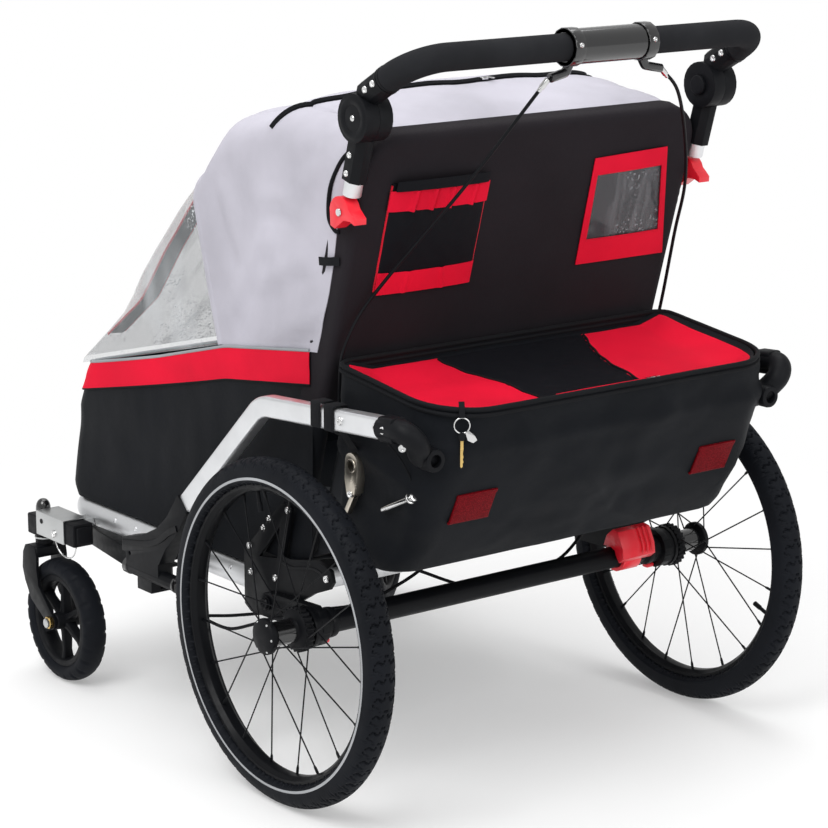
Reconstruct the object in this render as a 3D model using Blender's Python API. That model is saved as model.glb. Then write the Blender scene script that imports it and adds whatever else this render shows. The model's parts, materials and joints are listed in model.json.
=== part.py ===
"""Two-seat child bike trailer, standing on its rear wheels and two stroller casters.

Lengths are in metres, Z is up, +Y is forward and -X is the trailer's left side. Every shape below is
written with Y measured from the rear axle. The empty "axle_datum" then carries the whole trailer, so that
the middle of its outline stands over the origin.
"""
from math import atan2, ceil, cos, pi, radians, sin, tan

import bmesh
import bpy
from mathutils import Matrix, Vector

DATUM_Y = -0.23935          # rear axle, measured from the middle of the trailer's outline
GAP = 0.0003               # clearance between pieces that touch
LEFT, RIGHT = -1, 1

# Half widths. The cabin's tub sets them, and each of the others stands off it by a distance of its own.
TUB_HALF = 0.3035          # outside of the tub
LOOP_INSET = 0.0135        # lower frame's centre line inside the tub's side
HOOP_INSET = 0.0165        # cabin hoop's centre line inside the tub's side
BOW_STEP = 0.025           # roof bow inside the cabin hoop
PLATE_STAND = 0.0083       # tub's side to the suspension plate
PLATE_THICK = 0.006
BAR_STAND = 0.0425         # tub's side to the side bar's centre line
BRACKET_HALF = 0.014
WHEEL_STEP = 0.037         # side bar's centre line to the wheel's centre plane
CASTER_STEP = 0.058        # lower frame's centre line to the caster's
UPRIGHT_STEP = 0.0255      # cabin hoop to the handle's upright
JOINT_HALF = 0.0215
LOOP_HALF = TUB_HALF - LOOP_INSET
HOOP_X = TUB_HALF - HOOP_INSET
BOW_X = HOOP_X - BOW_STEP
PLATE_X = (TUB_HALF + PLATE_STAND, TUB_HALF + PLATE_STAND + PLATE_THICK)
BAR_X = TUB_HALF + BAR_STAND
BRACKET_X = (BAR_X - BRACKET_HALF, BAR_X + BRACKET_HALF)
TRACK_HALF = BAR_X + WHEEL_STEP     # wheel centre plane from the middle
CASTER_X = LOOP_HALF + CASTER_STEP
UPRIGHT_X = HOOP_X + UPRIGHT_STEP

# Rear wheels
WHEEL_RADIUS = 0.250
WHEEL_SIDES = 36
TYRE_WIDTH = 0.045
TYRE_HEIGHT = 0.036
RIM_WIDTH = 0.028
RIM_DEPTH = 0.011
SPOKE_COUNT = 20
SPOKE_RADIUS = 0.0011
SPOKE_CROSS = radians(48)  # turn between a spoke's two ends
SPOKE_SPREAD = 0.0035      # sideways step between crossing spokes
FLANGE_RADIUS = 0.033
CAP_RADIUS = 0.026
HUB_RADIUS = 0.017
HUB_INNER = 0.038          # inner flange face, from the wheel's centre plane
HUB_OUTER = 0.0355         # end of the domed cap
STUB_RADIUS = 0.0075
STUB_LENGTH = 0.038

# Rear axle and its trailing arms
AXLE_RADIUS = 0.0165
BARREL_RADIUS = 0.021
ARM_IN = PLATE_X[1] + GAP
BARREL_OUT = ARM_IN + 0.0199
BARREL_IN = BARREL_OUT - 0.042
ARM_THICK = 0.012
ARM_PIVOT = (0.110, 0.257)
ARM_PIN_RADIUS = 0.006
ARM_EYE_RADIUS = 0.016
BRAKE_PLATE_RADIUS = 0.031
BRAKE_PLATE_THICK = 0.005
PARK_X = (BARREL_IN - 0.056, BARREL_IN - 0.021)
PARK_RADIUS = 0.0225
BUTTON_SIZE = (0.015, 0.012, 0.0070)
BUTTON_X = BARREL_IN + 0.0135

# Lower frame loop
LOOP_RADIUS = 0.0215
LOOP_Z = 0.270
LOOP_REAR = 0.140
LOOP_FRONT = 0.724
LOOP_REAR_BEND = 0.060
LOOP_FRONT_BEND = 0.080

# Side bars and what they end on
BAR_WIDTH = 0.022
BAR_HEIGHT = 0.030
BAR_FOOT = (0.286, 0.371)
BAR_BEND = (0.087, 0.557)
BAR_END = (-0.222, 0.5795)
BAR_BEND_RADIUS = 0.055
CROSS_RADIUS = 0.0165
CROSS_SIDES = 10
CROSS_LEAD = 0.0370
CROSS_AT = (-0.2330, 0.5385)
CROSS_HALF = BAR_X - 0.032
SOCKET_RADIUS = 0.009
SOCKET_DEPTH = 0.012
BRACKET_SEAT = (0.360, 0.450)
BRACKET_LOW = 0.262

# Tow arm under the left side
RECEIVER_Y = (0.356, 0.447)
RECEIVER_LOW = 0.240
RECEIVER_TUBE_RADIUS = 0.0118
RECEIVER_TUBE_X = BRACKET_X[1] - 0.0115
RECEIVER_TUBE_Y = (0.320, 0.455)
RECEIVER_TUBE_Z = 0.2370
TOW_PIVOT = (0.026 - BAR_X, 0.405)
TOW_SIZE = 0.030
TOW_LOW = 0.2130
TOW_LENGTH = 0.315
TOW_ANGLE = radians(9)
TOW_PIN_RADIUS = 0.004
TOW_FORK = 0.0048

# Suspension plates
PLATE_SEAT_Y = (0.150, 0.184)
HOOP_PIN_RADIUS = 0.004

# Casters
CASTER_STEM_Y = 0.717
CASTER_TRAIL = 0.063
CASTER_RADIUS = 0.0997
CASTER_SIDES = 24
CASTER_WIDTH = 0.040
CASTER_CORE_RADIUS = 0.074
CASTER_CORE_WIDTH = 0.030
CASTER_TURN = {LEFT: 0.0, RIGHT: radians(-50)}
CASTER_BAR = 0.036
CASTER_BAR_Y = 0.593
CASTER_BAR_Z = 0.252
CASTER_CLEVIS_Y = (0.620, 0.7045)
CLEVIS_THICK = 0.0025
HOUSING_Z = (0.2275, 0.2610)
HOUSING_Y = (0.6995, 0.7400)
STEM_RADIUS = 0.0085
FORK_INNER = 0.0235
FORK_THICK = 0.0050
FORK_CROWN_Z = (0.1950, 0.2130)
CASTER_AXLE_RADIUS = 0.004

# Cabin hoops, leaning back
LEAN = atan2(0.292, 1.0)
HOOP_PIVOT = (0.103, 0.297)
HOOP_RADIUS = 0.0115
HOOP_SIDES = 10
HOOP_TOP_Z = 0.935
HOOP_BEND = 0.060
EYE_OVER = 0.0006          # how far a pivot eye is wider than its tube
BOW_RADIUS = 0.0095
BOW_PIVOT_Z = 0.560
BOW_TOP = (0.250, 0.882)
BOW_BEND = 0.060
BOW_PIN_RADIUS = 0.004

# Handle
UPRIGHT_RADIUS = 0.013
JOINT = (-0.110, 0.980)
JOINT_RADIUS = 0.033
JOINT_OUT = UPRIGHT_X + JOINT_HALF
JOINT_IN = UPRIGHT_X - JOINT_HALF
SLEEVE_X = 0.030
SLEEVE_Y = 0.036
SLEEVE_FOOT_Z = 0.893
UPPER_SLEEVE_END = (-0.1600, 1.0340)
UPPER_SLEEVE_LENGTH = 0.049
UPPER_SLEEVE_RADIUS = 0.0185
KNOB_RADIUS = 0.014
KNOB_HEIGHT = 0.008
KNOB_RECESS = 0.006
GRIP_CENTRE = (-0.215, 1.0645)
FOAM_RADIUS = 0.019
FOAM_SIDES = 14
HANDLE_BEND = 0.055
BRAKE_X = (-0.049, 0.083)
CLAMP_WIDTH = 0.018
CLAMP_RADIUS = 0.0260
SLEEVE_RADIUS = 0.0206
TWIST_RADIUS = 0.0242
LATCH_PIVOT = (-0.0655, 0.848)
LATCH_ROUND = 0.0220
LATCH_X = (UPRIGHT_X - 0.008, UPRIGHT_X + 0.012)
LATCH_PIN_RADIUS = 0.003

# Tub and red band
TUB_WALL = 0.003
TUB_FLOOR_Z = 0.2918
TUB_STEP_Z = 0.320          # underside of the side walls behind the seat, clear of the hoop's feet
TONGUE_HALF = HOOP_X - 0.021    # rear of the floor, between the hoop's feet
BAND_HEIGHT = 0.046
BAND_THICK = 0.0012
RIM_LINE = ((0.022, 0.638), (0.261, 0.607), (0.666, 0.510))
FRONT_FOOT = (0.727, 0.309)
FRONT_KNEE = (0.707, 0.442)
FRONT_BEND = 0.050

# Canopy and window
ROOF_WALL = 0.003
ROOF_BEND = 0.050
ROOF_REAR = (-0.080, 0.9500)
ROOF_REAR_FOOT = (0.034, 0.6375)
ROOF_FRONT = (0.325, 0.848)
WINDOW_FOOT = (0.261, 0.608)
WINDOW_NOSE = (0.655, 0.5135)
WINDOW_WALL = 0.002
WINDOW_NOSE_HEIGHT = 0.012

# Seats
SEAT_HALF = BOW_X - 0.012
CUSHION_Y = (0.140, 0.420)
CUSHION_THICK = 0.036
BACK_HEIGHT = 0.518
BACK_THICK = 0.026
BACK_CLEARANCE = 0.001     # from the hoop's front to the seat back

# Back panel and its pockets
PANEL_HALF = TUB_HALF - 0.0045
PANEL_TOP_HALF = HOOP_X + 0.002
PANEL_TOP_Z = 0.9480
PANEL_LOW_Z = 0.622
PANEL_THICK = 0.006
POCKET_X = (-0.240, -0.080)
POCKET_Z = (0.733, 0.890)
MAP_X = (0.116, 0.270)
MAP_Z = (0.735, 0.895)
POCKET_THICK = 0.010
MAP_THICK = 0.005

# Bag
BAG_HALF = TUB_HALF + 0.0005
BAG_FRONT = -0.030
BAG_CORNER = 0.080
BAG_FRONT_CORNER = 0.020
BAG_WALL = 0.005
BAG_REAR = ((0.360, -0.160), (0.400, -0.192), (0.457, -0.225), (0.522, -0.256), (0.555, -0.264),
            (0.600, -0.275))
BAG_LOW_HALF = BAG_HALF - 0.016
BAG_FRONT_RISE = 0.030
LID_THICK = 0.006
REFLECTOR = (0.068, 0.004, 0.046)
REFLECTOR_X = BAG_HALF - 0.082

# Things that hang at the left side
STRAP_Y = -0.085
STRAP_WIDTH = 0.022
STRAP_THICK = 0.002
COUPLER_X = 0.0315 - BAR_X
COUPLER_THICK = 0.016
PIN_X = 0.0375 - BAR_X
PIN_ENDS = ((-0.138, 0.446), (-0.212, 0.481))
PIN_RADIUS = 0.004
KEY_Z = 0.583
KEY_TURN = radians(57)
KEY_RING_RADIUS = 0.0105

# Cables
CABLE_RADIUS = 0.0025


# Materials: colour, roughness, metallic
FINISHES = {
    "satin_alloy": ((0.62, 0.63, 0.64), 0.38, 1.0),
    "zinc": ((0.60, 0.61, 0.60), 0.35, 1.0),
    "bright_steel": ((0.70, 0.69, 0.66), 0.25, 1.0),
    "black_paint": ((0.018, 0.019, 0.021), 0.42, 0.0),
    "black_plastic": ((0.022, 0.023, 0.025), 0.48, 0.0),
    "gloss_black": ((0.012, 0.012, 0.013), 0.16, 0.0),
    "foam": ((0.030, 0.031, 0.033), 0.88, 0.0),
    "tyre_rubber": ((0.026, 0.028, 0.032), 0.72, 0.0),
    "black_fabric": ((0.016, 0.018, 0.024), 0.90, 0.0),
    "red_fabric": ((0.78, 0.012, 0.035), 0.82, 0.0),
    "red_plastic": ((0.80, 0.015, 0.030), 0.38, 0.0),
    "grey_fabric": ((0.62, 0.61, 0.67), 0.88, 0.0),
    "clear_film": ((0.80, 0.82, 0.83), 0.10, 0.0),
    "seat_fabric": ((0.075, 0.078, 0.086), 0.92, 0.0),
    "red_lens": ((0.42, 0.006, 0.016), 0.20, 0.0),
}


# Shape helpers

def mesh_from(verts, faces):
    """Closed mesh with its faces turned outward."""
    mesh = bpy.data.meshes.new("shape")
    mesh.from_pydata([tuple(v) for v in verts], [], faces)
    shape = bmesh.new()
    shape.from_mesh(mesh)
    bmesh.ops.remove_doubles(shape, verts=shape.verts, dist=1e-6)
    bmesh.ops.recalc_face_normals(shape, faces=shape.faces)
    shape.to_mesh(mesh)
    shape.free()
    return mesh


def joined(*meshes):
    """One mesh that holds several meshes side by side."""
    shape = bmesh.new()
    for mesh in meshes:
        shape.from_mesh(mesh)
    result = bpy.data.meshes.new("shape")
    shape.to_mesh(result)
    shape.free()
    return result


def boolean(mesh, other, operation):
    """Exact Boolean of two meshes: UNION, DIFFERENCE or INTERSECT."""
    target = bpy.data.objects.new("target", mesh)
    tool = bpy.data.objects.new("tool", other)
    for item in (target, tool):
        bpy.context.scene.collection.objects.link(item)
    step = target.modifiers.new("step", "BOOLEAN")
    step.operation = operation
    step.object = tool
    bpy.context.view_layer.update()
    graph = bpy.context.evaluated_depsgraph_get()
    result = bpy.data.meshes.new_from_object(target.evaluated_get(graph))
    for item in (target, tool):
        bpy.data.objects.remove(item)
    return result


def union(first, *others):
    for other in others:
        first = boolean(first, other, "UNION")
    return first


def cut(first, *others):
    for other in others:
        first = boolean(first, other, "DIFFERENCE")
    return first


def turned(profile, sides, centre, axis="X"):
    """Turn (flat radius, distance) points round an axis, with a flat facet facing down."""
    swell = 1.0 / cos(pi / sides)
    rows, verts = [], []
    for radius, along in profile:
        if radius < 1e-6:
            verts.append(lathe_point(0.0, 0.0, along, axis))
            rows.append([len(verts) - 1] * sides)
            continue
        row = []
        for k in range(sides):
            angle = -pi / 2 + (k + 0.5) * 2 * pi / sides
            verts.append(lathe_point(radius * swell * cos(angle), radius * swell * sin(angle), along, axis))
            row.append(len(verts) - 1)
        rows.append(row)
    ring = profile[0][0] > 1e-6
    pairs = list(zip(rows, rows[1:]))
    if ring:
        pairs.append((rows[-1], rows[0]))
    faces = []
    for low, high in pairs:
        for k in range(sides):
            corners = (low[k], low[(k + 1) % sides], high[(k + 1) % sides], high[k])
            face = list(dict.fromkeys(corners))
            if len(face) > 2:
                faces.append(face)
    mesh = mesh_from(verts, faces)
    mesh.transform(Matrix.Translation(centre))
    return mesh


def lathe_point(across, up, along, axis):
    if axis == "X":
        return Vector((along, across, up))
    if axis == "Y":
        return Vector((across, along, up))
    return Vector((across, up, along))


def rod(radius, low, high, centre, axis="X", sides=12):
    """Plain round bar along an axis."""
    return turned(((0, low), (radius, low), (radius, high), (0, high)), sides, centre, axis)


def bore(radius, low, high, centre, axis="X", sides=10):
    """Cutter for a round hole. Its facets don't line up with those of the piece it cuts."""
    return rod(radius, low, high, centre, axis, sides)


def tube(outer, inner, low, high, centre, axis="X", sides=16):
    """Round ring along an axis."""
    return turned(((inner, low), (outer, low), (outer, high), (inner, high)), sides, centre, axis)


def prism(outline, axis, low, high):
    """Push a flat outline along an axis. The outline's two values are the other two axes, in order."""
    count = len(outline)
    verts = []
    for along in (low, high):
        for a, b in outline:
            verts.append({"X": (along, a, b), "Y": (a, along, b), "Z": (a, b, along)}[axis])
    faces = [list(range(count)), list(range(count, 2 * count))]
    for k in range(count):
        after = (k + 1) % count
        faces.append([k, after, count + after, count + k])
    return mesh_from(verts, faces)


def box(low, high, bevel=0.0):
    """Box between two corners, with its edges eased."""
    shape = bmesh.new()
    bmesh.ops.create_cube(shape, size=1.0)
    low, high = Vector(low), Vector(high)
    for vert in shape.verts:
        vert.co = Vector(low[i] + (vert.co[i] + 0.5) * (high[i] - low[i]) for i in range(3))
    if bevel:
        bmesh.ops.bevel(shape, geom=shape.edges[:], offset=bevel, segments=1, affect="EDGES")
    mesh = bpy.data.meshes.new("shape")
    shape.to_mesh(mesh)
    shape.free()
    return mesh


def side_box(side, x_range, y_range, z_range, bevel=0.0):
    """Box on one side of the trailer, with X measured outward."""
    xs = sorted((side * x_range[0], side * x_range[1]))
    return box((xs[0], y_range[0], z_range[0]), (xs[1], y_range[1], z_range[1]), bevel)


def side_prism(side, outline, x_range):
    low, high = sorted((side * x_range[0], side * x_range[1]))
    return prism(outline, "X", low, high)


def round_section(radius, sides):
    swell = radius / cos(pi / sides)
    return [(swell * cos((k + 0.5) * 2 * pi / sides), swell * sin((k + 0.5) * 2 * pi / sides))
            for k in range(sides)]


def bar_section(width, height, ease):
    w, h = width / 2, height / 2
    return [(w - ease, -h), (w, -h + ease), (w, h - ease), (w - ease, h),
            (-w + ease, h), (-w, h - ease), (-w, -h + ease), (-w + ease, -h)]


def plain_section(width, height):
    w, h = width / 2, height / 2
    return [(w, -h), (w, h), (-w, h), (-w, -h)]


def rounded(points, bend, closed=False, step=radians(18)):
    """Corner points joined by straight runs and arcs of one bend radius, or one radius for each corner."""
    points = [Vector(p) for p in points]
    count = len(points)
    path = []
    for k, corner in enumerate(points):
        if not closed and k in (0, count - 1):
            path.append(corner)
            continue
        radius = bend[k] if isinstance(bend, (list, tuple)) else bend
        before = (points[k - 1] - corner).normalized()
        after = (points[(k + 1) % count] - corner).normalized()
        opening = before.angle(after)
        if radius <= 0 or pi - opening < radians(2):
            path.append(corner)
            continue
        reach = radius / tan(opening / 2)
        middle = corner + (before + after).normalized() * radius / sin(opening / 2)
        start, end = corner + before * reach - middle, corner + after * reach - middle
        turn = pi - opening
        pieces = max(2, ceil(turn / step))
        for n in range(pieces + 1):
            share = n / pieces
            path.append(middle + (start * sin((1 - share) * turn) + end * sin(share * turn)) / sin(turn))
    return path


def swept(path, section, hint, closed=False):
    """Push a section along a path. The section's first value runs across the hint and the path's start."""
    count, size = len(path), len(section)
    hint = Vector(hint)
    verts, faces = [], []
    across = last = None
    for k, point in enumerate(path):
        before = path[k - 1] if closed or k else path[0]
        after = path[(k + 1) % count] if closed or k < count - 1 else path[-1]
        tangent = (Vector(after) - Vector(before)).normalized()
        if closed or k == 0:
            across = hint.cross(tangent).normalized()
        else:
            across = last.rotation_difference(tangent) @ across
        last = tangent
        up = tangent.cross(across)
        verts.extend(Vector(point) + across * a + up * b for a, b in section)
    for k in range(count if closed else count - 1):
        low, high = k * size, ((k + 1) % count) * size
        faces.extend([low + n, low + (n + 1) % size, high + (n + 1) % size, high + n] for n in range(size))
    if not closed:
        faces.append(list(range(size)))
        faces.append(list(range((count - 1) * size, count * size)))
    return mesh_from(verts, faces)


def arc(centre, radius, start, end, pieces):
    """Points on an arc, angles in degrees."""
    return [(centre[0] + radius * cos(radians(start + (end - start) * k / pieces)),
             centre[1] + radius * sin(radians(start + (end - start) * k / pieces))) for k in range(pieces + 1)]


def lofted(rings):
    """Closed solid through rings of equal length, capped at both ends."""
    size = len(rings[0])
    verts = [point for ring in rings for point in ring]
    faces = []
    for k in range(len(rings) - 1):
        low, high = k * size, (k + 1) * size
        faces.extend([low + n, low + (n + 1) % size, high + (n + 1) % size, high + n] for n in range(size))
    faces.append(list(range(size)))
    faces.append(list(range((len(rings) - 1) * size, len(rings) * size)))
    return mesh_from(verts, faces)


def sheet_between(outer, inner):
    """Thin closed shell between two grids of points with the same rows and columns."""
    rows, columns = len(outer), len(outer[0])
    verts = [p for row in outer for p in row] + [p for row in inner for p in row]
    shift = rows * columns
    faces = []
    for r in range(rows - 1):
        for c in range(columns - 1):
            a, b = r * columns + c, r * columns + c + 1
            faces.append([a, b, b + columns, a + columns])
            faces.append([shift + a, shift + a + columns, shift + b + columns, shift + b])
    edge = list(range(columns))
    edge += [r * columns + columns - 1 for r in range(1, rows)]
    edge += [(rows - 1) * columns + c for c in range(columns - 2, -1, -1)]
    edge += [r * columns for r in range(rows - 2, 0, -1)]
    for k, a in enumerate(edge):
        b = edge[(k + 1) % len(edge)]
        faces.append([a, b, shift + b, shift + a])
    return mesh_from(verts, faces)


def along(line, value, index=0):
    """Other coordinate of a broken line at one coordinate."""
    pairs = sorted(line, key=lambda p: p[index])
    for low, high in zip(pairs, pairs[1:]):
        if value <= high[index] or high is pairs[-1]:
            share = (value - low[index]) / (high[index] - low[index])
            return low[1 - index] + share * (high[1 - index] - low[1 - index])
    return pairs[-1][1 - index]


def hoop_y(z):
    """Y of the rear hoop's centre line at a height."""
    return HOOP_PIVOT[0] - tan(LEAN) * (z - HOOP_PIVOT[1])


# Object helpers

def make_materials():
    materials = {}
    for name, (colour, roughness, metallic) in FINISHES.items():
        material = bpy.data.materials.new(name)
        material.use_nodes = True
        shader = material.node_tree.nodes["Principled BSDF"]
        shader.inputs["Base Color"].default_value = (*colour, 1.0)
        shader.inputs["Roughness"].default_value = roughness
        shader.inputs["Metallic"].default_value = metallic
        materials[name] = material
    return materials


def place(name, mesh, material, pivot=(0.0, 0.0, 0.0), turn=0.0, smooth=radians(32)):
    """Object whose origin is its joint's point, turned about the vertical through that point."""
    pivot = Vector(pivot)
    mesh.transform(Matrix.Translation(-pivot))
    mesh.name = name
    mesh.materials.clear()
    mesh.materials.append(MATERIALS[material])
    mesh.shade_smooth()
    mesh.set_sharp_from_angle(angle=smooth)
    item = bpy.data.objects.new(name, mesh)
    item.location = pivot
    item.rotation_euler = (0.0, 0.0, turn)
    item.parent = DATUM
    bpy.context.scene.collection.objects.link(item)
    return item


def suffix(side):
    return "L" if side == LEFT else "R"


# Rear wheels

def build_wheel(side):
    centre = Vector((side * TRACK_HALF, 0.0, WHEEL_RADIUS))
    half = TYRE_WIDTH / 2
    bead = WHEEL_RADIUS - TYRE_HEIGHT
    tyre = turned(((WHEEL_RADIUS, -half * 0.35), (WHEEL_RADIUS, half * 0.35), (WHEEL_RADIUS - 0.008,
        half * 0.82),
                   (WHEEL_RADIUS - 0.021, half), (bead + GAP, RIM_WIDTH / 2), (bead + GAP, -RIM_WIDTH / 2),
                   (WHEEL_RADIUS - 0.021, -half), (WHEEL_RADIUS - 0.008, -half * 0.82)), WHEEL_SIDES,
                   centre)
    place(f"tyre_{suffix(side)}", tyre, "tyre_rubber", centre)
    lip, well = RIM_WIDTH / 2, RIM_WIDTH / 2 - 0.006
    inner = bead - RIM_DEPTH
    rim = turned(((bead, -lip), (bead, lip), (bead - 0.0055, lip), (inner, well), (inner, -well),
                  (bead - 0.0055, -lip)), WHEEL_SIDES, centre)
    place(f"rim_{suffix(side)}", rim, "black_paint", centre)
    place(f"hub_{suffix(side)}", hub_and_spokes(side, inner, centre), "black_plastic", centre)


def hub_and_spokes(side, rim_inner, centre):
    outline = ((0, -HUB_INNER - STUB_LENGTH), (STUB_RADIUS, -HUB_INNER - STUB_LENGTH), (STUB_RADIUS,
        -HUB_INNER),
               (FLANGE_RADIUS, -HUB_INNER), (FLANGE_RADIUS, -0.0210), (HUB_RADIUS, -0.0180),
               (HUB_RADIUS, 0.0200),
               (CAP_RADIUS, 0.0220), (CAP_RADIUS, 0.0290), (CAP_RADIUS * 0.7, HUB_OUTER - 0.002), (0,
               HUB_OUTER))
    hub = turned([(r, side * s) for r, s in outline], 16, centre)
    spokes = []
    for k in range(SPOKE_COUNT):
        inboard = k % 2 == 0
        lead = 1 if (k // 2) % 2 == 0 else -1
        flange = -0.0295 if inboard else 0.0255
        reach = (FLANGE_RADIUS if inboard else CAP_RADIUS) - 0.007
        outer_angle = (k + 0.5) * 2 * pi / SPOKE_COUNT
        inner_angle = outer_angle + lead * SPOKE_CROSS
        start = Vector((side * (flange + lead * SPOKE_SPREAD), reach * cos(inner_angle),
                        reach * sin(inner_angle)))
        tip = rim_inner - 2 * GAP - SPOKE_RADIUS / 4
        end = Vector((side * lead * SPOKE_SPREAD, tip * cos(outer_angle), tip * sin(outer_angle)))
        spokes.append(swept([start + centre, end + centre], round_section(SPOKE_RADIUS, 4), (1, 0, 0)))
    return union(hub, joined(*spokes))


# Rear axle

def build_axle():
    """Axle tube with its end barrels, trailing arms and brake back plates, in one welded piece."""
    centre = (0, 0, WHEEL_RADIUS)
    ends = ((0, -BARREL_OUT), (BARREL_RADIUS, -BARREL_OUT), (BARREL_RADIUS, -BARREL_IN),
            (AXLE_RADIUS, -BARREL_IN + 0.004))
    axle = turned(list(ends) + [(r, -s) for r, s in reversed(ends)], 16, centre)
    for side in (LEFT, RIGHT):
        axle = union(axle, *trailing_arm(side))
        reach = sorted((side * (BARREL_IN + 0.001), side * (BARREL_OUT + 0.03)))
        axle = cut(axle, bore(STUB_RADIUS + GAP, *reach, centre, sides=12))
        build_release_button(side)
    place("rear_axle", axle, "black_paint", pivot_point(ARM_PIVOT))
    build_parking_lever()


def pivot_point(yz, x=0.0):
    return Vector((x, yz[0], yz[1]))


def trailing_arm(side):
    """Arm from the pivot eye to the axle's barrel, and the brake's back plate."""
    axle_z = WHEEL_RADIUS
    ring = BARREL_RADIUS + 0.009
    outline = arc((0.0, axle_z), ring, 75, 285, 8) + arc(ARM_PIVOT, ARM_EYE_RADIUS, -80, 80, 5)
    arm = side_prism(side, outline, (ARM_IN, ARM_IN + ARM_THICK))
    eye = bore(ARM_PIN_RADIUS + GAP, -0.02, 0.02, pivot_point(ARM_PIVOT, side * (ARM_IN + ARM_THICK / 2)))
    low = BARREL_OUT + GAP
    outline = ((0, ARM_IN + 0.001), (ring - 0.001, ARM_IN + 0.001), (ring - 0.001, low),
               (BRAKE_PLATE_RADIUS, low),
               (BRAKE_PLATE_RADIUS, low + BRAKE_PLATE_THICK), (0, low + BRAKE_PLATE_THICK))
    collar = turned([(r, side * s) for r, s in outline], 16, (0, 0, axle_z))
    return cut(arm, eye), collar


def build_parking_lever():
    x0, x1 = PARK_X
    clear = AXLE_RADIUS / cos(pi / 16) + GAP
    lever = tube(PARK_RADIUS, clear, x0, x1, (0, 0, WHEEL_RADIUS))
    pedal = ((0.010, 0.019), (0.004, 0.036), (-0.010, 0.048), (-0.022, 0.046), (-0.034, 0.022),
             (-0.036, 0.006), (-0.026, -0.002), (-0.0195, 0.006), (-0.0150, 0.0155), (-0.004, 0.020))
    plate = prism([(y, WHEEL_RADIUS + z) for y, z in pedal], "X", x0 - 0.014, x1 + 0.016)
    lever = union(lever, plate)
    lever = cut(lever, rod(clear, x0 - 0.03, x1 + 0.03, (0, 0, WHEEL_RADIUS), sides=16))
    place("parking_lever", lever, "red_plastic", (0, 0, WHEEL_RADIUS))


def build_release_button(side):
    sx, sy, sz = BUTTON_SIZE
    top = WHEEL_RADIUS - BARREL_RADIUS - GAP
    x = side * BUTTON_X
    mesh = box((x - sx / 2, -sy / 2, top - sz), (x + sx / 2, sy / 2, top), 0.0015)
    place(f"release_button_{suffix(side)}", mesh, "red_plastic", (x, 0, top))


# Lower frame, side bars and brackets

def loop_path():
    corners = ((-LOOP_HALF, LOOP_REAR, LOOP_Z), (LOOP_HALF, LOOP_REAR, LOOP_Z),
               (LOOP_HALF, LOOP_FRONT, LOOP_Z), (-LOOP_HALF, LOOP_FRONT, LOOP_Z))
    bends = (LOOP_REAR_BEND, LOOP_REAR_BEND, LOOP_FRONT_BEND, LOOP_FRONT_BEND)
    return rounded(corners, bends, closed=True, step=radians(15))


def loop_mesh(extra=0.0):
    return swept(loop_path(), round_section(LOOP_RADIUS + extra, 12), (0, 0, 1), closed=True)


def build_frame():
    place("lower_frame", loop_mesh(), "satin_alloy")
    for side in (LEFT, RIGHT):
        points = [(side * BAR_X, *BAR_FOOT), (side * BAR_X, *BAR_BEND), (side * BAR_X, *BAR_END)]
        path = rounded(points, BAR_BEND_RADIUS, step=radians(12))
        bar = swept(path, bar_section(BAR_HEIGHT, BAR_WIDTH, 0.003), (side, 0, 0))
        place(f"side_bar_{suffix(side)}", bar, "satin_alloy")
        place(f"frame_bracket_{suffix(side)}", frame_bracket(side), "black_paint")
        place(f"suspension_plate_{suffix(side)}", suspension_plate(side), "black_paint")
    place("rear_crossbar", rear_crossbar(), "black_plastic")


def bar_direction():
    return Vector((BAR_BEND[0] - BAR_FOOT[0], BAR_BEND[1] - BAR_FOOT[1])).normalized()


def frame_bracket(side):
    """Gusset that carries a side bar's foot and is bolted to the loop."""
    run = bar_direction()
    across = Vector((-run[1], run[0]))
    foot = Vector(BAR_FOOT) - run * GAP
    upper = foot - across * BAR_HEIGHT * 0.55
    lower = foot + across * BAR_HEIGHT * 0.55
    if upper[1] < lower[1]:
        upper, lower = lower, upper
    outline = [tuple(lower), tuple(upper), (0.329, 0.342), (0.357, 0.319), (0.400, 0.298), (0.458, 0.283),
               (0.458, BRACKET_LOW), (0.354, BRACKET_LOW), (0.334, 0.291), (0.306, 0.317)]
    bracket = side_prism(side, outline, BRACKET_X)
    seat = side_box(side, (LOOP_HALF + LOOP_RADIUS - 0.006, BRACKET_X[0] + 0.004), BRACKET_SEAT,
                    (BRACKET_LOW + 0.0005, 0.2815))
    bracket = cut(union(bracket, seat), loop_mesh(GAP))
    if side == LEFT:
        bracket = union(bracket, *receiver_pieces())
        bracket = cut(bracket, rod(0.0032, -0.01, 0.006, (-BRACKET_X[1], 0.436, 0.262), sides=8))
    return bracket


def receiver_pieces():
    """Block, tube, and the two lugs and pin that hold the tow arm's rear end."""
    x, y = TOW_PIVOT
    edge = x - TOW_SIZE / 2 - 0.0025
    block = box((-BRACKET_X[1], RECEIVER_Y[0], RECEIVER_LOW), (edge, RECEIVER_Y[1], BRACKET_LOW + 0.003))
    body = rod(RECEIVER_TUBE_RADIUS, *RECEIVER_TUBE_Y, (-RECEIVER_TUBE_X, 0, RECEIVER_TUBE_Z),
               "Y", 12)
    top = TOW_LOW + TOW_SIZE
    lug_x = (-BRACKET_X[1] + 0.006, x + TOW_SIZE / 2)
    upper = box((lug_x[0], y - 0.020, top + GAP), (lug_x[1], y + 0.020, top + GAP + TOW_FORK))
    lower = box((lug_x[0], y - 0.020, TOW_LOW - GAP - TOW_FORK), (lug_x[1], y + 0.020, TOW_LOW - GAP))
    web = box((lug_x[0], y - 0.020, TOW_LOW - GAP - TOW_FORK), (edge, y + 0.020, RECEIVER_LOW + 0.004))
    pin = rod(TOW_PIN_RADIUS, TOW_LOW - 0.003, top + 0.003, (x, y, 0), "Z")
    return block, body, upper, web, lower, pin


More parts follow.
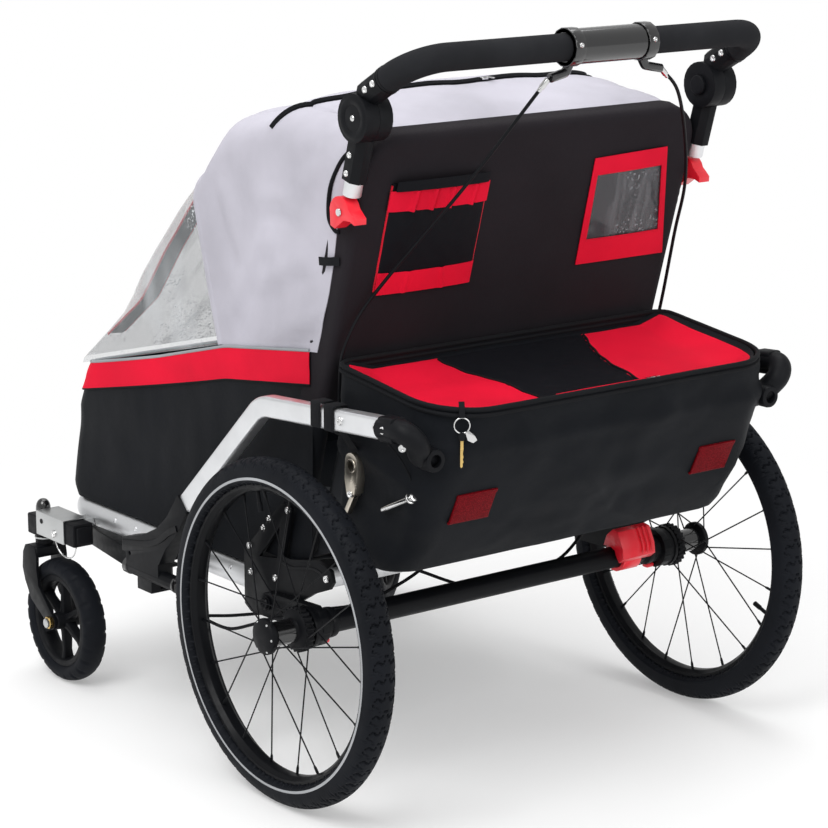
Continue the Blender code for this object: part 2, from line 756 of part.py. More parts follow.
def suspension_plate(side):
    outline = [(0.186, 0.305), (0.186, 0.236), (0.170, 0.227), (0.101, 0.229), (0.066, 0.256), (0.043,
        0.273),
               (0.011, 0.292), (-0.026, 0.307), (-0.035, 0.319), (-0.030, 0.335), (0.004, 0.343),
               (0.067, 0.330),
               (0.086, 0.330), (0.066, 0.404), (0.074, 0.411), (0.088, 0.409), (0.186, 0.318)]
    window = [(0.147, 0.3165), (0.101, 0.3240), (0.094, 0.3730)]
    plate = side_prism(side, outline, PLATE_X)
    plate = cut(plate, side_prism(side, window, (PLATE_X[0] - 0.01, PLATE_X[1] + 0.01)))
    seat = side_box(side, (LOOP_HALF - 0.004, PLATE_X[0] + 0.002), PLATE_SEAT_Y, (0.2535, 0.2865))
    eye = HOOP_RADIUS + EYE_OVER
    hoop_pin = [(0, HOOP_X - eye - 0.002), (HOOP_PIN_RADIUS, HOOP_X - eye - 0.002),
                (HOOP_PIN_RADIUS, HOOP_X + eye + GAP), (0.009, HOOP_X + eye + GAP),
                (0.009, PLATE_X[0] + 0.002), (0, PLATE_X[0] + 0.002)]
    pin = turned([(r, side * s) for r, s in hoop_pin], 12, pivot_point(HOOP_PIVOT))
    head = ARM_IN + ARM_THICK + GAP
    arm_pin = [(0, PLATE_X[1] - 0.002), (ARM_PIN_RADIUS, PLATE_X[1] - 0.002), (ARM_PIN_RADIUS, head),
               (0.0105, head), (0.0105, head + 0.003), (0, head + 0.003)]
    axle_pin = turned([(r, side * s) for r, s in arm_pin], 12, pivot_point(ARM_PIVOT))
    return union(cut(union(plate, seat), loop_mesh(GAP)), pin, axle_pin)


def bar_end_run():
    return (Vector(BAR_END) - Vector(BAR_BEND)).normalized()


def crossbar_path():
    """Route of the crossbar: on from one side bar's end, down and in, across, and up to the other."""
    y, z = CROSS_AT
    run = bar_end_run()
    start, bend = Vector(BAR_END) + run * GAP * 2, Vector(BAR_END) + run * CROSS_LEAD
    half = [(-BAR_X, *start), (-BAR_X, *bend), (-CROSS_HALF, y, z)]
    points = half + [(-px, py, pz) for px, py, pz in reversed(half)]
    elbow = CROSS_RADIUS * 1.2
    return rounded(points, [0, elbow, 0.030, 0.030, elbow, 0], step=radians(25))


def rear_crossbar(extra=0.0):
    path = crossbar_path()
    bar = swept(path, round_section(CROSS_RADIUS + extra, CROSS_SIDES), (0, -0.6, 1))
    if extra:
        return bar
    y, z = CROSS_AT
    run = bar_end_run()
    for side in (LEFT, RIGHT):
        ends = [Vector((side * BAR_X, *(Vector(BAR_END) + run * reach))) for reach in (GAP, -0.060)]
        bar = cut(bar, swept(ends, plain_section(BAR_HEIGHT + 2 * GAP, BAR_WIDTH + 2 * GAP), (side, 0, 0)))
        x = side * (CROSS_HALF - 0.006)
        bar = union(bar, rod(CROSS_RADIUS * 0.95, y - 0.024, y, (x, 0, z), "Y", 12))
        bar = cut(bar, rod(SOCKET_RADIUS, y - 0.03, y - 0.024 + SOCKET_DEPTH, (x, 0, z), "Y", 12))
    return bar


# Casters

def build_caster(side):
    x = side * CASTER_X
    half = CASTER_BAR / 2
    stem = Vector((x, CASTER_STEM_Y, 0.0))
    skin = half + GAP
    y0, y1 = CASTER_CLEVIS_Y
    top = CASTER_BAR_Z + half
    outer = box((x - skin - CLEVIS_THICK, y0, CASTER_BAR_Z - 0.018),
                (x + skin + CLEVIS_THICK, y1, top + GAP + CLEVIS_THICK))
    clevis = cut(outer, box((x - skin, y0 - 0.01, CASTER_BAR_Z - 0.03), (x + skin, y1 + 0.01, top + GAP)))
    seat = side_box(side, (LOOP_HALF + LOOP_RADIUS - 0.004, CASTER_X - skin - CLEVIS_THICK + 0.001),
                    (y0 + 0.001, 0.646), (CASTER_BAR_Z + 0.001, CASTER_BAR_Z + 0.017))
    clevis = cut(union(clevis, seat), loop_mesh(GAP))
    place(f"caster_clevis_{suffix(side)}", clevis, "zinc")
    housing = box((x - half, CASTER_BAR_Y, CASTER_BAR_Z - half), (x + half, CASTER_STEM_Y - 0.010,
        top), 0.0015)
    block = box((x - half * 0.95, HOUSING_Y[0], HOUSING_Z[0]), (x + half * 0.95, HOUSING_Y[1],
        HOUSING_Z[1]), 0.0020)
    cap = turned(((0, 0.250), (0.0110, 0.250), (0.0110, 0.274), (0.0088, 0.2815), (0.0045, 0.2855), (0,
        0.2862)),
                 12, stem, "Z")
    housing = union(housing, block, cap)
    housing = cut(housing, bore(STEM_RADIUS + GAP, 0.20, 0.245, stem, "Z", 14))
    place(f"caster_housing_{suffix(side)}", housing, "black_plastic")
    turn = CASTER_TURN[side]
    place(f"caster_fork_{suffix(side)}", caster_fork(stem), "black_paint", stem, turn)
    centre = Vector((0.0, -CASTER_TRAIL, CASTER_RADIUS))
    wheel_at = Matrix.Rotation(turn, 3, "Z") @ centre + stem
    half_width = CASTER_WIDTH / 2
    core = CASTER_CORE_RADIUS
    tyre = turned(((CASTER_RADIUS, -0.008), (CASTER_RADIUS, 0.008), (CASTER_RADIUS - 0.006,
        half_width * 0.85),
                   (CASTER_RADIUS - 0.017, half_width), (core + GAP, CASTER_CORE_WIDTH / 2),
                   (core + GAP, -CASTER_CORE_WIDTH / 2), (CASTER_RADIUS - 0.017, -half_width),
                   (CASTER_RADIUS - 0.006, -half_width * 0.85)), CASTER_SIDES, wheel_at)
    place(f"caster_tyre_{suffix(side)}", tyre, "tyre_rubber", wheel_at, turn)
    place(f"caster_wheel_{suffix(side)}", caster_core(wheel_at), "black_plastic", wheel_at, turn)


def caster_core(centre):
    width = CASTER_CORE_WIDTH / 2
    rim = turned(((CASTER_CORE_RADIUS, -width), (CASTER_CORE_RADIUS, width), (0.0655, width), (0.0625,
        0.006),
                  (0.0625, -0.006), (0.0655, -width)), CASTER_SIDES, centre)
    boss = rod(0.0135, -FORK_INNER + 2 * GAP, FORK_INNER - 2 * GAP, centre)
    core = union(rim, boss)
    for k in range(6):
        angle = k * pi / 3 + pi / 6
        run = Vector((0, cos(angle), sin(angle)))
        core = union(core, swept([Vector(centre) + run * 0.009, Vector(centre) + run * 0.066],
                                 plain_section(0.009, 0.016), (1, 0, 0)))
    return cut(core, bore(CASTER_AXLE_RADIUS + GAP, -0.04, 0.04, centre))


def caster_fork(stem):
    """Fork with its wheel straight behind the stem."""
    low, crown = FORK_CROWN_Z
    axle_y, axle_z = CASTER_STEM_Y - CASTER_TRAIL, CASTER_RADIUS
    front = CASTER_STEM_Y + 0.020
    outline = [(front - 0.008, crown - 0.001), (front, low + 0.004), (front + 0.003, 0.172),
               (front - 0.004, 0.152),
               (front - 0.022, 0.124)]
    outline += arc((axle_y, axle_z), 0.0125, -30, -200, 5)
    outline += [(CASTER_STEM_Y - 0.026, 0.150), (CASTER_STEM_Y - 0.021, 0.176), (CASTER_STEM_Y - 0.022,
        low),
                (CASTER_STEM_Y - 0.018, crown - 0.001)]
    centre = Vector(stem)
    reach = FORK_INNER + FORK_THICK
    legs = [prism(outline, "X", centre[0] + s * FORK_INNER, centre[0] + s * reach) for s in (-1, 1)]
    block = box((centre[0] - reach + 0.001, CASTER_STEM_Y - 0.0205, low),
                (centre[0] + reach - 0.001, front - 0.009, crown), 0.002)
    neck = turned(((0, low + 0.005), (0.014, low + 0.005), (0.014, crown + 0.008), (0.0105,
        HOUSING_Z[0] - 0.001),
                   (STEM_RADIUS, HOUSING_Z[0] - 0.001), (STEM_RADIUS, 0.2440), (0, 0.2440)), 12,
                   centre, "Z")
    axle = turned(((0, -reach - 0.010), (0.0075, -reach - 0.010), (0.0075, -reach + 0.001),
                   (CASTER_AXLE_RADIUS, -reach + 0.001), (CASTER_AXLE_RADIUS, reach - 0.001),
                   (0.0075, reach - 0.001), (0.0075, reach + 0.010), (0, reach + 0.010)), 12,
                  (centre[0], axle_y, axle_z))
    return union(block, *legs, neck, axle)


# Hoops, back panel and handle

def lean_point(x, z, back=0.0):
    """Point on the rear hoop's plane at a height, moved square to it towards the back."""
    return Vector((x, hoop_y(z) - back * cos(LEAN), z - back * sin(LEAN)))


def build_hoops():
    points = [lean_point(-HOOP_X, HOOP_PIVOT[1]), lean_point(-HOOP_X, HOOP_TOP_Z),
              lean_point(HOOP_X, HOOP_TOP_Z), lean_point(HOOP_X, HOOP_PIVOT[1])]
    hoop = swept(rounded(points, HOOP_BEND), round_section(HOOP_RADIUS, HOOP_SIDES), (0, 1, 0.3))
    foot = Vector((0, *HOOP_PIVOT))
    for side in (LEFT, RIGHT):
        eye_half = HOOP_RADIUS + EYE_OVER
        eye = rod(HOOP_RADIUS + 0.001, -eye_half, eye_half, foot + Vector((side * HOOP_X, 0, 0)))
        hoop = cut(union(hoop, eye), bore(HOOP_PIN_RADIUS + GAP, -0.02, 0.02,
                                          foot + Vector((side * HOOP_X, 0, 0))))
        hoop = union(hoop, *upright_pieces(side))
        bow_pin = [(0, BOW_X - BOW_RADIUS - 0.0025), (BOW_PIN_RADIUS, BOW_X - BOW_RADIUS - 0.0025),
                   (BOW_PIN_RADIUS, HOOP_X - 0.004), (0, HOOP_X - 0.004)]
        hoop = union(hoop, turned([(r, side * s) for r, s in bow_pin], 10, bow_pivot()))
    place("rear_hoop", hoop, "satin_alloy", foot)
    build_bow()


def upright_line(z):
    """Y of a handle upright's centre line at a height."""
    return JOINT[0] - tan(LEAN) * (z - JOINT[1])


def upright_pieces(side):
    """Handle tube, its two brackets on the hoop, and the pin for the latch lever."""
    x = side * UPRIGHT_X
    foot_z = LATCH_PIVOT[1] + LATCH_ROUND + 0.002
    top_z = JOINT[1] - JOINT_RADIUS - 0.004
    path = [Vector((x, upright_line(foot_z), foot_z)), Vector((x, upright_line(top_z), top_z))]
    upright = swept(path, round_section(UPRIGHT_RADIUS, 12), (0, 1, 0.3))
    tie_z = foot_z + 0.010
    ends = [Vector((side * HOOP_X, hoop_y(tie_z), tie_z)), Vector((x, upright_line(tie_z), tie_z))]
    tie = swept(ends, plain_section(0.0135, 0.0085), (0, 0, 1))
    head = LATCH_X[1] + GAP
    pin = [(0, HOOP_X), (LATCH_PIN_RADIUS, HOOP_X), (LATCH_PIN_RADIUS, head), (0.0055, head),
           (0.0055, head + 0.0019), (0, head + 0.0019)]
    latch_pin = turned([(r, side * s) for r, s in pin], 10, pivot_point(LATCH_PIVOT))
    return upright, tie, latch_pin


def bow_pivot():
    return Vector((0, hoop_y(BOW_PIVOT_Z), BOW_PIVOT_Z))


def build_bow():
    foot = bow_pivot()
    top = Vector((0, *BOW_TOP))
    left = Vector((BOW_X, 0, 0))
    path = rounded([foot - left, top - left, top + left, foot + left], BOW_BEND)
    bow = swept(path, round_section(BOW_RADIUS, 10), (0, -0.8, 0.6))
    for side in (LEFT, RIGHT):
        at = foot + Vector((side * BOW_X, 0, 0))
        bow = union(bow, rod(BOW_RADIUS + 0.0015, -BOW_RADIUS - EYE_OVER, BOW_RADIUS + EYE_OVER, at))
        bow = cut(bow, bore(BOW_PIN_RADIUS + GAP, -0.02, 0.02, at))
    place("roof_bow", bow, "satin_alloy", foot)


def build_panel():
    back = HOOP_RADIUS / cos(pi / HOOP_SIDES) + GAP
    corner = 0.030
    heights = [(PANEL_TOP_HALF, PANEL_TOP_Z), (PANEL_HALF, 0.830), (PANEL_HALF, PANEL_LOW_Z)]
    right = [(PANEL_TOP_HALF - corner, PANEL_TOP_Z), (PANEL_TOP_HALF - 0.006, PANEL_TOP_Z - 0.010)] + \
            [(PANEL_TOP_HALF, PANEL_TOP_Z - corner)] + [(w, z) for w, z in heights[1:]]
    outline = right + [(-w, z) for w, z in reversed(right)]
    front = [lean_point(x, z, back) for x, z in outline]
    rear = [lean_point(x, z, back + PANEL_THICK) for x, z in outline]
    panel = lofted([front, rear])
    for xs, zs, thick in ((POCKET_X, POCKET_Z, POCKET_THICK), (MAP_X, MAP_Z, MAP_THICK)):
        start = back + PANEL_THICK
        rings = []
        for depth, inset in ((start - 0.002, 0.0), (start + thick * 0.6, 0.0), (start + thick, 0.004)):
            rings.append([lean_point(x, z, depth) for x, z in (
                (xs[0] + inset, zs[0] + inset), (xs[1] - inset, zs[0] + inset),
                (xs[1] - inset, zs[1] - inset), (xs[0] + inset, zs[1] - inset))])
        panel = union(panel, lofted(rings))
    place("back_panel", panel, "black_fabric", (0, *HOOP_PIVOT))


def build_handle():
    joint = Vector((0, *JOINT))
    split = UPRIGHT_X
    for side in (LEFT, RIGHT):
        x = side * UPRIGHT_X
        free = JOINT_RADIUS + 0.0006
        foot = Vector((x, upright_line(SLEEVE_FOOT_Z), SLEEVE_FOOT_Z))
        head_z = JOINT[1] - 0.010
        head = Vector((x, upright_line(head_z), head_z))
        lower = swept([foot, head], bar_section(SLEEVE_Y, SLEEVE_X, 0.009), (side, 0, 0))
        bore_top = JOINT[1] - JOINT_RADIUS - 0.003
        socket = swept([foot + (foot - head), Vector((x, upright_line(bore_top), bore_top))],
                       round_section(UPRIGHT_RADIUS + GAP, 12), (0, 1, 0.3))
        lower = cut(lower, socket)
        inner = sorted((side * (split - 0.03), side * (split + GAP / 2)))
        lower = cut(lower, rod(free, inner[0], inner[1], joint, sides=24))
        outer = sorted((side * (split + GAP / 2), side * JOINT_OUT))
        lower = union(lower, rod(JOINT_RADIUS, outer[0], outer[1], joint, sides=24))
        place(f"joint_lower_{suffix(side)}", lower, "black_plastic", joint)
        end = Vector((x, *UPPER_SLEEVE_END))
        upper = swept([end - handle_run() * UPPER_SLEEVE_LENGTH, end],
                      round_section(UPPER_SLEEVE_RADIUS, 12), (side, 0, 0))
        outer = sorted((side * (split - GAP / 2), side * (split + 0.03)))
        upper = cut(upper, rod(free, outer[0], outer[1], joint, sides=24))
        inner = sorted((side * JOINT_IN, side * (split - GAP / 2)))
        upper = union(upper, rod(JOINT_RADIUS, inner[0], inner[1], joint, sides=24))
        recess = sorted((side * (JOINT_IN - 0.01), side * (JOINT_IN + KNOB_RECESS)))
        upper = cut(upper, rod(KNOB_RADIUS + GAP, recess[0], recess[1], joint, sides=16))
        place(f"joint_upper_{suffix(side)}", upper, "black_plastic", joint)
        base = JOINT_IN + KNOB_RECESS - 0.0042
        knob = [(0, base), (KNOB_RADIUS, base), (KNOB_RADIUS, base - KNOB_HEIGHT + 0.001),
                (KNOB_RADIUS - 0.0015, base - KNOB_HEIGHT), (0, base - KNOB_HEIGHT)]
        button = turned([(r, side * s) for r, s in knob], 16, joint)
        place(f"joint_button_{suffix(side)}", button, "black_plastic", joint)
    build_handle_bar()
    build_brake()
    build_latches()


def handle_run():
    """Direction of the handle's ends, from the upper sleeve to the bend."""
    return (Vector((0, *GRIP_CENTRE)) - Vector((0, *UPPER_SLEEVE_END))).normalized()


def build_handle_bar():
    start = Vector((UPRIGHT_X, *UPPER_SLEEVE_END)) + handle_run() * GAP
    points = [Vector((-start[0], start[1], start[2])), Vector((-UPRIGHT_X, *GRIP_CENTRE)),
              Vector((UPRIGHT_X, *GRIP_CENTRE)), start]
    bar = swept(rounded(points, HANDLE_BEND, step=radians(15)), round_section(FOAM_RADIUS, FOAM_SIDES),
                (0, -0.5, -0.87))
    place("handle_bar", bar, "foam", (0, *JOINT))


def build_brake():
    centre = Vector((0, *GRIP_CENTRE))
    x0, x1 = BRAKE_X
    half = CLAMP_WIDTH / 2
    inner = FOAM_RADIUS / cos(pi / FOAM_SIDES) + GAP
    profile = [(inner, x0 - half), (CLAMP_RADIUS, x0 - half), (CLAMP_RADIUS, x0 + half),
               (SLEEVE_RADIUS, x0 + half),
               (SLEEVE_RADIUS, x1 - half), (CLAMP_RADIUS, x1 - half), (CLAMP_RADIUS, x1 + half),
               (inner, x1 + half)]
    body = turned(profile, FOAM_SIDES, centre)
    for x, run in ((x0, -1), (x1, 1)):
        y, z = GRIP_CENTRE
        path = [Vector((x, y, z - FOAM_RADIUS - 0.0048)), Vector((x + run * 0.006, y, z - 0.034)),
                Vector((x + run * 0.034, y - 0.001, z - 0.0395))]
        body = union(body, swept(rounded(path, 0.008), bar_section(0.012, 0.012, 0.003), (0, 1, 0)))
    place("brake_body", body, "gloss_black", (0, *JOINT))
    clear = SLEEVE_RADIUS / cos(pi / FOAM_SIDES) + GAP
    grip = tube(TWIST_RADIUS, clear, x0 + half + GAP, x1 - half - GAP, centre, sides=FOAM_SIDES)
    place("brake_grip", grip, "gloss_black", centre)


def build_latches():
    y, z = LATCH_PIVOT
    for side in (LEFT, RIGHT):
        top = arc((y, z), LATCH_ROUND, 10, 165, 8)
        outline = top + [(y - 0.0260, z + 0.0020), (y - 0.0350, z - 0.0060), (y - 0.0345, z - 0.0140),
                         (y - 0.0240, z - 0.0100), (y - 0.0100, z - 0.0100), (y + 0.0100, z - 0.0235),
                         (y + 0.0200, z - 0.0200)]
        latch = side_prism(side, outline, LATCH_X)
        latch = cut(latch, bore(LATCH_PIN_RADIUS + GAP, -0.5, 0.5, pivot_point(LATCH_PIVOT)))
        place(f"latch_lever_{suffix(side)}", latch, "red_plastic", pivot_point(LATCH_PIVOT))


# Cabin

def build_tub():
    rear, middle, nose = RIM_LINE
    floor, wall = TUB_FLOOR_Z, TUB_WALL
    side_view = [(hoop_y(TUB_STEP_Z) - 0.022, TUB_STEP_Z), (0.165, TUB_STEP_Z), (0.170, floor),
                 (FRONT_FOOT[0] - 0.012, floor), FRONT_FOOT, FRONT_KNEE, nose, middle, rear]
    outer = tub_block(side_view, TUB_HALF)
    inside = [(-0.30, TUB_STEP_Z - 0.1), (0.10, TUB_STEP_Z - 0.1), (0.10, floor + wall),
              (FRONT_FOOT[0] - wall - 0.012, floor + wall), (FRONT_FOOT[0] - wall, FRONT_FOOT[1]),
              (FRONT_KNEE[0] - wall, FRONT_KNEE[1]), (nose[0] - wall, nose[1]),
              (nose[0] - wall - 0.04, 0.80), (-0.30, 0.80)]
    tub = cut(outer, tub_block(inside, TUB_HALF - wall))
    tongue = box((-TONGUE_HALF, hoop_y(floor) - 0.008, floor), (TONGUE_HALF, 0.172, floor + wall))
    place("tub", union(tub, tongue), "black_fabric")
    build_band()


def tub_block(side_view, half):
    """Side view pushed across the trailer, with its front corners rounded in plan."""
    block = prism(side_view, "X", -half, half)
    bend = FRONT_BEND
    front = FRONT_FOOT[0] + 0.004 - (TUB_HALF - half)
    plan = [(-half, -0.4), (half, -0.4)]
    plan += arc((half - bend, front - bend), bend, 0, 90, 5)
    plan += arc((-half + bend, front - bend), bend, 90, 180, 5)
    return boolean(block, prism(plan, "Z", 0.1, 1.0), "INTERSECT")


def build_band():
    """Band sewn round the outside of the tub, under its rim."""
    top = list(RIM_LINE) + [(FRONT_FOOT[0] + 0.06, RIM_LINE[2][1])]
    low = [(y, z - BAND_HEIGHT) for y, z in reversed(top)]
    strip = prism(top + low, "X", -0.5, 0.5)
    ring = cut(band_block(BAND_THICK + GAP), band_block(GAP))
    place("red_band", boolean(ring, strip, "INTERSECT"), "red_fabric")


def band_block(grow):
    """Block over the whole tub that stands off its front and sides by a distance."""
    nose = RIM_LINE[2]
    side_view = [(-0.1, 0.2), (FRONT_FOOT[0] + grow, 0.2), (FRONT_FOOT[0] + grow, FRONT_FOOT[1]),
                 (FRONT_KNEE[0] + grow, FRONT_KNEE[1]), (nose[0] + grow, nose[1]),
                 (nose[0] + grow - 0.06, nose[1] + 0.08), (-0.1, 0.9)]
    return tub_block(side_view, TUB_HALF + grow)


def arched_rows(stations, shrink):
    """Arched sections through stations of a foot, a top and the crown of the arch between its corners."""
    rows = []
    for foot, top, crown in stations:
        foot, top = Vector(foot), Vector(top)
        rise = (top - foot).length
        up = (top - foot) / rise
        half = TUB_HALF - shrink
        height = rise - shrink
        bend = min(ROOF_BEND, rise * 0.6) - shrink
        flat = half - bend
        side = [(half, 0.0), (half, (height - bend) * 0.5), (half, height - bend)]
        side += [(flat + bend * cos(radians(a)), height - bend + bend * sin(radians(a))) for a in (30,
            60, 90)]
        side.append((flat * 0.5, height + crown * 0.75))
        section = side + [(0.0, height + crown)] + [(-x, h) for x, h in reversed(side)]
        rows.append([Vector((x, *(foot + up * h))) for x, h in section])
    return rows


def build_canopy():
    rim = 2 * GAP
    roof = ((ROOF_REAR_FOOT, ROOF_REAR, 0.000), ((0.066, 0.633), (-0.016, 0.962), 0.012),
            ((0.110, 0.627), (0.060, 0.968), 0.018), ((0.150, 0.622), (0.120, 0.970), 0.016),
            ((0.190, 0.617), (0.190, 0.957), 0.011), ((0.225, 0.612), (0.257, 0.923), 0.007),
            ((WINDOW_FOOT[0] - GAP, WINDOW_FOOT[1]), (ROOF_FRONT[0] - GAP, ROOF_FRONT[1]), 0.004))
    roof = [((foot[0], foot[1] + rim), top, crown) for foot, top, crown in roof]
    place("canopy", sheet_between(arched_rows(roof, 0.0), arched_rows(roof, ROOF_WALL)), "grey_fabric",
          smooth=radians(50))
    foot, top, nose = (Vector(p) for p in (WINDOW_FOOT, ROOF_FRONT, WINDOW_NOSE))
    film = []
    for share in (0.0, 0.3, 0.6, 0.85, 1.0):
        lift = Vector((GAP, rim))
        high = top.lerp(nose + Vector((-0.004, WINDOW_NOSE_HEIGHT)), share)
        film.append((foot.lerp(nose, share) + lift, high + Vector((GAP, 0)), 0.004 * (1 - share)))
    place("window", sheet_between(arched_rows(film, 0.0), arched_rows(film, WINDOW_WALL)), "clear_film",
          smooth=radians(50))


def cushion(half, length, thick, point, rows=6, columns=12):
    """Pad for two seats, laid by a point function: crowned tops, a channel and drawn-in sides."""
    upper, lower = [], []
    for r in range(rows + 1):
        v = r / rows
        top_row, low_row = [], []
        for c in range(columns + 1):
            u = -1 + 2 * c / columns
            seat = abs(2 * abs(u) - 1)
            fall = (1 - seat ** 4) * (1 - (2 * v - 1) ** 4)
            x = u * (half - 0.004 * sin(pi * v) * abs(u) ** 6)
            top_row.append(point(x, v * length, thick * (0.45 + 0.55 * fall)))
            low_row.append(point(x, v * length, 0.0))
        upper.append(top_row)
        lower.append(low_row)
    return sheet_between(upper, lower)


def build_seats():
    floor = TUB_FLOOR_Z + TUB_WALL + GAP

    def on_floor(x, along_y, height):
        return Vector((x, CUSHION_Y[0] + along_y, floor + height))

    def on_hoop(x, up, height):
        off = HOOP_RADIUS + BACK_CLEARANCE
        return lean_point(x, floor + up * cos(LEAN) - off * sin(LEAN), -off - height)

    seat = cushion(SEAT_HALF, CUSHION_Y[1] - CUSHION_Y[0], CUSHION_THICK, on_floor)
    place("seat_cushion", seat, "seat_fabric", smooth=radians(60))
    place("seat_back", cushion(SEAT_HALF, BACK_HEIGHT, BACK_THICK, on_hoop), "seat_fabric",
          smooth=radians(60))


# Bag

def bag_ring(z_share, inset, lift=0.0):
    """Outline of the bag at one of its heights, with the top sloping down to the rear."""
    z, rear = z_share
    low, high = BAG_REAR[0][0], BAG_REAR[-1][0]
    share = (z - low) / (high - low)
    half = BAG_LOW_HALF + (BAG_HALF - BAG_LOW_HALF) * min(1.0, share * 1.6) - inset
    front, rear = BAG_FRONT - inset, rear + inset
    corner, front_corner = BAG_CORNER - inset, max(0.004, BAG_FRONT_CORNER - inset)
    points = arc((half - corner, rear + corner), corner, -90, 0, 5)
    points += arc((half - front_corner, front - front_corner), front_corner, 0, 90, 2)
    points += arc((-half + front_corner, front - front_corner), front_corner, 90, 180, 2)
    points += arc((-half + corner, rear + corner), corner, 180, 270, 5)
    ring = []
    for x, y in points:
        rise = BAG_FRONT_RISE * share ** 2 * (y - rear) / (front - rear)
        ring.append(Vector((x, y, z + rise + lift)))
    return ring


def build_bag():
    outer = lofted([bag_ring(level, 0.0) for level in BAG_REAR])
    floor_level = (BAG_REAR[0][0] + BAG_WALL, BAG_REAR[0][1])
    inner_levels = [floor_level] + list(BAG_REAR[1:])
    rings = [bag_ring(level, BAG_WALL) for level in inner_levels]
    rings.append([p + Vector((0, 0, 0.02)) for p in rings[-1]])
    bag = cut(outer, lofted(rings))
    bag = cut(bag, rear_crossbar(extra=0.0008))
    place("bag", bag, "black_fabric")
    low = bag_ring(BAG_REAR[-1], 0.0, GAP)
    high = bag_ring(BAG_REAR[-1], 0.002, GAP + LID_THICK)
    place("bag_lid", lofted([low, high]), "black_fabric", lid_hinge())
    rear_slope = atan2(BAG_REAR[3][1] - BAG_REAR[2][1], BAG_REAR[3][0] - BAG_REAR[2][0])
    w, t, h = REFLECTOR
    for side in (LEFT, RIGHT):
        mesh = box((-w / 2, -t / 2, -h / 2), (w / 2, t / 2, h / 2), 0.001)
        at = Vector((side * REFLECTOR_X, -0.225, 0.457))
        tilt = Matrix.Rotation(-rear_slope, 4, "X")
        mesh.transform(Matrix.Translation(at) @ tilt @ Matrix.Translation((0, -t / 2 - 0.0008, 0)))
        place(f"reflector_{suffix(side)}", mesh, "red_lens")


def lid_hinge():
    return Vector((0, BAG_FRONT, BAG_REAR[-1][0] + BAG_FRONT_RISE))


# Tow arm and the things that hang at the left

def build_tow_arm():
    x, y = TOW_PIVOT
    half = TOW_SIZE / 2
    rear = arc((0, 0), half, 180, 360, 6)
    arm = prism(rear + [(half, TOW_LENGTH), (-half, TOW_LENGTH)], "Z", TOW_LOW, TOW_LOW + TOW_SIZE)
    arm = cut(arm, bore(TOW_PIN_RADIUS + GAP, TOW_LOW - 0.01, TOW_LOW + TOW_SIZE + 0.01, (0, 0, 0), "Z"))
    arm.transform(Matrix.Translation((x, y, 0)) @ Matrix.Rotation(-TOW_ANGLE, 4, "Z"))
    place("tow_arm", arm, "black_paint", (x, y, TOW_LOW + half))


def build_hitch():
    half = COUPLER_THICK / 2
    bar_top = along((BAR_BEND, BAR_END), STRAP_Y) + BAR_HEIGHT / 2 + 0.003
    out, inn = BAR_X + BAR_WIDTH / 2, BAR_X - BAR_WIDTH / 2
    skin = STRAP_THICK / 2 + GAP
    points = [(-out - skin, STRAP_Y, bar_top - 0.034), (-out - skin, STRAP_Y, bar_top + skin),
              (-inn + skin, STRAP_Y, bar_top + skin), (-inn + skin, STRAP_Y, bar_top - 0.040),
              (COUPLER_X, STRAP_Y, 0.519)]
    strap = swept(rounded(points, 0.002), bar_section(STRAP_THICK, STRAP_WIDTH, 0.0004), (0, 1, 0))
    place("coupler_strap", strap, "black_fabric")
    outline = arc((-0.0865, 0.504), 0.0140, -10, 190, 8)
    outline += [(-0.0985, 0.480), (-0.0930, 0.460), (-0.0760, 0.458), (-0.0715, 0.478)]
    body = prism(outline, "X", COUPLER_X - half, COUPLER_X + half)
    body = cut(body, rod(0.0062, -0.4, -0.2, (0, -0.0865, 0.500), sides=10))
    lever = [(-0.0890, 0.4575), (-0.0800, 0.4565), (-0.0640, 0.4300), (-0.0705, 0.4265)]
    body = union(body, prism(lever, "X", COUPLER_X - 0.0045, COUPLER_X + 0.0045),
                 rod(0.0050, COUPLER_X - half + 0.001, COUPLER_X + half - 0.001, (0, -0.0840, 0.4590),
                     sides=10))
    place("hitch_coupler", body, "zinc")
    build_pin()
    build_keys()


def build_pin():
    """Cross pin with a collar, hung by a wire from the side bar."""
    start, end = (Vector((PIN_X, *p)) for p in PIN_ENDS)
    run = (end - start).normalized()
    shank = swept([start, end], round_section(PIN_RADIUS, 10), (1, 0, 0))
    collar = swept([end - run * 0.011, end - run * 0.008], round_section(PIN_RADIUS * 2, 10), (1, 0, 0))
    bolt_y = -0.191
    bar_low = along((BAR_BEND, BAR_END), bolt_y) - BAR_HEIGHT / 2
    route = [end - run * 0.009, end + Vector((-0.003, 0.004, 0.020)), Vector((PIN_X - 0.0115, -0.197,
        0.530)),
             Vector((-BAR_X + 0.004, bolt_y, bar_low - GAP - 0.001))]
    wire = swept(smooth_route(route, 9), round_section(0.0010, 6), (1, 0, 0))
    place("hitch_pin", union(shank, collar, wire), "bright_steel")


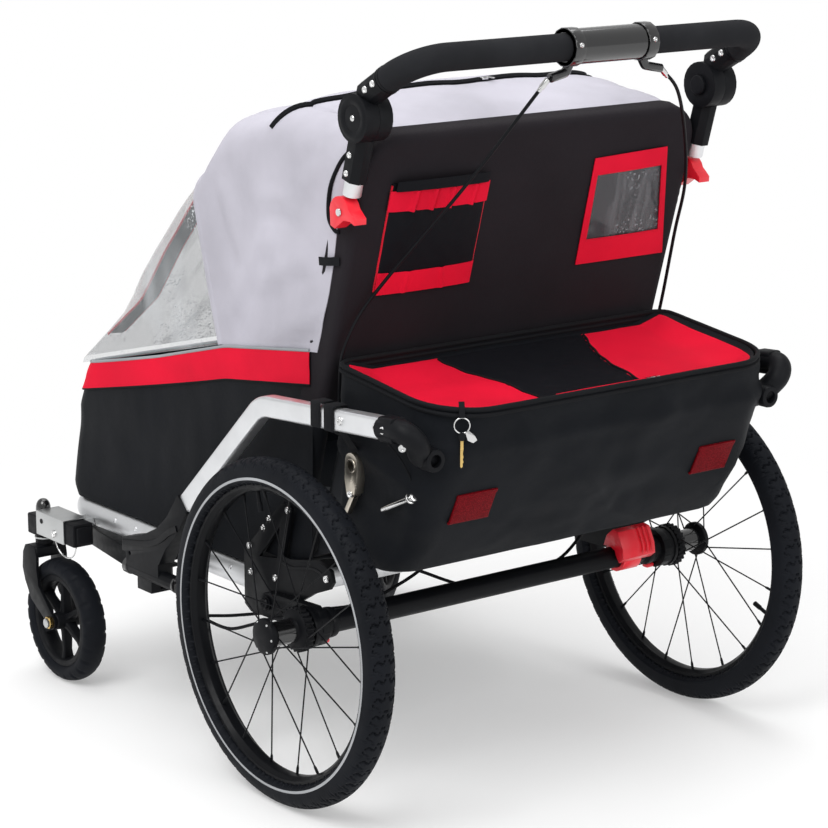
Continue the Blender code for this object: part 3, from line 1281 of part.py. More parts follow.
def build_keys():
    """Ring with a key and a small lock, hanging against the bag's corner."""
    out = Vector((-cos(KEY_TURN), -sin(KEY_TURN), 0))
    across = Vector((out[1], -out[0], 0))
    wire = 0.0010
    rear = along(BAG_REAR, KEY_Z + KEY_RING_RADIUS)
    corner = Vector((BAG_CORNER - BAG_HALF, rear + BAG_CORNER, KEY_Z))
    at = corner + out * (BAG_CORNER + wire + GAP)
    turns = [2 * pi * k / 14 for k in range(14)]
    ring = [at + (across * cos(turn) + Vector((0, 0, sin(turn)))) * KEY_RING_RADIUS for turn in turns]
    ring = swept(ring, round_section(wire, 6), out, closed=True)
    face = Matrix.Translation(at) @ Matrix.Rotation(atan2(across[1], across[0]), 4, "Z")
    bow = box((-0.0040, -0.0011, -0.033), (0.0040, 0.0011, -0.0085), 0.0004)
    blade = box((-0.0022, -0.0006, -0.058), (0.0022, 0.0006, -0.031))
    lock = prism(((-0.0040, -0.0090), (-0.0085, -0.0060), (-0.0175, -0.0140), (-0.0205, -0.0200),
                  (-0.0150, -0.0240), (-0.0075, -0.0205)), "Y", -0.0015, 0.0015)
    for piece in (bow, blade, lock):
        piece.transform(face)
    place("key_ring", union(ring, bow, blade, lock), "bright_steel")


# Cables

def smooth_route(points, count):
    """Even points on a smooth curve through a route's own points."""
    points = [Vector(p) for p in points]
    ends = [points[0] * 2 - points[1]] + points + [points[-1] * 2 - points[-2]]
    fine = []
    for k in range(1, len(ends) - 2):
        p0, p1, p2, p3 = ends[k - 1:k + 3]
        for n in range(24):
            t = n / 24
            fine.append(0.5 * (2 * p1 + (p2 - p0) * t + (2 * p0 - 5 * p1 + 4 * p2 - p3) * t * t
                               + (3 * p1 - p0 - 3 * p2 + p3) * t ** 3))
    fine.append(points[-1])
    marks = [0.0]
    for a, b in zip(fine, fine[1:]):
        marks.append(marks[-1] + (b - a).length)
    route, k = [], 0
    for n in range(count):
        goal = marks[-1] * n / (count - 1)
        while k < len(marks) - 2 and marks[k + 1] < goal:
            k += 1
        share = (goal - marks[k]) / max(marks[k + 1] - marks[k], 1e-9)
        route.append(fine[k].lerp(fine[k + 1], min(1.0, share)))
    return route


def place_cord(name, route, radius, material):
    """Round cord along a route, as a curve with filled ends."""
    curve = bpy.data.curves.new(name, "CURVE")
    curve.dimensions = "3D"
    curve.bevel_depth = radius
    curve.bevel_resolution = 2
    curve.use_fill_caps = True
    spline = curve.splines.new("POLY")
    spline.points.add(len(route) - 1)
    for point, at in zip(spline.points, route):
        point.co = (*at, 1.0)
    curve.materials.append(MATERIALS[material])
    item = bpy.data.objects.new(name, curve)
    item.parent = DATUM
    bpy.context.scene.collection.objects.link(item)
    return item


def build_cables():
    y, z = GRIP_CENTRE
    left_lug = (BRAKE_X[0] - 0.0375, y + 0.001, z - 0.0422)
    left = [left_lug, (-0.170, -0.150, 0.884), (-0.2545, -0.0585, 0.733), (-0.288, -0.038, 0.670),
            (-0.2930, -0.0215, 0.610), (-0.268, 0.000, 0.500), (-0.180, 0.018, 0.390), (-0.105, 0.026,
            0.330),
            (-0.100, 0.026, 0.298), (-0.158, 0.029, 0.2700), (-0.215, 0.055, 0.2450), (-0.270, 0.150,
            0.2230),
            (-0.305, 0.235, 0.2020), (-0.3300, 0.275, 0.1955), (-0.3360, 0.245, 0.1940), (-0.336,
            0.197, 0.1970),
            (-0.336, 0.140, 0.2180), (-0.3365, 0.082, 0.2420), (-0.3365, 0.0318, 0.2510)]
    place_cord("brake_cable_L", smooth_route(left, 54), CABLE_RADIUS, "black_plastic")
    right_lug = (BRAKE_X[1] + 0.0362, y - 0.0005, z - 0.0405)
    right = [right_lug, (0.160, -0.205, 0.990), (0.218, -0.160, 0.918), (0.262, -0.115, 0.838),
             (0.284, -0.072, 0.760), (0.294, -0.038, 0.660), (0.2930, -0.0215, 0.600), (0.280, 0.005,
             0.480),
             (0.240, 0.026, 0.340), (0.184, 0.030, 0.274), (0.137, 0.031, 0.2490), (0.055, 0.031, 0.2360),
             (-0.027, 0.031, 0.2460), (-0.124, 0.032, 0.2890), (-0.200, 0.036, 0.318), (-0.262, 0.042,
             0.330),
             (-0.3112, 0.045, 0.333)]
    place_cord("brake_cable_R", smooth_route(right, 50), CABLE_RADIUS, "black_plastic")


def main():
    build_frame()
    build_tub()
    build_canopy()
    build_seats()
    build_axle()
    for side in (LEFT, RIGHT):
        build_wheel(side)
        build_caster(side)
    build_hoops()
    build_panel()
    build_handle()
    build_bag()
    build_tow_arm()
    build_hitch()
    build_cables()


for old in list(bpy.data.objects):
    bpy.data.objects.remove(old)
MATERIALS = make_materials()
DATUM = bpy.data.objects.new("axle_datum", None)
DATUM.location = (0.0, DATUM_Y, 0.0)
bpy.context.scene.collection.objects.link(DATUM)
main()
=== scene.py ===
"""Looks of a two-seat child bike trailer, dressed over its own solids.

Lengths are in metres, Z is up, +Y is forward and -X is the trailer's left side. Shapes are written with Y
measured from the rear axle, and are moved to the middle of the trailer's outline when they are placed.
"""

import json
import logging
import math
from dataclasses import dataclass
from enum import Enum
from typing import Callable, Iterable, Optional, Sequence

import bmesh
import bpy
import numpy as np
from mathutils import Matrix, Vector, noise

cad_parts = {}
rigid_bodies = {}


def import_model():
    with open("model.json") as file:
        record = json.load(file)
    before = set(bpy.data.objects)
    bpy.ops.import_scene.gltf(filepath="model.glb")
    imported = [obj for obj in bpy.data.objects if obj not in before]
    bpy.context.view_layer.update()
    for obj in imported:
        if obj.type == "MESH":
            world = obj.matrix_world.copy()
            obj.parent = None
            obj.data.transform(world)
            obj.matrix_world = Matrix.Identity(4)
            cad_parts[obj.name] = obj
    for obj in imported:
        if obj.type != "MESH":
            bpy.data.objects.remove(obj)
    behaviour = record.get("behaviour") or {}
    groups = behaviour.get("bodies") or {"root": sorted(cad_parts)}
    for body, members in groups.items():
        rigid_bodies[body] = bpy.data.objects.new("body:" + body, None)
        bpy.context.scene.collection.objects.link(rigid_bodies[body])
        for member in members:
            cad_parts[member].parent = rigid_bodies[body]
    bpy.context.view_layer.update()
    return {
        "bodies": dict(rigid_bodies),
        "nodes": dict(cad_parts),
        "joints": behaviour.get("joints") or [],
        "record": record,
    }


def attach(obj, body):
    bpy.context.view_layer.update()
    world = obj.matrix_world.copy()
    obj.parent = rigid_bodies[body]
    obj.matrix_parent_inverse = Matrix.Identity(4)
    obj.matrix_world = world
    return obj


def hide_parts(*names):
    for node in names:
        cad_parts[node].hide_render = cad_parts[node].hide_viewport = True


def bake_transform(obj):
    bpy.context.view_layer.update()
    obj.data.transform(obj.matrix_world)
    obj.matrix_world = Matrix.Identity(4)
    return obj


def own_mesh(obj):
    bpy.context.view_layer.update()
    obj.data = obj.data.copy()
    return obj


LOG = logging.getLogger("trailer")
AXLE_Y = -0.23935
LEFT, RIGHT = -1, 1
Point = Sequence[float]


# Materials


class Graph:
    """Shorthand for writing one material's nodes."""

    def __init__(self, name: str) -> None:
        """Starts a material with a plain shader.

        Args:
            name: the material's name, without its ending.
        """
        self.material = bpy.data.materials.new(name + "_look")
        self.material.use_nodes = True
        self.tree = self.material.node_tree
        self.shader = self.tree.nodes["Principled BSDF"]

    def node(self, kind: str, **values: object) -> bpy.types.Node:
        """Adds a node.

        Args:
            kind: the node's type, without its ShaderNode prefix.
            values: properties, or inputs by name with underscores for spaces. A linked input takes a socket.

        Returns:
            The new node.
        """
        made = self.tree.nodes.new("ShaderNode" + kind)
        for key, value in values.items():
            if key in made.bl_rna.properties:
                setattr(made, key, value)
        for key, value in values.items():
            if key in made.bl_rna.properties:
                continue
            counted = key[0] == "i" and key[1:].isdigit()
            socket = made.inputs[int(key[1:]) if counted else key.replace("_", " ")]
            if isinstance(value, bpy.types.NodeSocket):
                self.tree.links.new(value, socket)
            else:
                socket.default_value = value
        return made

    def link(self, source: bpy.types.NodeSocket, name: str) -> None:
        """Feeds one of the shader's inputs."""
        self.tree.links.new(source, self.shader.inputs[name])

    def set(self, **values: object) -> None:
        """Sets the shader's own numbers, by name with underscores for spaces."""
        for key, value in values.items():
            self.shader.inputs[key.replace("_", " ")].default_value = value

    def place(self, uv: bool = False) -> bpy.types.NodeSocket:
        """The coordinates a pattern is laid by."""
        return self.node("TexCoord").outputs["UV" if uv else "Object"]

    def noise(self, at: bpy.types.NodeSocket, scale: float, detail: float = 3.0) -> bpy.types.NodeSocket:
        """Fractal noise of a number of cells for each metre."""
        return self.node("TexNoise", Vector=at, Scale=scale, Detail=detail).outputs["Fac"]

    def stretch(self, at: bpy.types.NodeSocket, scale: Point,
                turn: Point = (0, 0, 0)) -> bpy.types.NodeSocket:
        """Coordinates stretched along the axes and turned."""
        return self.node("Mapping", Vector=at, Scale=scale, Rotation=turn).outputs["Vector"]

    def tint(self, fac: bpy.types.NodeSocket, dark: Point, light: Point, low: float = 0.3,
             high: float = 0.7) -> bpy.types.NodeSocket:
        """Colour between two, by a factor.

        Args:
            fac: the factor.
            dark: colour at its low end.
            light: colour at its high end.
            low: factor where the dark colour ends.
            high: factor where the light colour starts.

        Returns:
            The colour.
        """
        ramp = self.node("ValToRGB", Fac=fac)
        ramp.color_ramp.elements[0].position = low
        ramp.color_ramp.elements[1].position = high
        ramp.color_ramp.elements[0].color = (*dark, 1.0)
        ramp.color_ramp.elements[1].color = (*light, 1.0)
        return ramp.outputs["Color"]

    def span(self, fac: bpy.types.NodeSocket, low: float, high: float) -> bpy.types.NodeSocket:
        """A factor's middle part mapped to a range."""
        return self.node("MapRange", Value=fac, From_Min=0.3, From_Max=0.7, To_Min=low,
                         To_Max=high).outputs["Result"]

    def maths(self, operation: str, *values: object) -> bpy.types.NodeSocket:
        """One step of arithmetic.

        Args:
            operation: the node's operation.
            values: numbers or sockets, in order.

        Returns:
            The result.
        """
        made = self.node("Math", operation=operation)
        for k, value in enumerate(values):
            if isinstance(value, bpy.types.NodeSocket):
                self.tree.links.new(value, made.inputs[k])
            else:
                made.inputs[k].default_value = value
        return made.outputs[0]

    def bump(self, height: bpy.types.NodeSocket, depth: float, strength: float = 1.0,
             under: Optional[bpy.types.NodeSocket] = None) -> bpy.types.NodeSocket:
        """Surface relief of a depth in metres, laid over another relief.

        Args:
            height: the relief.
            depth: its depth in metres.
            strength: how much of it shows.
            under: relief that it lies on.

        Returns:
            The bent normal.
        """
        made = self.node("Bump", Height=height, Distance=depth, Strength=strength)
        if under is not None:
            self.tree.links.new(under, made.inputs["Normal"])
        return made.outputs["Normal"]


def shade(colour: Point, share: float) -> tuple[float, ...]:
    """A colour made lighter or darker by a share."""
    return tuple(min(1.0, c * share) for c in colour)


@dataclass(frozen=True)
class Metal:
    """Plated, brushed or anodised metal, with fine drawn lines and a few rub marks."""

    name: str
    colour: Point
    roughness: float
    lines: Point = (900.0, 40.0, 900.0)
    depth: float = 0.00006

    def build(self) -> bpy.types.Material:
        """Makes the material.

        Returns:
            The material.
        """
        g = Graph(self.name)
        at = g.place()
        drawn = g.noise(g.stretch(at, self.lines), 1.0, 4.0)
        rubs = g.noise(at, 23.0, 6.0)
        g.link(g.tint(rubs, shade(self.colour, 0.93), shade(self.colour, 1.03)), "Base Color")
        g.link(g.span(g.noise(at, 60.0, 5.0), self.roughness * 0.88, self.roughness * 1.12), "Roughness")
        g.link(g.bump(drawn, self.depth, 0.6), "Normal")
        g.set(Metallic=1.0, Coat_Weight=0.12, Coat_Roughness=0.2)
        return g.material


@dataclass(frozen=True)
class Moulded:
    """Moulded plastic or stoved paint, with a fine pebble grain and paler rubbed patches."""

    name: str
    colour: Point
    roughness: float
    grain: float = 1500.0
    depth: float = 0.00012
    coat: float = 0.0
    lustre: float = 0.5

    def build(self) -> bpy.types.Material:
        """Makes the material.

        Returns:
            The material.
        """
        g = Graph(self.name)
        at = g.place()
        pebble = g.node("TexVoronoi", Vector=at, Scale=self.grain, feature="SMOOTH_F1").outputs["Distance"]
        patches = g.noise(at, 14.0, 6.0)
        g.link(g.tint(patches, shade(self.colour, 0.86), shade(self.colour, 1.18)), "Base Color")
        g.link(g.span(g.noise(at, 90.0, 6.0), self.roughness * 0.85, self.roughness * 1.18), "Roughness")
        g.link(g.bump(pebble, self.depth, 0.5), "Normal")
        g.set(Coat_Weight=self.coat, Coat_Roughness=0.12, Specular_IOR_Level=self.lustre)
        return g.material


@dataclass(frozen=True)
class Rubber:
    """Tyre rubber or foam, matt, with a dusty bloom."""

    name: str
    colour: Point
    roughness: float
    cell: float
    depth: float

    def build(self) -> bpy.types.Material:
        """Makes the material.

        Returns:
            The material.
        """
        g = Graph(self.name)
        at = g.place()
        bloom = g.noise(at, 9.0, 8.0)
        cells = g.node("TexVoronoi", Vector=at, Scale=self.cell).outputs["Distance"]
        under = g.bump(g.noise(at, 160.0, 5.0), self.depth * 1.4, 0.5)
        g.link(g.tint(bloom, shade(self.colour, 0.82), shade(self.colour, 1.3)), "Base Color")
        g.link(g.span(g.noise(at, 45.0, 5.0), self.roughness * 0.92, min(1.0, self.roughness * 1.1)),
               "Roughness")
        g.link(g.bump(cells, self.depth, 0.7, under), "Normal")
        g.set(Specular_IOR_Level=0.09)
        return g.material


@dataclass(frozen=True)
class Cloth:
    """Plain woven cloth. Its threads follow the piece's own UV map, which is in metres."""

    name: str
    colour: Point
    roughness: float = 0.86
    pitch: float = 0.0011
    thread: float = 0.00016
    pucker: float = 0.0012
    sheen: float = 0.12
    coat: float = 0.0
    open_weave: float = 0.0
    lustre: float = 0.12

    def build(self) -> bpy.types.Material:
        """Makes the material.

        Returns:
            The material.
        """
        g = Graph(self.name)
        uv = g.node("SeparateXYZ", Vector=g.place(uv=True))
        at = g.place()
        turn = math.pi / self.pitch
        across = g.maths("SINE", g.maths("MULTIPLY", uv.outputs[0], turn))
        along = g.maths("SINE", g.maths("MULTIPLY", uv.outputs[1], turn))
        weave = g.maths("ABSOLUTE", g.maths("MULTIPLY", across, along))
        slub = g.noise(g.stretch(g.place(uv=True), (900.0, 90.0, 1.0)), 1.0, 3.0)
        folds = g.noise(at, 26.0, 5.0)
        under = g.bump(folds, self.pucker, 0.45)
        soft = g.bump(slub, self.thread, 0.5, under)
        mixed = g.maths("MULTIPLY_ADD", weave, 0.22, g.maths("MULTIPLY", g.noise(at, 7.0, 6.0), 0.9))
        g.link(g.tint(mixed, shade(self.colour, 0.86), shade(self.colour, 1.12), 0.32, 0.72), "Base Color")
        g.link(g.span(slub, self.roughness * 0.93, min(1.0, self.roughness * 1.06)), "Roughness")
        g.link(g.bump(weave, self.thread, 0.8, soft), "Normal")
        g.set(Sheen_Weight=self.sheen, Sheen_Roughness=0.45, Coat_Weight=self.coat, Coat_Roughness=0.35,
              Specular_IOR_Level=self.lustre)
        if self.open_weave:
            holes = g.node("MapRange", Value=weave, From_Min=0.55, From_Max=0.75, To_Min=1.0,
                           To_Max=1.0 - self.open_weave)
            g.link(holes.outputs["Result"], "Alpha")
        return g.material


@dataclass(frozen=True)
class Film:
    """Clear flexible film with soft hazy streaks and damp drops; these are more opaque as haze, and their
    whiter colour is a painted highlight.
    """

    name: str
    colour: Point
    clear: float
    hazy: float
    crease: float = 9.0

    def build(self) -> bpy.types.Material:
        """Makes the material.

        Returns:
            The material.
        """
        g = Graph(self.name)
        at = g.place()
        scale = (self.crease * 3.0, self.crease * 1.1, self.crease * 0.4)
        soft = g.noise(g.stretch(at, scale, (0.2, 0.0, 0.0)), 1.0, 2.0)
        streak_haze_and_highlight = g.node("MapRange", Value=soft, From_Min=0.54, From_Max=0.84).outputs["Result"]
        damp = g.node("MapRange", Value=g.noise(at, 9.0, 1.0), From_Min=0.48, From_Max=0.62).outputs["Result"]
        drop = g.node("MapRange", Value=g.noise(at, 230.0, 2.0), From_Min=0.56,
                      From_Max=0.66).outputs["Result"]
        haze_and_painted_highlight = g.maths("MAXIMUM", streak_haze_and_highlight, g.maths("MULTIPLY", damp, drop))
        opacity = g.node("MapRange", Value=haze_and_painted_highlight, From_Min=0.0, From_Max=1.0, To_Min=self.clear,
                         To_Max=self.hazy)
        g.link(opacity.outputs["Result"], "Alpha")
        # Painted highlight: the streaks and drops are coloured up to 1.9 times lighter than the film; their
        # greater opacity above is real haze.
        g.link(g.tint(haze_and_painted_highlight, self.colour, shade(self.colour, 1.9), 0.0, 0.9), "Base Color")
        g.link(g.span(soft, 0.08, 0.22), "Roughness")
        g.link(g.bump(haze_and_painted_highlight, 0.0008, 0.4), "Normal")
        g.set(Coat_Weight=0.3, Coat_Roughness=0.05, Specular_IOR_Level=0.5)
        return g.material


@dataclass(frozen=True)
class Lens:
    """Red reflector with a field of small prisms behind a smooth face, with the facets' shade and glint
    painted into its colour.
    """

    name: str
    colour: Point

    def build(self) -> bpy.types.Material:
        """Makes the material.

        Returns:
            The material.
        """
        g = Graph(self.name)
        at = g.place()
        prism = g.node("TexVoronoi", Vector=at, Scale=420.0, feature="DISTANCE_TO_EDGE").outputs["Distance"]
        # Painted shade and glint: each prism's colour is darker towards its edges and lighter in its middle.
        g.link(g.tint(prism, shade(self.colour, 0.55), shade(self.colour, 1.5), 0.05, 0.4), "Base Color")
        g.link(g.bump(prism, 0.0006, 0.7), "Normal")
        g.link(g.span(g.noise(at, 40.0, 4.0), 0.34, 0.48), "Roughness")
        g.set(Coat_Weight=0.03, Coat_Roughness=0.1, Specular_IOR_Level=0.03)
        return g.material


class Finish(Enum):
    """Every finish on the trailer."""

    ALLOY = Metal("satin_alloy", (0.8, 0.81, 0.825), 0.44)
    ZINC = Metal("zinc_plate", (0.55, 0.56, 0.56), 0.34, (300.0, 300.0, 300.0))
    WARM_METAL = Metal("nickel_coupler", (0.6, 0.55, 0.47), 0.3, (300.0, 300.0, 300.0))
    CHROME = Metal("bright_steel", (0.72, 0.72, 0.72), 0.16, (200.0, 200.0, 200.0), 0.00002)
    BRASS = Metal("brass", (0.72, 0.5, 0.18), 0.25, (200.0, 200.0, 200.0), 0.00002)
    PAINT = Moulded("black_paint", (0.0042, 0.0046, 0.0058), 0.4, 900.0, 0.00005, 0.04, 0.1)
    PLASTIC = Moulded("black_plastic", (0.005, 0.0054, 0.0068), 0.5, lustre=0.12)
    GLOSS = Moulded("gloss_black", (0.006, 0.006, 0.0065), 0.16, 300.0, 0.00003, 0.8)
    RED_PLASTIC = Moulded("red_plastic", (0.78, 0.012, 0.028), 0.34, 1200.0, 0.00006, 0.2)
    TYRE = Rubber("tyre_rubber", (0.0062, 0.0072, 0.0098), 0.58, 700.0, 0.00012)
    FOAM = Rubber("grip_foam", (0.015, 0.0155, 0.0175), 0.88, 1400.0, 0.00022)
    STRIPE = Moulded("tyre_stripe", (0.33, 0.34, 0.355), 0.42, 2200.0, 0.00006)
    BLACK_CLOTH = Cloth("black_cloth", (0.0048, 0.0058, 0.008), 0.6, sheen=0.015, pucker=0.0022,
                        lustre=0.09)
    PANEL_CLOTH = Cloth("panel_cloth", (0.0145, 0.012, 0.015), 0.8, sheen=0.02, pucker=0.0018)
    TAPE = Cloth("black_tape", (0.0065, 0.007, 0.0085), 0.8, 0.0016, 0.0003, 0.0004, sheen=0.02)
    RED_CLOTH = Cloth("red_cloth", (0.72, 0.006, 0.032), 0.8, sheen=0.0)
    GREY_CLOTH = Cloth("grey_cloth", (0.475, 0.462, 0.52), 0.86, sheen=0.02)
    SEAT_CLOTH = Cloth("seat_cloth", (0.06, 0.063, 0.07), 0.92, 0.0016, 0.0003)
    NET = Cloth("bag_net", (0.005, 0.0055, 0.008), 0.8, 0.0022, 0.0003, 0.0008, sheen=0.0, open_weave=0.55)
    PIPING = Cloth("grey_piping", (0.3, 0.32, 0.34), 0.6, 0.0009)
    RED_PIPING = Cloth("red_piping", (0.62, 0.01, 0.028), 0.7, 0.0009)
    FILM = Film("clear_film", (0.37, 0.385, 0.4), 0.23, 0.56)
    POCKET_FILM = Film("pocket_film", (0.11, 0.112, 0.122), 0.34, 0.8, 14.0)
    LENS = Lens("red_lens", (0.17, 0.003, 0.007))

    def material(self) -> bpy.types.Material:
        """The finish's material, built once."""
        return bpy.data.materials.get(self.value.name + "_look") or self.value.build()


# Mesh helpers


def linked(name: str, data: bpy.types.ID) -> bpy.types.Object:
    """A new object of the scene.

    Args:
        name: the object's name.
        data: its mesh, curve, lamp or camera.

    Returns:
        The object, linked to the scene.
    """
    item = bpy.data.objects.new(name, data)
    bpy.context.scene.collection.objects.link(item)
    return item


def repaired(mesh: bpy.types.Mesh, merge: float = 0.0, turn: bool = True) -> bpy.types.Mesh:
    """Joins a mesh's doubled points and turns its faces outward, in place.

    Args:
        mesh: the mesh.
        merge: distance within which points are joined, or none.
        turn: whether the faces are turned outward.

    Returns:
        The same mesh.
    """
    work = bmesh.new()
    work.from_mesh(mesh)
    if merge:
        bmesh.ops.remove_doubles(work, verts=work.verts, dist=merge)
    if turn:
        bmesh.ops.recalc_face_normals(work, faces=work.faces)
    work.to_mesh(mesh)
    work.free()
    return mesh


def mesh_from(verts: Iterable[Point], faces: Iterable[Sequence[int]]) -> bpy.types.Mesh:
    """Mesh with doubled points joined and its faces turned outward.

    Args:
        verts: its points.
        faces: point numbers of each face.

    Returns:
        The mesh.
    """
    mesh = bpy.data.meshes.new("shape")
    mesh.from_pydata([tuple(v) for v in verts], [], [list(f) for f in faces])
    return repaired(mesh, 1e-6)


class Axis(Enum):
    """Way that a turned or pushed shape runs."""

    X = "X"
    Y = "Y"
    Z = "Z"


def axis_point(across: float, up: float, along: float, axis: Axis) -> tuple[float, float, float]:
    """Point of a turned shape, with its axis along X, Y or Z."""
    return {Axis.X: (along, across, up), Axis.Y: (across, along, up), Axis.Z: (across, up, along)}[axis]


def turned(profile: Sequence[Point], sides: int, centre: Point, axis: Axis = Axis.X) -> bpy.types.Mesh:
    """Turns a profile round an axis.

    Args:
        profile: (radius, distance along the axis) points. It is closed unless it starts and ends on the axis.
        sides: points round the axis.
        centre: where the axis stands.
        axis: the axis.

    Returns:
        The turned mesh.
    """
    rows, verts = [], []
    for radius, along in profile:
        if radius < 1e-6:
            rows.append([len(verts)] * sides)
            verts.append(axis_point(0.0, 0.0, along, axis))
            continue
        row = []
        for k in range(sides):
            angle = 2 * math.pi * k / sides
            row.append(len(verts))
            verts.append(axis_point(radius * math.cos(angle), radius * math.sin(angle), along, axis))
        rows.append(row)
    pairs = list(zip(rows, rows[1:]))
    if profile[0][0] > 1e-6:
        pairs.append((rows[-1], rows[0]))
    faces = []
    for low, high in pairs:
        for k in range(sides):
            corners = (low[k], low[(k + 1) % sides], high[(k + 1) % sides], high[k])
            face = list(dict.fromkeys(corners))
            if len(face) > 2:
                faces.append(face)
    mesh = bpy.data.meshes.new("shape")
    mesh.from_pydata(verts, [], faces)
    repaired(mesh)
    mesh.transform(Matrix.Translation(centre))
    return mesh


def mirrored(profile: Sequence[Point], side: int) -> list[Point]:
    """A turned shape's profile, written outward, for one side of the trailer."""
    return [(radius, side * along) for radius, along in profile]


def rod(radius: float, low: float, high: float, centre: Point, axis: Axis = Axis.X, sides: int = 32,
        ease: float = 0.0006) -> bpy.types.Mesh:
    """Round bar along an axis with eased ends."""
    return turned(((0, low), (radius - ease, low), (radius, low + ease), (radius, high - ease),
                   (radius - ease, high), (0, high)), sides, centre, axis)


def circle(radius: float, sides: int) -> list[tuple[float, float]]:
    """Round section."""
    return [(radius * math.cos(2 * math.pi * k / sides), radius * math.sin(2 * math.pi * k / sides))
            for k in range(sides)]


def oblong(width: float, height: float, corner: float, steps: int = 4) -> list[tuple[float, float]]:
    """Section with rounded corners.

    Args:
        width: size across.
        height: size up.
        corner: radius of the corners.
        steps: pieces of each corner.

    Returns:
        The (across, up) points.
    """
    points = []
    for quarter, (sx, sy) in enumerate(((1, 1), (-1, 1), (-1, -1), (1, -1))):
        for k in range(steps + 1):
            angle = (quarter + k / steps) * math.pi / 2
            points.append((sx * (width / 2 - corner) + corner * math.cos(angle),
                           sy * (height / 2 - corner) + corner * math.sin(angle)))
    return points


def rounded(points: Sequence[Point], bend: float | Sequence[float], closed: bool = False,
            step: float = 5.0) -> list[Vector]:
    """Corner points joined by straight runs and arcs.

    Args:
        points: the corners.
        bend: one bend radius, or one for each corner.
        closed: whether the path returns to its start.
        step: degrees of turn for each piece of an arc.

    Returns:
        Points of the path.
    """
    points = [Vector(p) for p in points]
    count, path = len(points), []
    for k, corner in enumerate(points):
        if not closed and k in (0, count - 1):
            path.append(corner)
            continue
        radius = bend[k] if isinstance(bend, (list, tuple)) else bend
        before = (points[k - 1] - corner).normalized()
        after = (points[(k + 1) % count] - corner).normalized()
        opening = before.angle(after)
        if radius <= 0 or math.pi - opening < 0.02:
            path.append(corner)
            continue
        reach = radius / math.tan(opening / 2)
        middle = corner + (before + after).normalized() * radius / math.sin(opening / 2)
        start, end = corner + before * reach - middle, corner + after * reach - middle
        turn = math.pi - opening
        pieces = max(2, math.ceil(turn / math.radians(step)))
        for n in range(pieces + 1):
            share = n / pieces
            blend = start * math.sin((1 - share) * turn) + end * math.sin(share * turn)
            path.append(middle + blend / math.sin(turn))
    return path


def curve_through(points: Sequence[Point], count: int) -> list[Vector]:
    """Even points on a smooth curve through a few points.

    Args:
        points: points to pass.
        count: how many points to return.

    Returns:
        The even points.
    """
    points = [Vector(p) for p in points]
    ends = [points[0] * 2 - points[1]] + points + [points[-1] * 2 - points[-2]]
    fine = []
    for k in range(1, len(ends) - 2):
        p0, p1, p2, p3 = ends[k - 1:k + 3]
        for n in range(24):
            t = n / 24
            fine.append(0.5 * (2 * p1 + (p2 - p0) * t + (2 * p0 - 5 * p1 + 4 * p2 - p3) * t * t
                               + (3 * p1 - p0 - 3 * p2 + p3) * t ** 3))
    fine.append(points[-1])
    marks = [0.0]
    for a, b in zip(fine, fine[1:]):
        marks.append(marks[-1] + (b - a).length)
    route, k = [], 0
    for n in range(count):
        goal = marks[-1] * n / (count - 1)
        while k < len(marks) - 2 and marks[k + 1] < goal:
            k += 1
        share = (goal - marks[k]) / max(marks[k + 1] - marks[k], 1e-9)
        route.append(fine[k].lerp(fine[k + 1], min(1.0, share)))
    return route


def resampled(path: Sequence[Point], count: int) -> list[Vector]:
    """Even points along a path's own straight pieces.

    Args:
        path: the path.
        count: how many points to return.

    Returns:
        The even points.
    """
    path = np.array([tuple(p) for p in path])
    marks = np.concatenate([[0.0], np.cumsum(np.linalg.norm(np.diff(path, axis=0), axis=1))])
    goals = np.linspace(0, marks[-1], count)
    return [Vector(p) for p in np.stack([np.interp(goals, marks, path[:, k]) for k in range(3)], axis=1)]


def swept(path: Sequence[Point], section: Sequence[Point], hint: Point, closed: bool = False,
          scales: Optional[Sequence[float]] = None) -> bpy.types.Mesh:
    """Pushes a section along a path, with a UV map in metres.

    Args:
        path: the path's points.
        section: flat (across, up) points.
        hint: direction the section's first value is square to.
        closed: whether the path returns to its start.
        scales: size of the section at each point.

    Returns:
        The swept mesh, capped at open ends.
    """
    path = [Vector(p) for p in path]
    count, size = len(path), len(section)
    hint = Vector(hint)
    verts, faces = [], []
    across = last = None
    for k, point in enumerate(path):
        before = path[k - 1] if closed or k else path[0]
        after = path[(k + 1) % count] if closed or k < count - 1 else path[-1]
        tangent = (after - before).normalized()
        if closed or k == 0:
            across = hint.cross(tangent).normalized()
        else:
            across = last.rotation_difference(tangent) @ across
        last = tangent
        up = tangent.cross(across)
        scale = scales[k] if scales else 1.0
        verts.extend(point + across * a * scale + up * b * scale for a, b in section)
    for k in range(count if closed else count - 1):
        low, high = k * size, ((k + 1) % count) * size
        faces.extend([low + n, low + (n + 1) % size, high + (n + 1) % size, high + n] for n in range(size))
    if not closed:
        faces.append(list(range(size)))
        faces.append(list(range((count - 1) * size, count * size)))
    mesh = bpy.data.meshes.new("shape")
    mesh.from_pydata([tuple(v) for v in verts], [], faces)
    marks = [0.0]
    for a, b in zip(path, path[1:] + path[:1]):
        marks.append(marks[-1] + (b - a).length)
    girth = [0.0]
    for a, b in zip(section, list(section[1:]) + [section[0]]):
        girth.append(girth[-1] + math.dist(a, b))
    layer = mesh.uv_layers.new(name="UVMap")
    slot = 0
    for k in range(count if closed else count - 1):
        for n in range(size):
            for u, v in ((n, k), (n + 1, k), (n + 1, k + 1), (n, k + 1)):
                layer.data[slot].uv = (girth[u], marks[v])
                slot += 1
    return repaired(mesh)


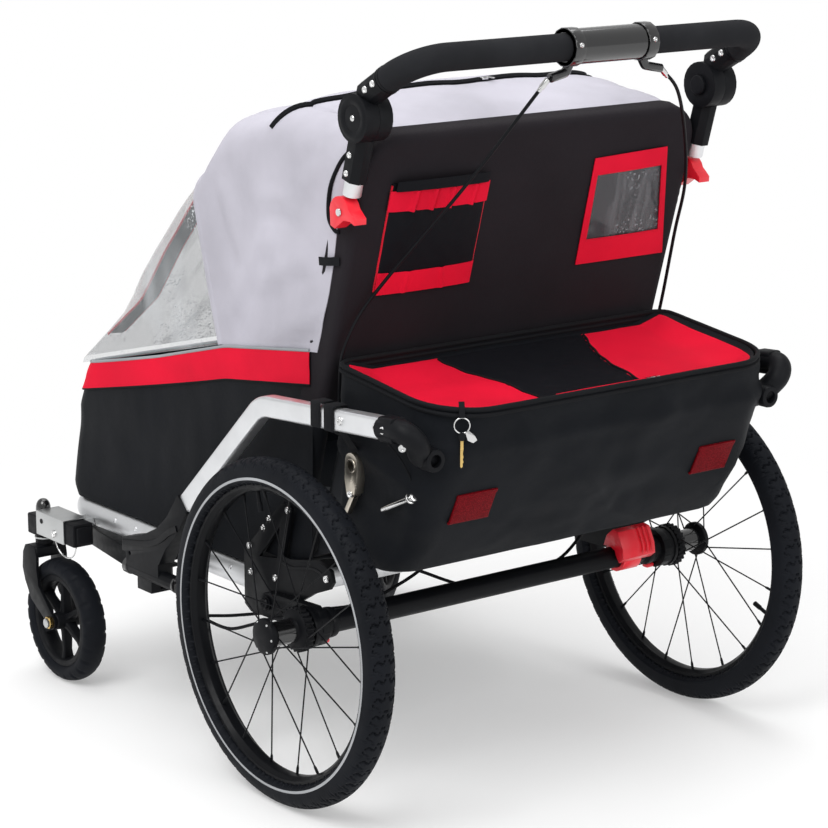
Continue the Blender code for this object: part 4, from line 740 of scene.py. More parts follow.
def prism(outline: Sequence[Point], axis: Axis, low: float, high: float) -> bpy.types.Mesh:
    """Pushes a flat outline along an axis.

    Args:
        outline: points in the plane square to the axis.
        axis: the axis.
        low: start along the axis.
        high: end along the axis.

    Returns:
        The mesh.
    """
    count, verts = len(outline), []
    for along in (low, high):
        for a, b in outline:
            verts.append(axis_point(a, b, along, axis))
    faces = [list(range(count)), list(range(count, 2 * count))]
    for k in range(count):
        after = (k + 1) % count
        faces.append([k, after, count + after, count + k])
    return mesh_from(verts, faces)


def box(low: Point, high: Point) -> bpy.types.Mesh:
    """Plain box between two corners, to be eased."""
    return prism(((low[0], low[1]), (high[0], low[1]), (high[0], high[1]), (low[0], high[1])), Axis.Z,
                 low[2], high[2])


def eased(mesh: bpy.types.Mesh, width: float, steps: int = 2, sharp: float = 28.0) -> bpy.types.Mesh:
    """The mesh with its flat faces made whole and its sharp edges rounded.

    Args:
        mesh: the mesh.
        width: width of the rounding.
        steps: faces across it.
        sharp: angle in degrees from which an edge is rounded.

    Returns:
        A new mesh.
    """
    work = bmesh.new()
    work.from_mesh(mesh)
    bmesh.ops.remove_doubles(work, verts=work.verts, dist=2e-5)
    bmesh.ops.dissolve_limit(work, angle_limit=math.radians(1.0), verts=work.verts, edges=work.edges)
    edges = [e for e in work.edges if len(e.link_faces) == 2
             and e.calc_face_angle(0.0) > math.radians(sharp)]
    bmesh.ops.bevel(work, geom=edges, offset=width, segments=steps, profile=0.6, affect="EDGES",
                    clamp_overlap=True, harden_normals=False)
    result = bpy.data.meshes.new("shape")
    work.to_mesh(result)
    work.free()
    return result


def drawn_in(radius: float, past: float) -> float:
    """How far a rounded corner draws an edge in, at a distance past the corner's start."""
    return radius - math.sqrt(max(0.0, radius ** 2 - past ** 2))


def grid(points: np.ndarray, wrap: bool = False, flip: bool = False) -> bpy.types.Mesh:
    """Open sheet through a table of points, with a UV map in metres.

    Args:
        points: array of rows, columns and three coordinates.
        wrap: whether the last column joins the first.
        flip: whether the faces turn the other way.

    Returns:
        The sheet's mesh.
    """
    rows, columns = points.shape[:2]
    if wrap:
        points = np.concatenate([points, points[:, :1]], axis=1)
        columns += 1
    across = np.zeros((rows, columns))
    across[:, 1:] = np.cumsum(np.linalg.norm(np.diff(points, axis=1), axis=2), axis=1)
    along = np.zeros((rows, columns))
    along[1:] = np.cumsum(np.linalg.norm(np.diff(points, axis=0), axis=2), axis=0)
    across -= across[:, -1:] / 2
    along = np.repeat(along.mean(axis=1)[:, None], columns, axis=1)
    faces = []
    for r in range(rows - 1):
        for c in range(columns - 1):
            a = r * columns + c
            face = [a, a + 1, a + 1 + columns, a + columns]
            faces.append(face[::-1] if flip else face)
    mesh = bpy.data.meshes.new("sheet")
    mesh.from_pydata(points.reshape(-1, 3).tolist(), [], faces)
    layer = mesh.uv_layers.new(name="UVMap")
    flat = np.stack([across, along], axis=-1).reshape(-1, 2)
    corner = np.array([i for face in faces for i in face])
    layer.data.foreach_set("uv", flat[corner].astype(np.float32).ravel())
    return repaired(mesh, 1e-7, turn=False) if wrap else mesh


def normals_of(points: np.ndarray, middle: Point) -> np.ndarray:
    """Unit normals of a table of points, each turned away from a middle point.

    Args:
        points: table of points.
        middle: a point behind every face.

    Returns:
        Table of unit vectors.
    """
    across = np.gradient(points, axis=1)
    along = np.gradient(points, axis=0)
    normal = np.cross(across, along)
    normal = normal / np.maximum(np.linalg.norm(normal, axis=2, keepdims=True), 1e-9)
    return normal * np.sign((normal * (points - np.array(middle))).sum(axis=2, keepdims=True))


def ripple(points: np.ndarray, scale: Point, seed: float) -> np.ndarray:
    """Smooth noise from -1 to 1 at each point of a table."""
    flat = points.reshape(-1, 3) * np.array(scale) + seed
    return np.array([noise.noise(Vector(p)) for p in flat]).reshape(points.shape[:2])


def creases(y: np.ndarray, z: np.ndarray, folds: Sequence[Sequence[float]]) -> np.ndarray:
    """Height of soft folds, each (y0, z0, y1, z1, half width, height), on a flat wall.

    Args:
        y: first coordinate of each point.
        z: second coordinate of each point.
        folds: the folds.

    Returns:
        Table of heights.
    """
    height = np.zeros_like(y)
    for y0, z0, y1, z1, width, tall in folds:
        run = np.array([y1 - y0, z1 - z0])
        length = np.linalg.norm(run)
        run = run / length
        t = ((y - y0) * run[0] + (z - z0) * run[1]) / length
        side = (y - y0) * -run[1] + (z - z0) * run[0] + 0.012 * np.sin(t * 3.0) * length
        taper = np.clip(np.minimum(t + 0.25, 1.25 - t) * 2.5, 0.0, 1.0)
        taper = taper * taper * (3 - 2 * taper)
        height += tall * np.exp(-(side / width) ** 2) * taper
        height -= tall * 0.5 * np.exp(-((side - width * 1.7) / width) ** 2) * taper
    return height


def thick(mesh: bpy.types.Mesh, wall: float) -> bpy.types.Mesh:
    """A sheet given a wall on the side its faces turn away from.

    Args:
        mesh: the sheet.
        wall: its thickness.

    Returns:
        The mesh.
    """
    item = linked("wall", mesh)
    step = item.modifiers.new("wall", "SOLIDIFY")
    step.thickness = wall
    step.offset = -1.0
    return settled(item)


def settled(item: bpy.types.Object) -> bpy.types.Mesh:
    """The finished mesh of an object with its modifiers, and the object removed.

    Args:
        item: the object.

    Returns:
        The mesh.
    """
    bpy.context.view_layer.update()
    graph = bpy.context.evaluated_depsgraph_get()
    mesh = bpy.data.meshes.new_from_object(item.evaluated_get(graph))
    bpy.data.objects.remove(item)
    return mesh


# Geometry Nodes


class Trees:
    """The trees that lay strands along paths and set small parts on points."""

    @staticmethod
    def _start(name: str, inputs: Sequence[tuple[str, str]]) -> bpy.types.GeometryNodeTree:
        """An empty tree with a geometry input, named inputs and a geometry output.

        Args:
            name: the tree's name.
            inputs: name and socket type of each input.

        Returns:
            The tree, already filled if it was made before.
        """
        tree = bpy.data.node_groups.get(name)
        if tree:
            return tree
        tree = bpy.data.node_groups.new(name, "GeometryNodeTree")
        tree.interface.new_socket("Geometry", in_out="INPUT", socket_type="NodeSocketGeometry")
        for label, kind in inputs:
            tree.interface.new_socket(label, in_out="INPUT", socket_type=kind)
        tree.interface.new_socket("Geometry", in_out="OUTPUT", socket_type="NodeSocketGeometry")
        return tree

    @staticmethod
    def _chain(tree: bpy.types.GeometryNodeTree, *steps: tuple[object, str, object, str]) -> None:
        """Links outputs to inputs, both by name or number."""
        for source, out, target, into in steps:
            tree.links.new(source.outputs[out], target.inputs[into])

    @classmethod
    def strand(cls) -> bpy.types.GeometryNodeTree:
        """Round strands along the edges of a mesh.

        Returns:
            The tree.
        """
        named = (("Radius", "NodeSocketFloat"), ("Sides", "NodeSocketInt"),
                 ("Finish", "NodeSocketMaterial"))
        tree = cls._start("strand", named)
        if tree.nodes:
            return tree
        start, end = tree.nodes.new("NodeGroupInput"), tree.nodes.new("NodeGroupOutput")
        curve = tree.nodes.new("GeometryNodeMeshToCurve")
        ring = tree.nodes.new("GeometryNodeCurvePrimitiveCircle")
        skin = tree.nodes.new("GeometryNodeCurveToMesh")
        skin.inputs["Fill Caps"].default_value = True
        smooth = tree.nodes.new("GeometryNodeSetShadeSmooth")
        real = tree.nodes.new("GeometryNodeRealizeInstances")
        finish = tree.nodes.new("GeometryNodeSetMaterial")
        cls._chain(tree, (start, "Geometry", curve, "Mesh"), (start, "Radius", ring, "Radius"),
                   (start, "Sides", ring, "Resolution"), (curve, "Curve", skin, "Curve"),
                   (ring, "Curve", skin, "Profile Curve"), (skin, "Mesh", smooth, "Geometry"),
                   (smooth, "Geometry", real, "Geometry"), (real, "Geometry", finish, "Geometry"),
                   (start, "Finish", finish, "Material"), (finish, "Geometry", end, "Geometry"))
        return tree

    @classmethod
    def studs(cls) -> bpy.types.GeometryNodeTree:
        """A small part set on every point, its Z along "aim" and its X along "lead".

        Returns:
            The tree.
        """
        named = (("Part", "NodeSocketObject"), ("Size", "NodeSocketFloat"),
                 ("Finish", "NodeSocketMaterial"))
        tree = cls._start("studs", named)
        if tree.nodes:
            return tree
        start, end = tree.nodes.new("NodeGroupInput"), tree.nodes.new("NodeGroupOutput")
        part = tree.nodes.new("GeometryNodeObjectInfo")
        part.transform_space = "ORIGINAL"
        attributes = []
        for label in ("aim", "lead"):
            reader = tree.nodes.new("GeometryNodeInputNamedAttribute")
            reader.data_type = "FLOAT_VECTOR"
            reader.inputs["Name"].default_value = label
            attributes.append(reader)
        stand = tree.nodes.new("FunctionNodeAlignRotationToVector")
        stand.axis = "Z"
        face = tree.nodes.new("FunctionNodeAlignRotationToVector")
        face.axis = "X"
        face.pivot_axis = "Z"
        spread = tree.nodes.new("GeometryNodeInstanceOnPoints")
        real = tree.nodes.new("GeometryNodeRealizeInstances")
        finish = tree.nodes.new("GeometryNodeSetMaterial")
        cls._chain(tree, (start, "Geometry", spread, "Points"), (start, "Part", part, "Object"),
                   (part, "Geometry", spread, "Instance"), (attributes[0], "Attribute", stand, "Vector"),
                   (stand, "Rotation", face, "Rotation"), (attributes[1], "Attribute", face, "Vector"),
                   (face, "Rotation", spread, "Rotation"), (start, "Size", spread, "Scale"),
                   (spread, "Instances", real, "Geometry"), (real, "Geometry", finish, "Geometry"),
                   (start, "Finish", finish, "Material"), (finish, "Geometry", end, "Geometry"))
        return tree

    @staticmethod
    def run(mesh: bpy.types.Mesh, tree: bpy.types.GeometryNodeTree, **values: object) -> bpy.types.Mesh:
        """The plain mesh that a tree makes of a mesh, with the tree's inputs set by name.

        Args:
            mesh: the ground that the tree works on.
            tree: the tree.
            values: its inputs.

        Returns:
            The mesh.
        """
        item = linked("ground", mesh)
        step = item.modifiers.new("tree", "NODES")
        step.node_group = tree
        sockets = {s.name: s.identifier for s in tree.interface.items_tree if s.in_out == "INPUT"}
        for label, value in values.items():
            step[sockets[label]] = value
        return settled(item)


def strands(paths: Sequence[Sequence[Point]], radius: float, finish: Finish,
            sides: int = 10) -> bpy.types.Mesh:
    """Round strands, one along each path.

    Args:
        paths: points of each strand.
        radius: radius of a strand.
        finish: the finish.
        sides: points round it.

    Returns:
        The mesh.
    """
    verts, edges = [], []
    for path in paths:
        start = len(verts)
        verts.extend(tuple(p) for p in path)
        edges.extend((start + k, start + k + 1) for k in range(len(path) - 1))
    ground = bpy.data.meshes.new("paths")
    ground.from_pydata(verts, edges, [])
    return Trees.run(ground, Trees.strand(), Radius=radius, Sides=sides, Finish=finish.material())


def studs(part: bpy.types.Mesh, points: Sequence[Point], aims: Sequence[Point], finish: Finish,
          leads: Optional[Sequence[Point]] = None, size: float = 1.0) -> bpy.types.Mesh:
    """Copies of a small part on points, as one plain mesh.

    Args:
        part: the small part's mesh.
        points: where the copies stand.
        aims: where their Z points.
        finish: the finish.
        leads: where their X points.
        size: scale of each copy.

    Returns:
        The mesh.
    """
    ground = bpy.data.meshes.new("points")
    ground.from_pydata([tuple(p) for p in points], [], [])
    for label, rows in (("aim", aims), ("lead", leads or [(1.0, 0.2, 0.1)] * len(points))):
        layer = ground.attributes.new(label, "FLOAT_VECTOR", "POINT")
        layer.data.foreach_set("vector", np.array([tuple(r) for r in rows], np.float32).ravel())
    template = linked("template", part)
    made = Trees.run(ground, Trees.studs(), Part=template, Size=size, Finish=finish.material())
    bpy.data.objects.remove(template)
    return made


def stitches(paths: Sequence[Sequence[Point]], aim: Callable[[Vector], Vector], finish: Finish,
             pitch: float = 0.0042) -> bpy.types.Mesh:
    """Rows of stitches along paths.

    Args:
        paths: the seam lines.
        aim: gives the cloth's outward direction at a point.
        finish: the thread's finish.
        pitch: length of one stitch and the gap after it.

    Returns:
        All stitches as one mesh.
    """
    half = pitch * 0.36
    waist = ((0.00032, 0), (0, 0.0003), (-0.00032, 0), (0, -0.0003))
    corners = [(-half, 0, 0), (half, 0, 0)] + [(s * half * 0.6, y, z) for s in (-1, 1) for y, z in waist]
    faces = [(0, 2, 3), (0, 3, 4), (0, 4, 5), (0, 5, 2), (1, 7, 6), (1, 8, 7), (1, 9, 8), (1, 6, 9),
             (2, 6, 7, 3), (3, 7, 8, 4), (4, 8, 9, 5), (5, 9, 6, 2)]
    part = mesh_from(corners, faces)
    points, aims, leads = [], [], []
    for path in paths:
        length = sum((Vector(b) - Vector(a)).length for a, b in zip(path, path[1:]))
        even = curve_through(path, max(3, int(length / pitch)))
        for before, after in zip(even, even[1:]):
            middle = (before + after) / 2
            outward = aim(middle)
            points.append(middle + outward * 0.0002)
            aims.append(outward)
            leads.append(after - before)
    return studs(part, points, aims, finish, leads)


# Placing


class Kit:
    """Gathers meshes of several finishes into one piece."""

    def __init__(self) -> None:
        """Starts an empty piece."""
        self.work = bmesh.new()
        self.finishes: list[Finish] = []

    def add(self, mesh: bpy.types.Mesh, finish: Finish, *others: Finish) -> "Kit":
        """Adds a mesh whose own material numbers count through the finishes given.

        Args:
            mesh: the mesh.
            finish: finish of its first material number.
            others: finishes of the next numbers.
        """
        wanted = (finish, *others)
        for one in wanted:
            if one not in self.finishes:
                self.finishes.append(one)
        start = len(self.work.faces)
        self.work.from_mesh(mesh)
        self.work.faces.ensure_lookup_table()
        for face in self.work.faces[start:]:
            face.material_index = self.finishes.index(wanted[min(face.material_index, len(wanted) - 1)])
        return self

    def studs(self, part: bpy.types.Mesh, points: Sequence[Point], aims: Sequence[Point], finish: Finish,
              leads: Optional[Sequence[Point]] = None) -> "Kit":
        """Adds copies of a small part on points."""
        return self.add(studs(part, points, aims, finish, leads), finish)

    def bolts(self, radius: float, height: float, points: Sequence[Point], aim: Point,
              finish: Finish = Finish.CHROME) -> "Kit":
        """Adds socket bolts that all face one way."""
        return self.studs(socket_bolt(radius, height), points, [aim] * len(points), finish)

    def strands(self, paths: Sequence[Sequence[Point]], radius: float, finish: Finish,
                sides: int = 10) -> "Kit":
        """Adds round strands along paths."""
        return self.add(strands(paths, radius, finish, sides), finish)

    def stitches(self, paths: Sequence[Sequence[Point]], aim: Callable[[Vector], Vector], finish: Finish,
                 pitch: float = 0.0042) -> "Kit":
        """Adds rows of stitches along paths."""
        return self.add(stitches(paths, aim, finish, pitch), finish)

    def sheet(self, points: np.ndarray, wall: float, finish: Finish, wrap: bool = False,
              flip: bool = False) -> "Kit":
        """Adds a sheet of cloth or film through a table of points."""
        return self.add(thick(grid(points, wrap, flip), wall), finish)

    def mesh(self) -> bpy.types.Mesh:
        """The gathered mesh.

        Returns:
            The mesh.
        """
        result = bpy.data.meshes.new("piece")
        self.work.to_mesh(result)
        self.work.free()
        return result


class Shop:
    """Places finished pieces on the trailer's bodies and reports them."""

    def __init__(self, frame: dict) -> None:
        """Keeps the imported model."""
        self.frame = frame

    def place(self, name: str, kit: Kit, body: str, replaces: Sequence[str] = (), slot: str = "",
              smooth: float = 40.0, moved: bool = True) -> bpy.types.Object:
        """Makes a gathered mesh a piece of the trailer.

        Args:
            name: the piece's name.
            kit: its meshes.
            body: the body it rides on, or nothing for a piece left on no body.
            replaces: solids that it stands for.
            slot: not used.
            smooth: edges under this angle are shaded smooth, in degrees.
            moved: whether the mesh is still measured from the axle.

        Returns:
            The placed object.
        """
        mesh = kit.mesh()
        if moved:
            mesh.transform(Matrix.Translation((0, AXLE_Y, 0)))
        mesh.name = name
        for finish in kit.finishes:
            mesh.materials.append(finish.material())
        mesh.polygons.foreach_set("use_smooth", [True] * len(mesh.polygons))
        mesh.set_sharp_from_angle(angle=math.radians(smooth))
        item = linked(name, mesh)
        if body:
            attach(item, body)
        if replaces:
            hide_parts(*replaces)
        LOG.info("%s: %d faces on %s", name, len(mesh.polygons), body or "two bodies")
        return item

    def solid(self, node: str) -> bpy.types.Mesh:
        """Copy of a solid's mesh, without its materials.

        Args:
            node: the solid's node.

        Returns:
            The mesh.
        """
        item = bpy.data.objects[node] if node in bpy.data.objects else self.frame["nodes"][node]
        mesh = item.data.copy()
        mesh.materials.clear()
        return mesh

    def refine(self, node: str, body: str, finish: Finish, width: float = 0.001, extra: Optional[Kit] = None,
               slot: str = "") -> bpy.types.Object:
        """Replaces a hard solid with the same shape, its edges rounded as they were moulded or pressed.

        Args:
            node: the solid's node.
            body: the body it rides on.
            finish: the finish.
            width: width of the rounding.
            extra: more meshes for the piece, measured from the axle.
            slot: passed on to place, which does not use it.

        Returns:
            The placed object.
        """
        kit = Kit().add(eased(self.solid(node), width), finish)
        if extra is not None:
            extra_mesh = extra.mesh()
            extra_mesh.transform(Matrix.Translation((0, AXLE_Y, 0)))
            kit.add(extra_mesh, *extra.finishes)
        return self.place(node + "_fine", kit, body, (node,), slot, 32.0, moved=False)


def side_name(side: int) -> str:
    """Letter of a side."""
    return "L" if side == LEFT else "R"


def socket_bolt(radius: float, height: float) -> bpy.types.Mesh:
    """Low round head with a hexagon socket, standing on the origin.

    Args:
        radius: the head's radius.
        height: the head's height.

    Returns:
        The mesh.
    """
    return turned(((0, -0.001), (radius, -0.001), (radius, height * 0.55), (radius * 0.86, height),
                   (radius * 0.52, height), (radius * 0.46, height * 0.45), (0, height * 0.4)), 24,
                  (0, 0, 0), Axis.Z)


def zip_tooth(half: float, low: float = -0.0006) -> bpy.types.Mesh:
    """One tooth of a zip, across the run of its tape."""
    return eased(box((-0.0006, -half, low), (0.0006, half, 0.0008)), 0.0003, 1)


def pan_rivet(radius: float, height: float) -> bpy.types.Mesh:
    """Domed head."""
    dome = [(radius * math.cos(a), height * math.sin(a)) for a in (0.15, 0.5, 0.9, 1.25)]
    return turned([(0, -0.001), (radius, -0.001), *dome, (0, height)], 20, (0, 0, 0), Axis.Z)


# Wheels


@dataclass(frozen=True)
class Wheel:
    """Spoked rear wheel with a chevron tread."""

    side: int
    radius: float = 0.25
    x: float = 0.383
    width: float = 0.045
    height: float = 0.036
    rim_width: float = 0.028
    blocks: int = 60
    groove: float = 0.0036
    spokes: int = 20

    @property
    def centre(self) -> Vector:
        """Middle of the wheel."""
        return Vector((self.side * self.x, 0.0, self.radius))

    def tyre_mesh(self) -> bpy.types.Mesh:
        """Tyre whose tread has slanted grooves that meet in the middle.

        Returns:
            The mesh.
        """
        half, bead = self.width / 2, self.radius - self.height
        outline = [(bead + 0.0003, -self.rim_width / 2), (bead + 0.002, -half * 0.8),
                   (bead + 0.0032, -half * 0.92), (bead + 0.0046, -half * 0.985)]
        stripe = [(0.22, -half * 0.998), (0.2202, -half * 1.014), (0.224, -half * 1.006),
                  (0.2242, -half * 0.99)]
        shoulder = [(self.radius - 0.018, -half * 0.965), (self.radius - 0.0125, -half * 0.915),
                    (self.radius - 0.008, -half * 0.82)]
        rows = outline + stripe + shoulder
        tread = [(self.radius - 0.008 * abs(s) ** 2.6, s * half * 0.8) for s in np.linspace(-0.94, 0.94, 19)]
        profile = rows + tread + [(r, -s) for r, s in reversed(rows)]
        sides = self.blocks * 24
        angle = np.arange(sides) * 2 * math.pi / sides
        radii = np.array([p[0] for p in profile])
        along = np.array([p[1] for p in profile])
        share = np.abs(along) / (half * 0.8)
        bow = 1.25 * share[None, :] + 0.32 * np.sin(share[None, :] * 6.0)
        phase = (angle[:, None] * self.blocks / (2 * math.pi) - bow) % 1.0
        cut = np.clip((0.085 - np.abs(phase - 0.5)) / 0.04, 0, 1)
        fork = np.clip((0.06 - np.abs((phase + 0.9 * share[None, :]) % 1.0 - 0.62)) / 0.04, 0, 1)
        fork *= np.clip((share[None, :] - 0.45) / 0.08, 0, 1)
        reach = np.clip((1.08 - share) / 0.1, 0, 1) * np.clip((share - 0.02) / 0.06, 0, 1)
        depth = self.groove * np.maximum(cut, fork * 0.6) * reach[None, :]
        radius = radii[None, :] - depth
        points = np.stack([np.broadcast_to(self.side * along[None, :], radius.shape),
                           radius * np.cos(angle)[:, None], radius * np.sin(angle)[:, None]], axis=-1)
        count = len(profile)
        verts = points.reshape(-1, 3) + np.array(self.centre)
        faces, numbers = [], []
        for k in range(sides):
            low, high = k * count, ((k + 1) % sides) * count
            for n in range(count):
                m = (n + 1) % count
                faces.append((low + n, low + m, high + m, high + n))
                numbers.append(1 if n == count - 7 else 0)
        mesh = bpy.data.meshes.new("tyre")
        mesh.from_pydata(verts.tolist(), [], faces)
        mesh.polygons.foreach_set("material_index", numbers)
        return repaired(mesh)

    def rim_mesh(self) -> bpy.types.Mesh:
        """Rim with rolled lips and a shallow well.

        Returns:
            The mesh.
        """
        bead, lip = self.radius - self.height, self.rim_width / 2
        inner = bead - 0.011
        profile = ((bead - 0.0003, -lip + 0.001), (bead - 0.0003, lip - 0.001), (bead - 0.001, lip),
                   (bead - 0.004, lip), (bead - 0.0055, lip - 0.0006), (bead - 0.0065, lip - 0.0025),
                   (inner + 0.0008, lip - 0.006), (inner, lip - 0.008), (inner, -lip + 0.008),
                   (inner + 0.0008, -lip + 0.006), (bead - 0.0065, -lip + 0.0025),
                   (bead - 0.0055, -lip + 0.0006), (bead - 0.004, -lip), (bead - 0.001, -lip))
        return turned(mirrored(profile, self.side), 144, self.centre)

    def spoke_ends(self) -> list[tuple[Vector, Vector]]:
        """Hub and rim end of each spoke.

        Returns:
            Pairs of points.
        """
        rim = self.radius - self.height - 0.011
        ends = []
        for k in range(self.spokes):
            lead = 1 if (k // 2) % 2 == 0 else -1
            flange, reach = (-0.0295, 0.026) if k % 2 == 0 else (0.0255, 0.019)
            outer = (k + 0.5) * 2 * math.pi / self.spokes
            inner = outer + lead * math.radians(48)
            start = Vector((self.side * (flange + lead * 0.0035), reach * math.cos(inner),
                            reach * math.sin(inner)))
            end = Vector((self.side * lead * 0.0035, (rim - 0.0004) * math.cos(outer),
                          (rim - 0.0004) * math.sin(outer)))
            ends.append((start + self.centre, end + self.centre))
        return ends

    def hub_kit(self) -> Kit:
        """Hub body, toothed inner flange, domed cap, spokes, nipples and screws.

        Returns:
            The gathered meshes.
        """
        s = self.side
        body = ((0, -0.076), (0.0075, -0.076), (0.0075, -0.0382), (0.0275, -0.038), (0.0295, -0.0365),
                (0.0295, -0.0235), (0.0275, -0.0215), (0.0185, -0.0195), (0.017, -0.017), (0.0162, -0.004),
                (0.0162, 0.006), (0.017, 0.019), (0.0235, 0.0214), (0.026, 0.0228), (0.026, 0.0288),
                (0.0252, 0.0303), (0.0225, 0.0318), (0.0186, 0.0335), (0.013, 0.0347), (0.0065, 0.0354),
                (0, 0.0355))
        kit = Kit().add(turned(mirrored(body, s), 72, self.centre), Finish.PLASTIC)
        kit.add(turned(mirrored(((0.015, -0.015), (0.0176, -0.0148), (0.0176, 0.0148), (0.015, 0.015)), s),
                       72, self.centre), Finish.GLOSS)
        teeth = [(0.033 if k % 4 < 2 else 0.0302, 2 * math.pi * k / 96) for k in range(96)]
        outline = [(r * math.cos(a) + self.centre[1], r * math.sin(a) + self.centre[2]) for r, a in teeth]
        x = sorted((self.centre[0] - s * 0.0365, self.centre[0] - s * 0.0235))
        kit.add(eased(prism(outline, Axis.X, *x), 0.0004, 1), Finish.PLASTIC)
        ends = self.spoke_ends()
        kit.strands(ends, 0.0011, Finish.PAINT, 8)
        nipple = turned(((0, 0), (0.0021, 0), (0.0021, 0.009), (0.0013, 0.013), (0, 0.013)), 10, (0, 0, 0),
                        Axis.Z)
        inward = [(a - b).normalized() for a, b in ends]
        kit.studs(nipple, [b - d * 0.0008 for (a, b), d in zip(ends, inward)], inward, Finish.PAINT)
        cap_x, ring = s * 0.0314, 0.0222
        sixths = [math.pi / 3 * k for k in range(6)]
        heads = [self.centre + Vector((cap_x, ring * math.cos(a), ring * math.sin(a))) for a in sixths]
        kit.studs(pan_rivet(0.0021, 0.001), heads, [(s, 0, 0)] * 6, Finish.ZINC)
        return kit

    def valve_kit(self) -> Kit:
        """Valve that stands from the rim.

        Returns:
            The gathered meshes.
        """
        angle = math.radians(75 if self.side == LEFT else 201)
        out = Vector((0, math.cos(angle), math.sin(angle)))
        rim = self.radius - self.height - 0.0105
        stem = swept([self.centre + out * (rim + 0.004), self.centre + out * (rim - 0.022)],
                     circle(0.003, 16), (1, 0, 0))
        cap = swept([self.centre + out * (rim - 0.018), self.centre + out * (rim - 0.031)],
                    circle(0.0038, 16), (1, 0, 0))
        return Kit().add(eased(stem, 0.0004, 1), Finish.PLASTIC).add(eased(cap, 0.0008, 2), Finish.PLASTIC)

    def build(self, shop: Shop) -> None:
        """Places the wheel's pieces.

        Args:
            shop: places and reports the pieces.
        """
        letter = side_name(self.side)
        body = f"wheel_{letter}"
        shop.place(f"tyre_{letter}_fine", Kit().add(self.tyre_mesh(), Finish.TYRE, Finish.STRIPE), body,
                   (f"tyre_{letter}",), "tyre_rubber", 50)
        shop.place(f"rim_{letter}_fine", Kit().add(self.rim_mesh(), Finish.PAINT), body, (f"rim_{letter}",),
                   "black_paint")
        shop.place(f"hub_{letter}_fine", self.hub_kit(), body, (f"hub_{letter}",), "black_plastic", 35)
        shop.place(f"valve_{letter}", self.valve_kit(), body, (), "bright_steel", 35)


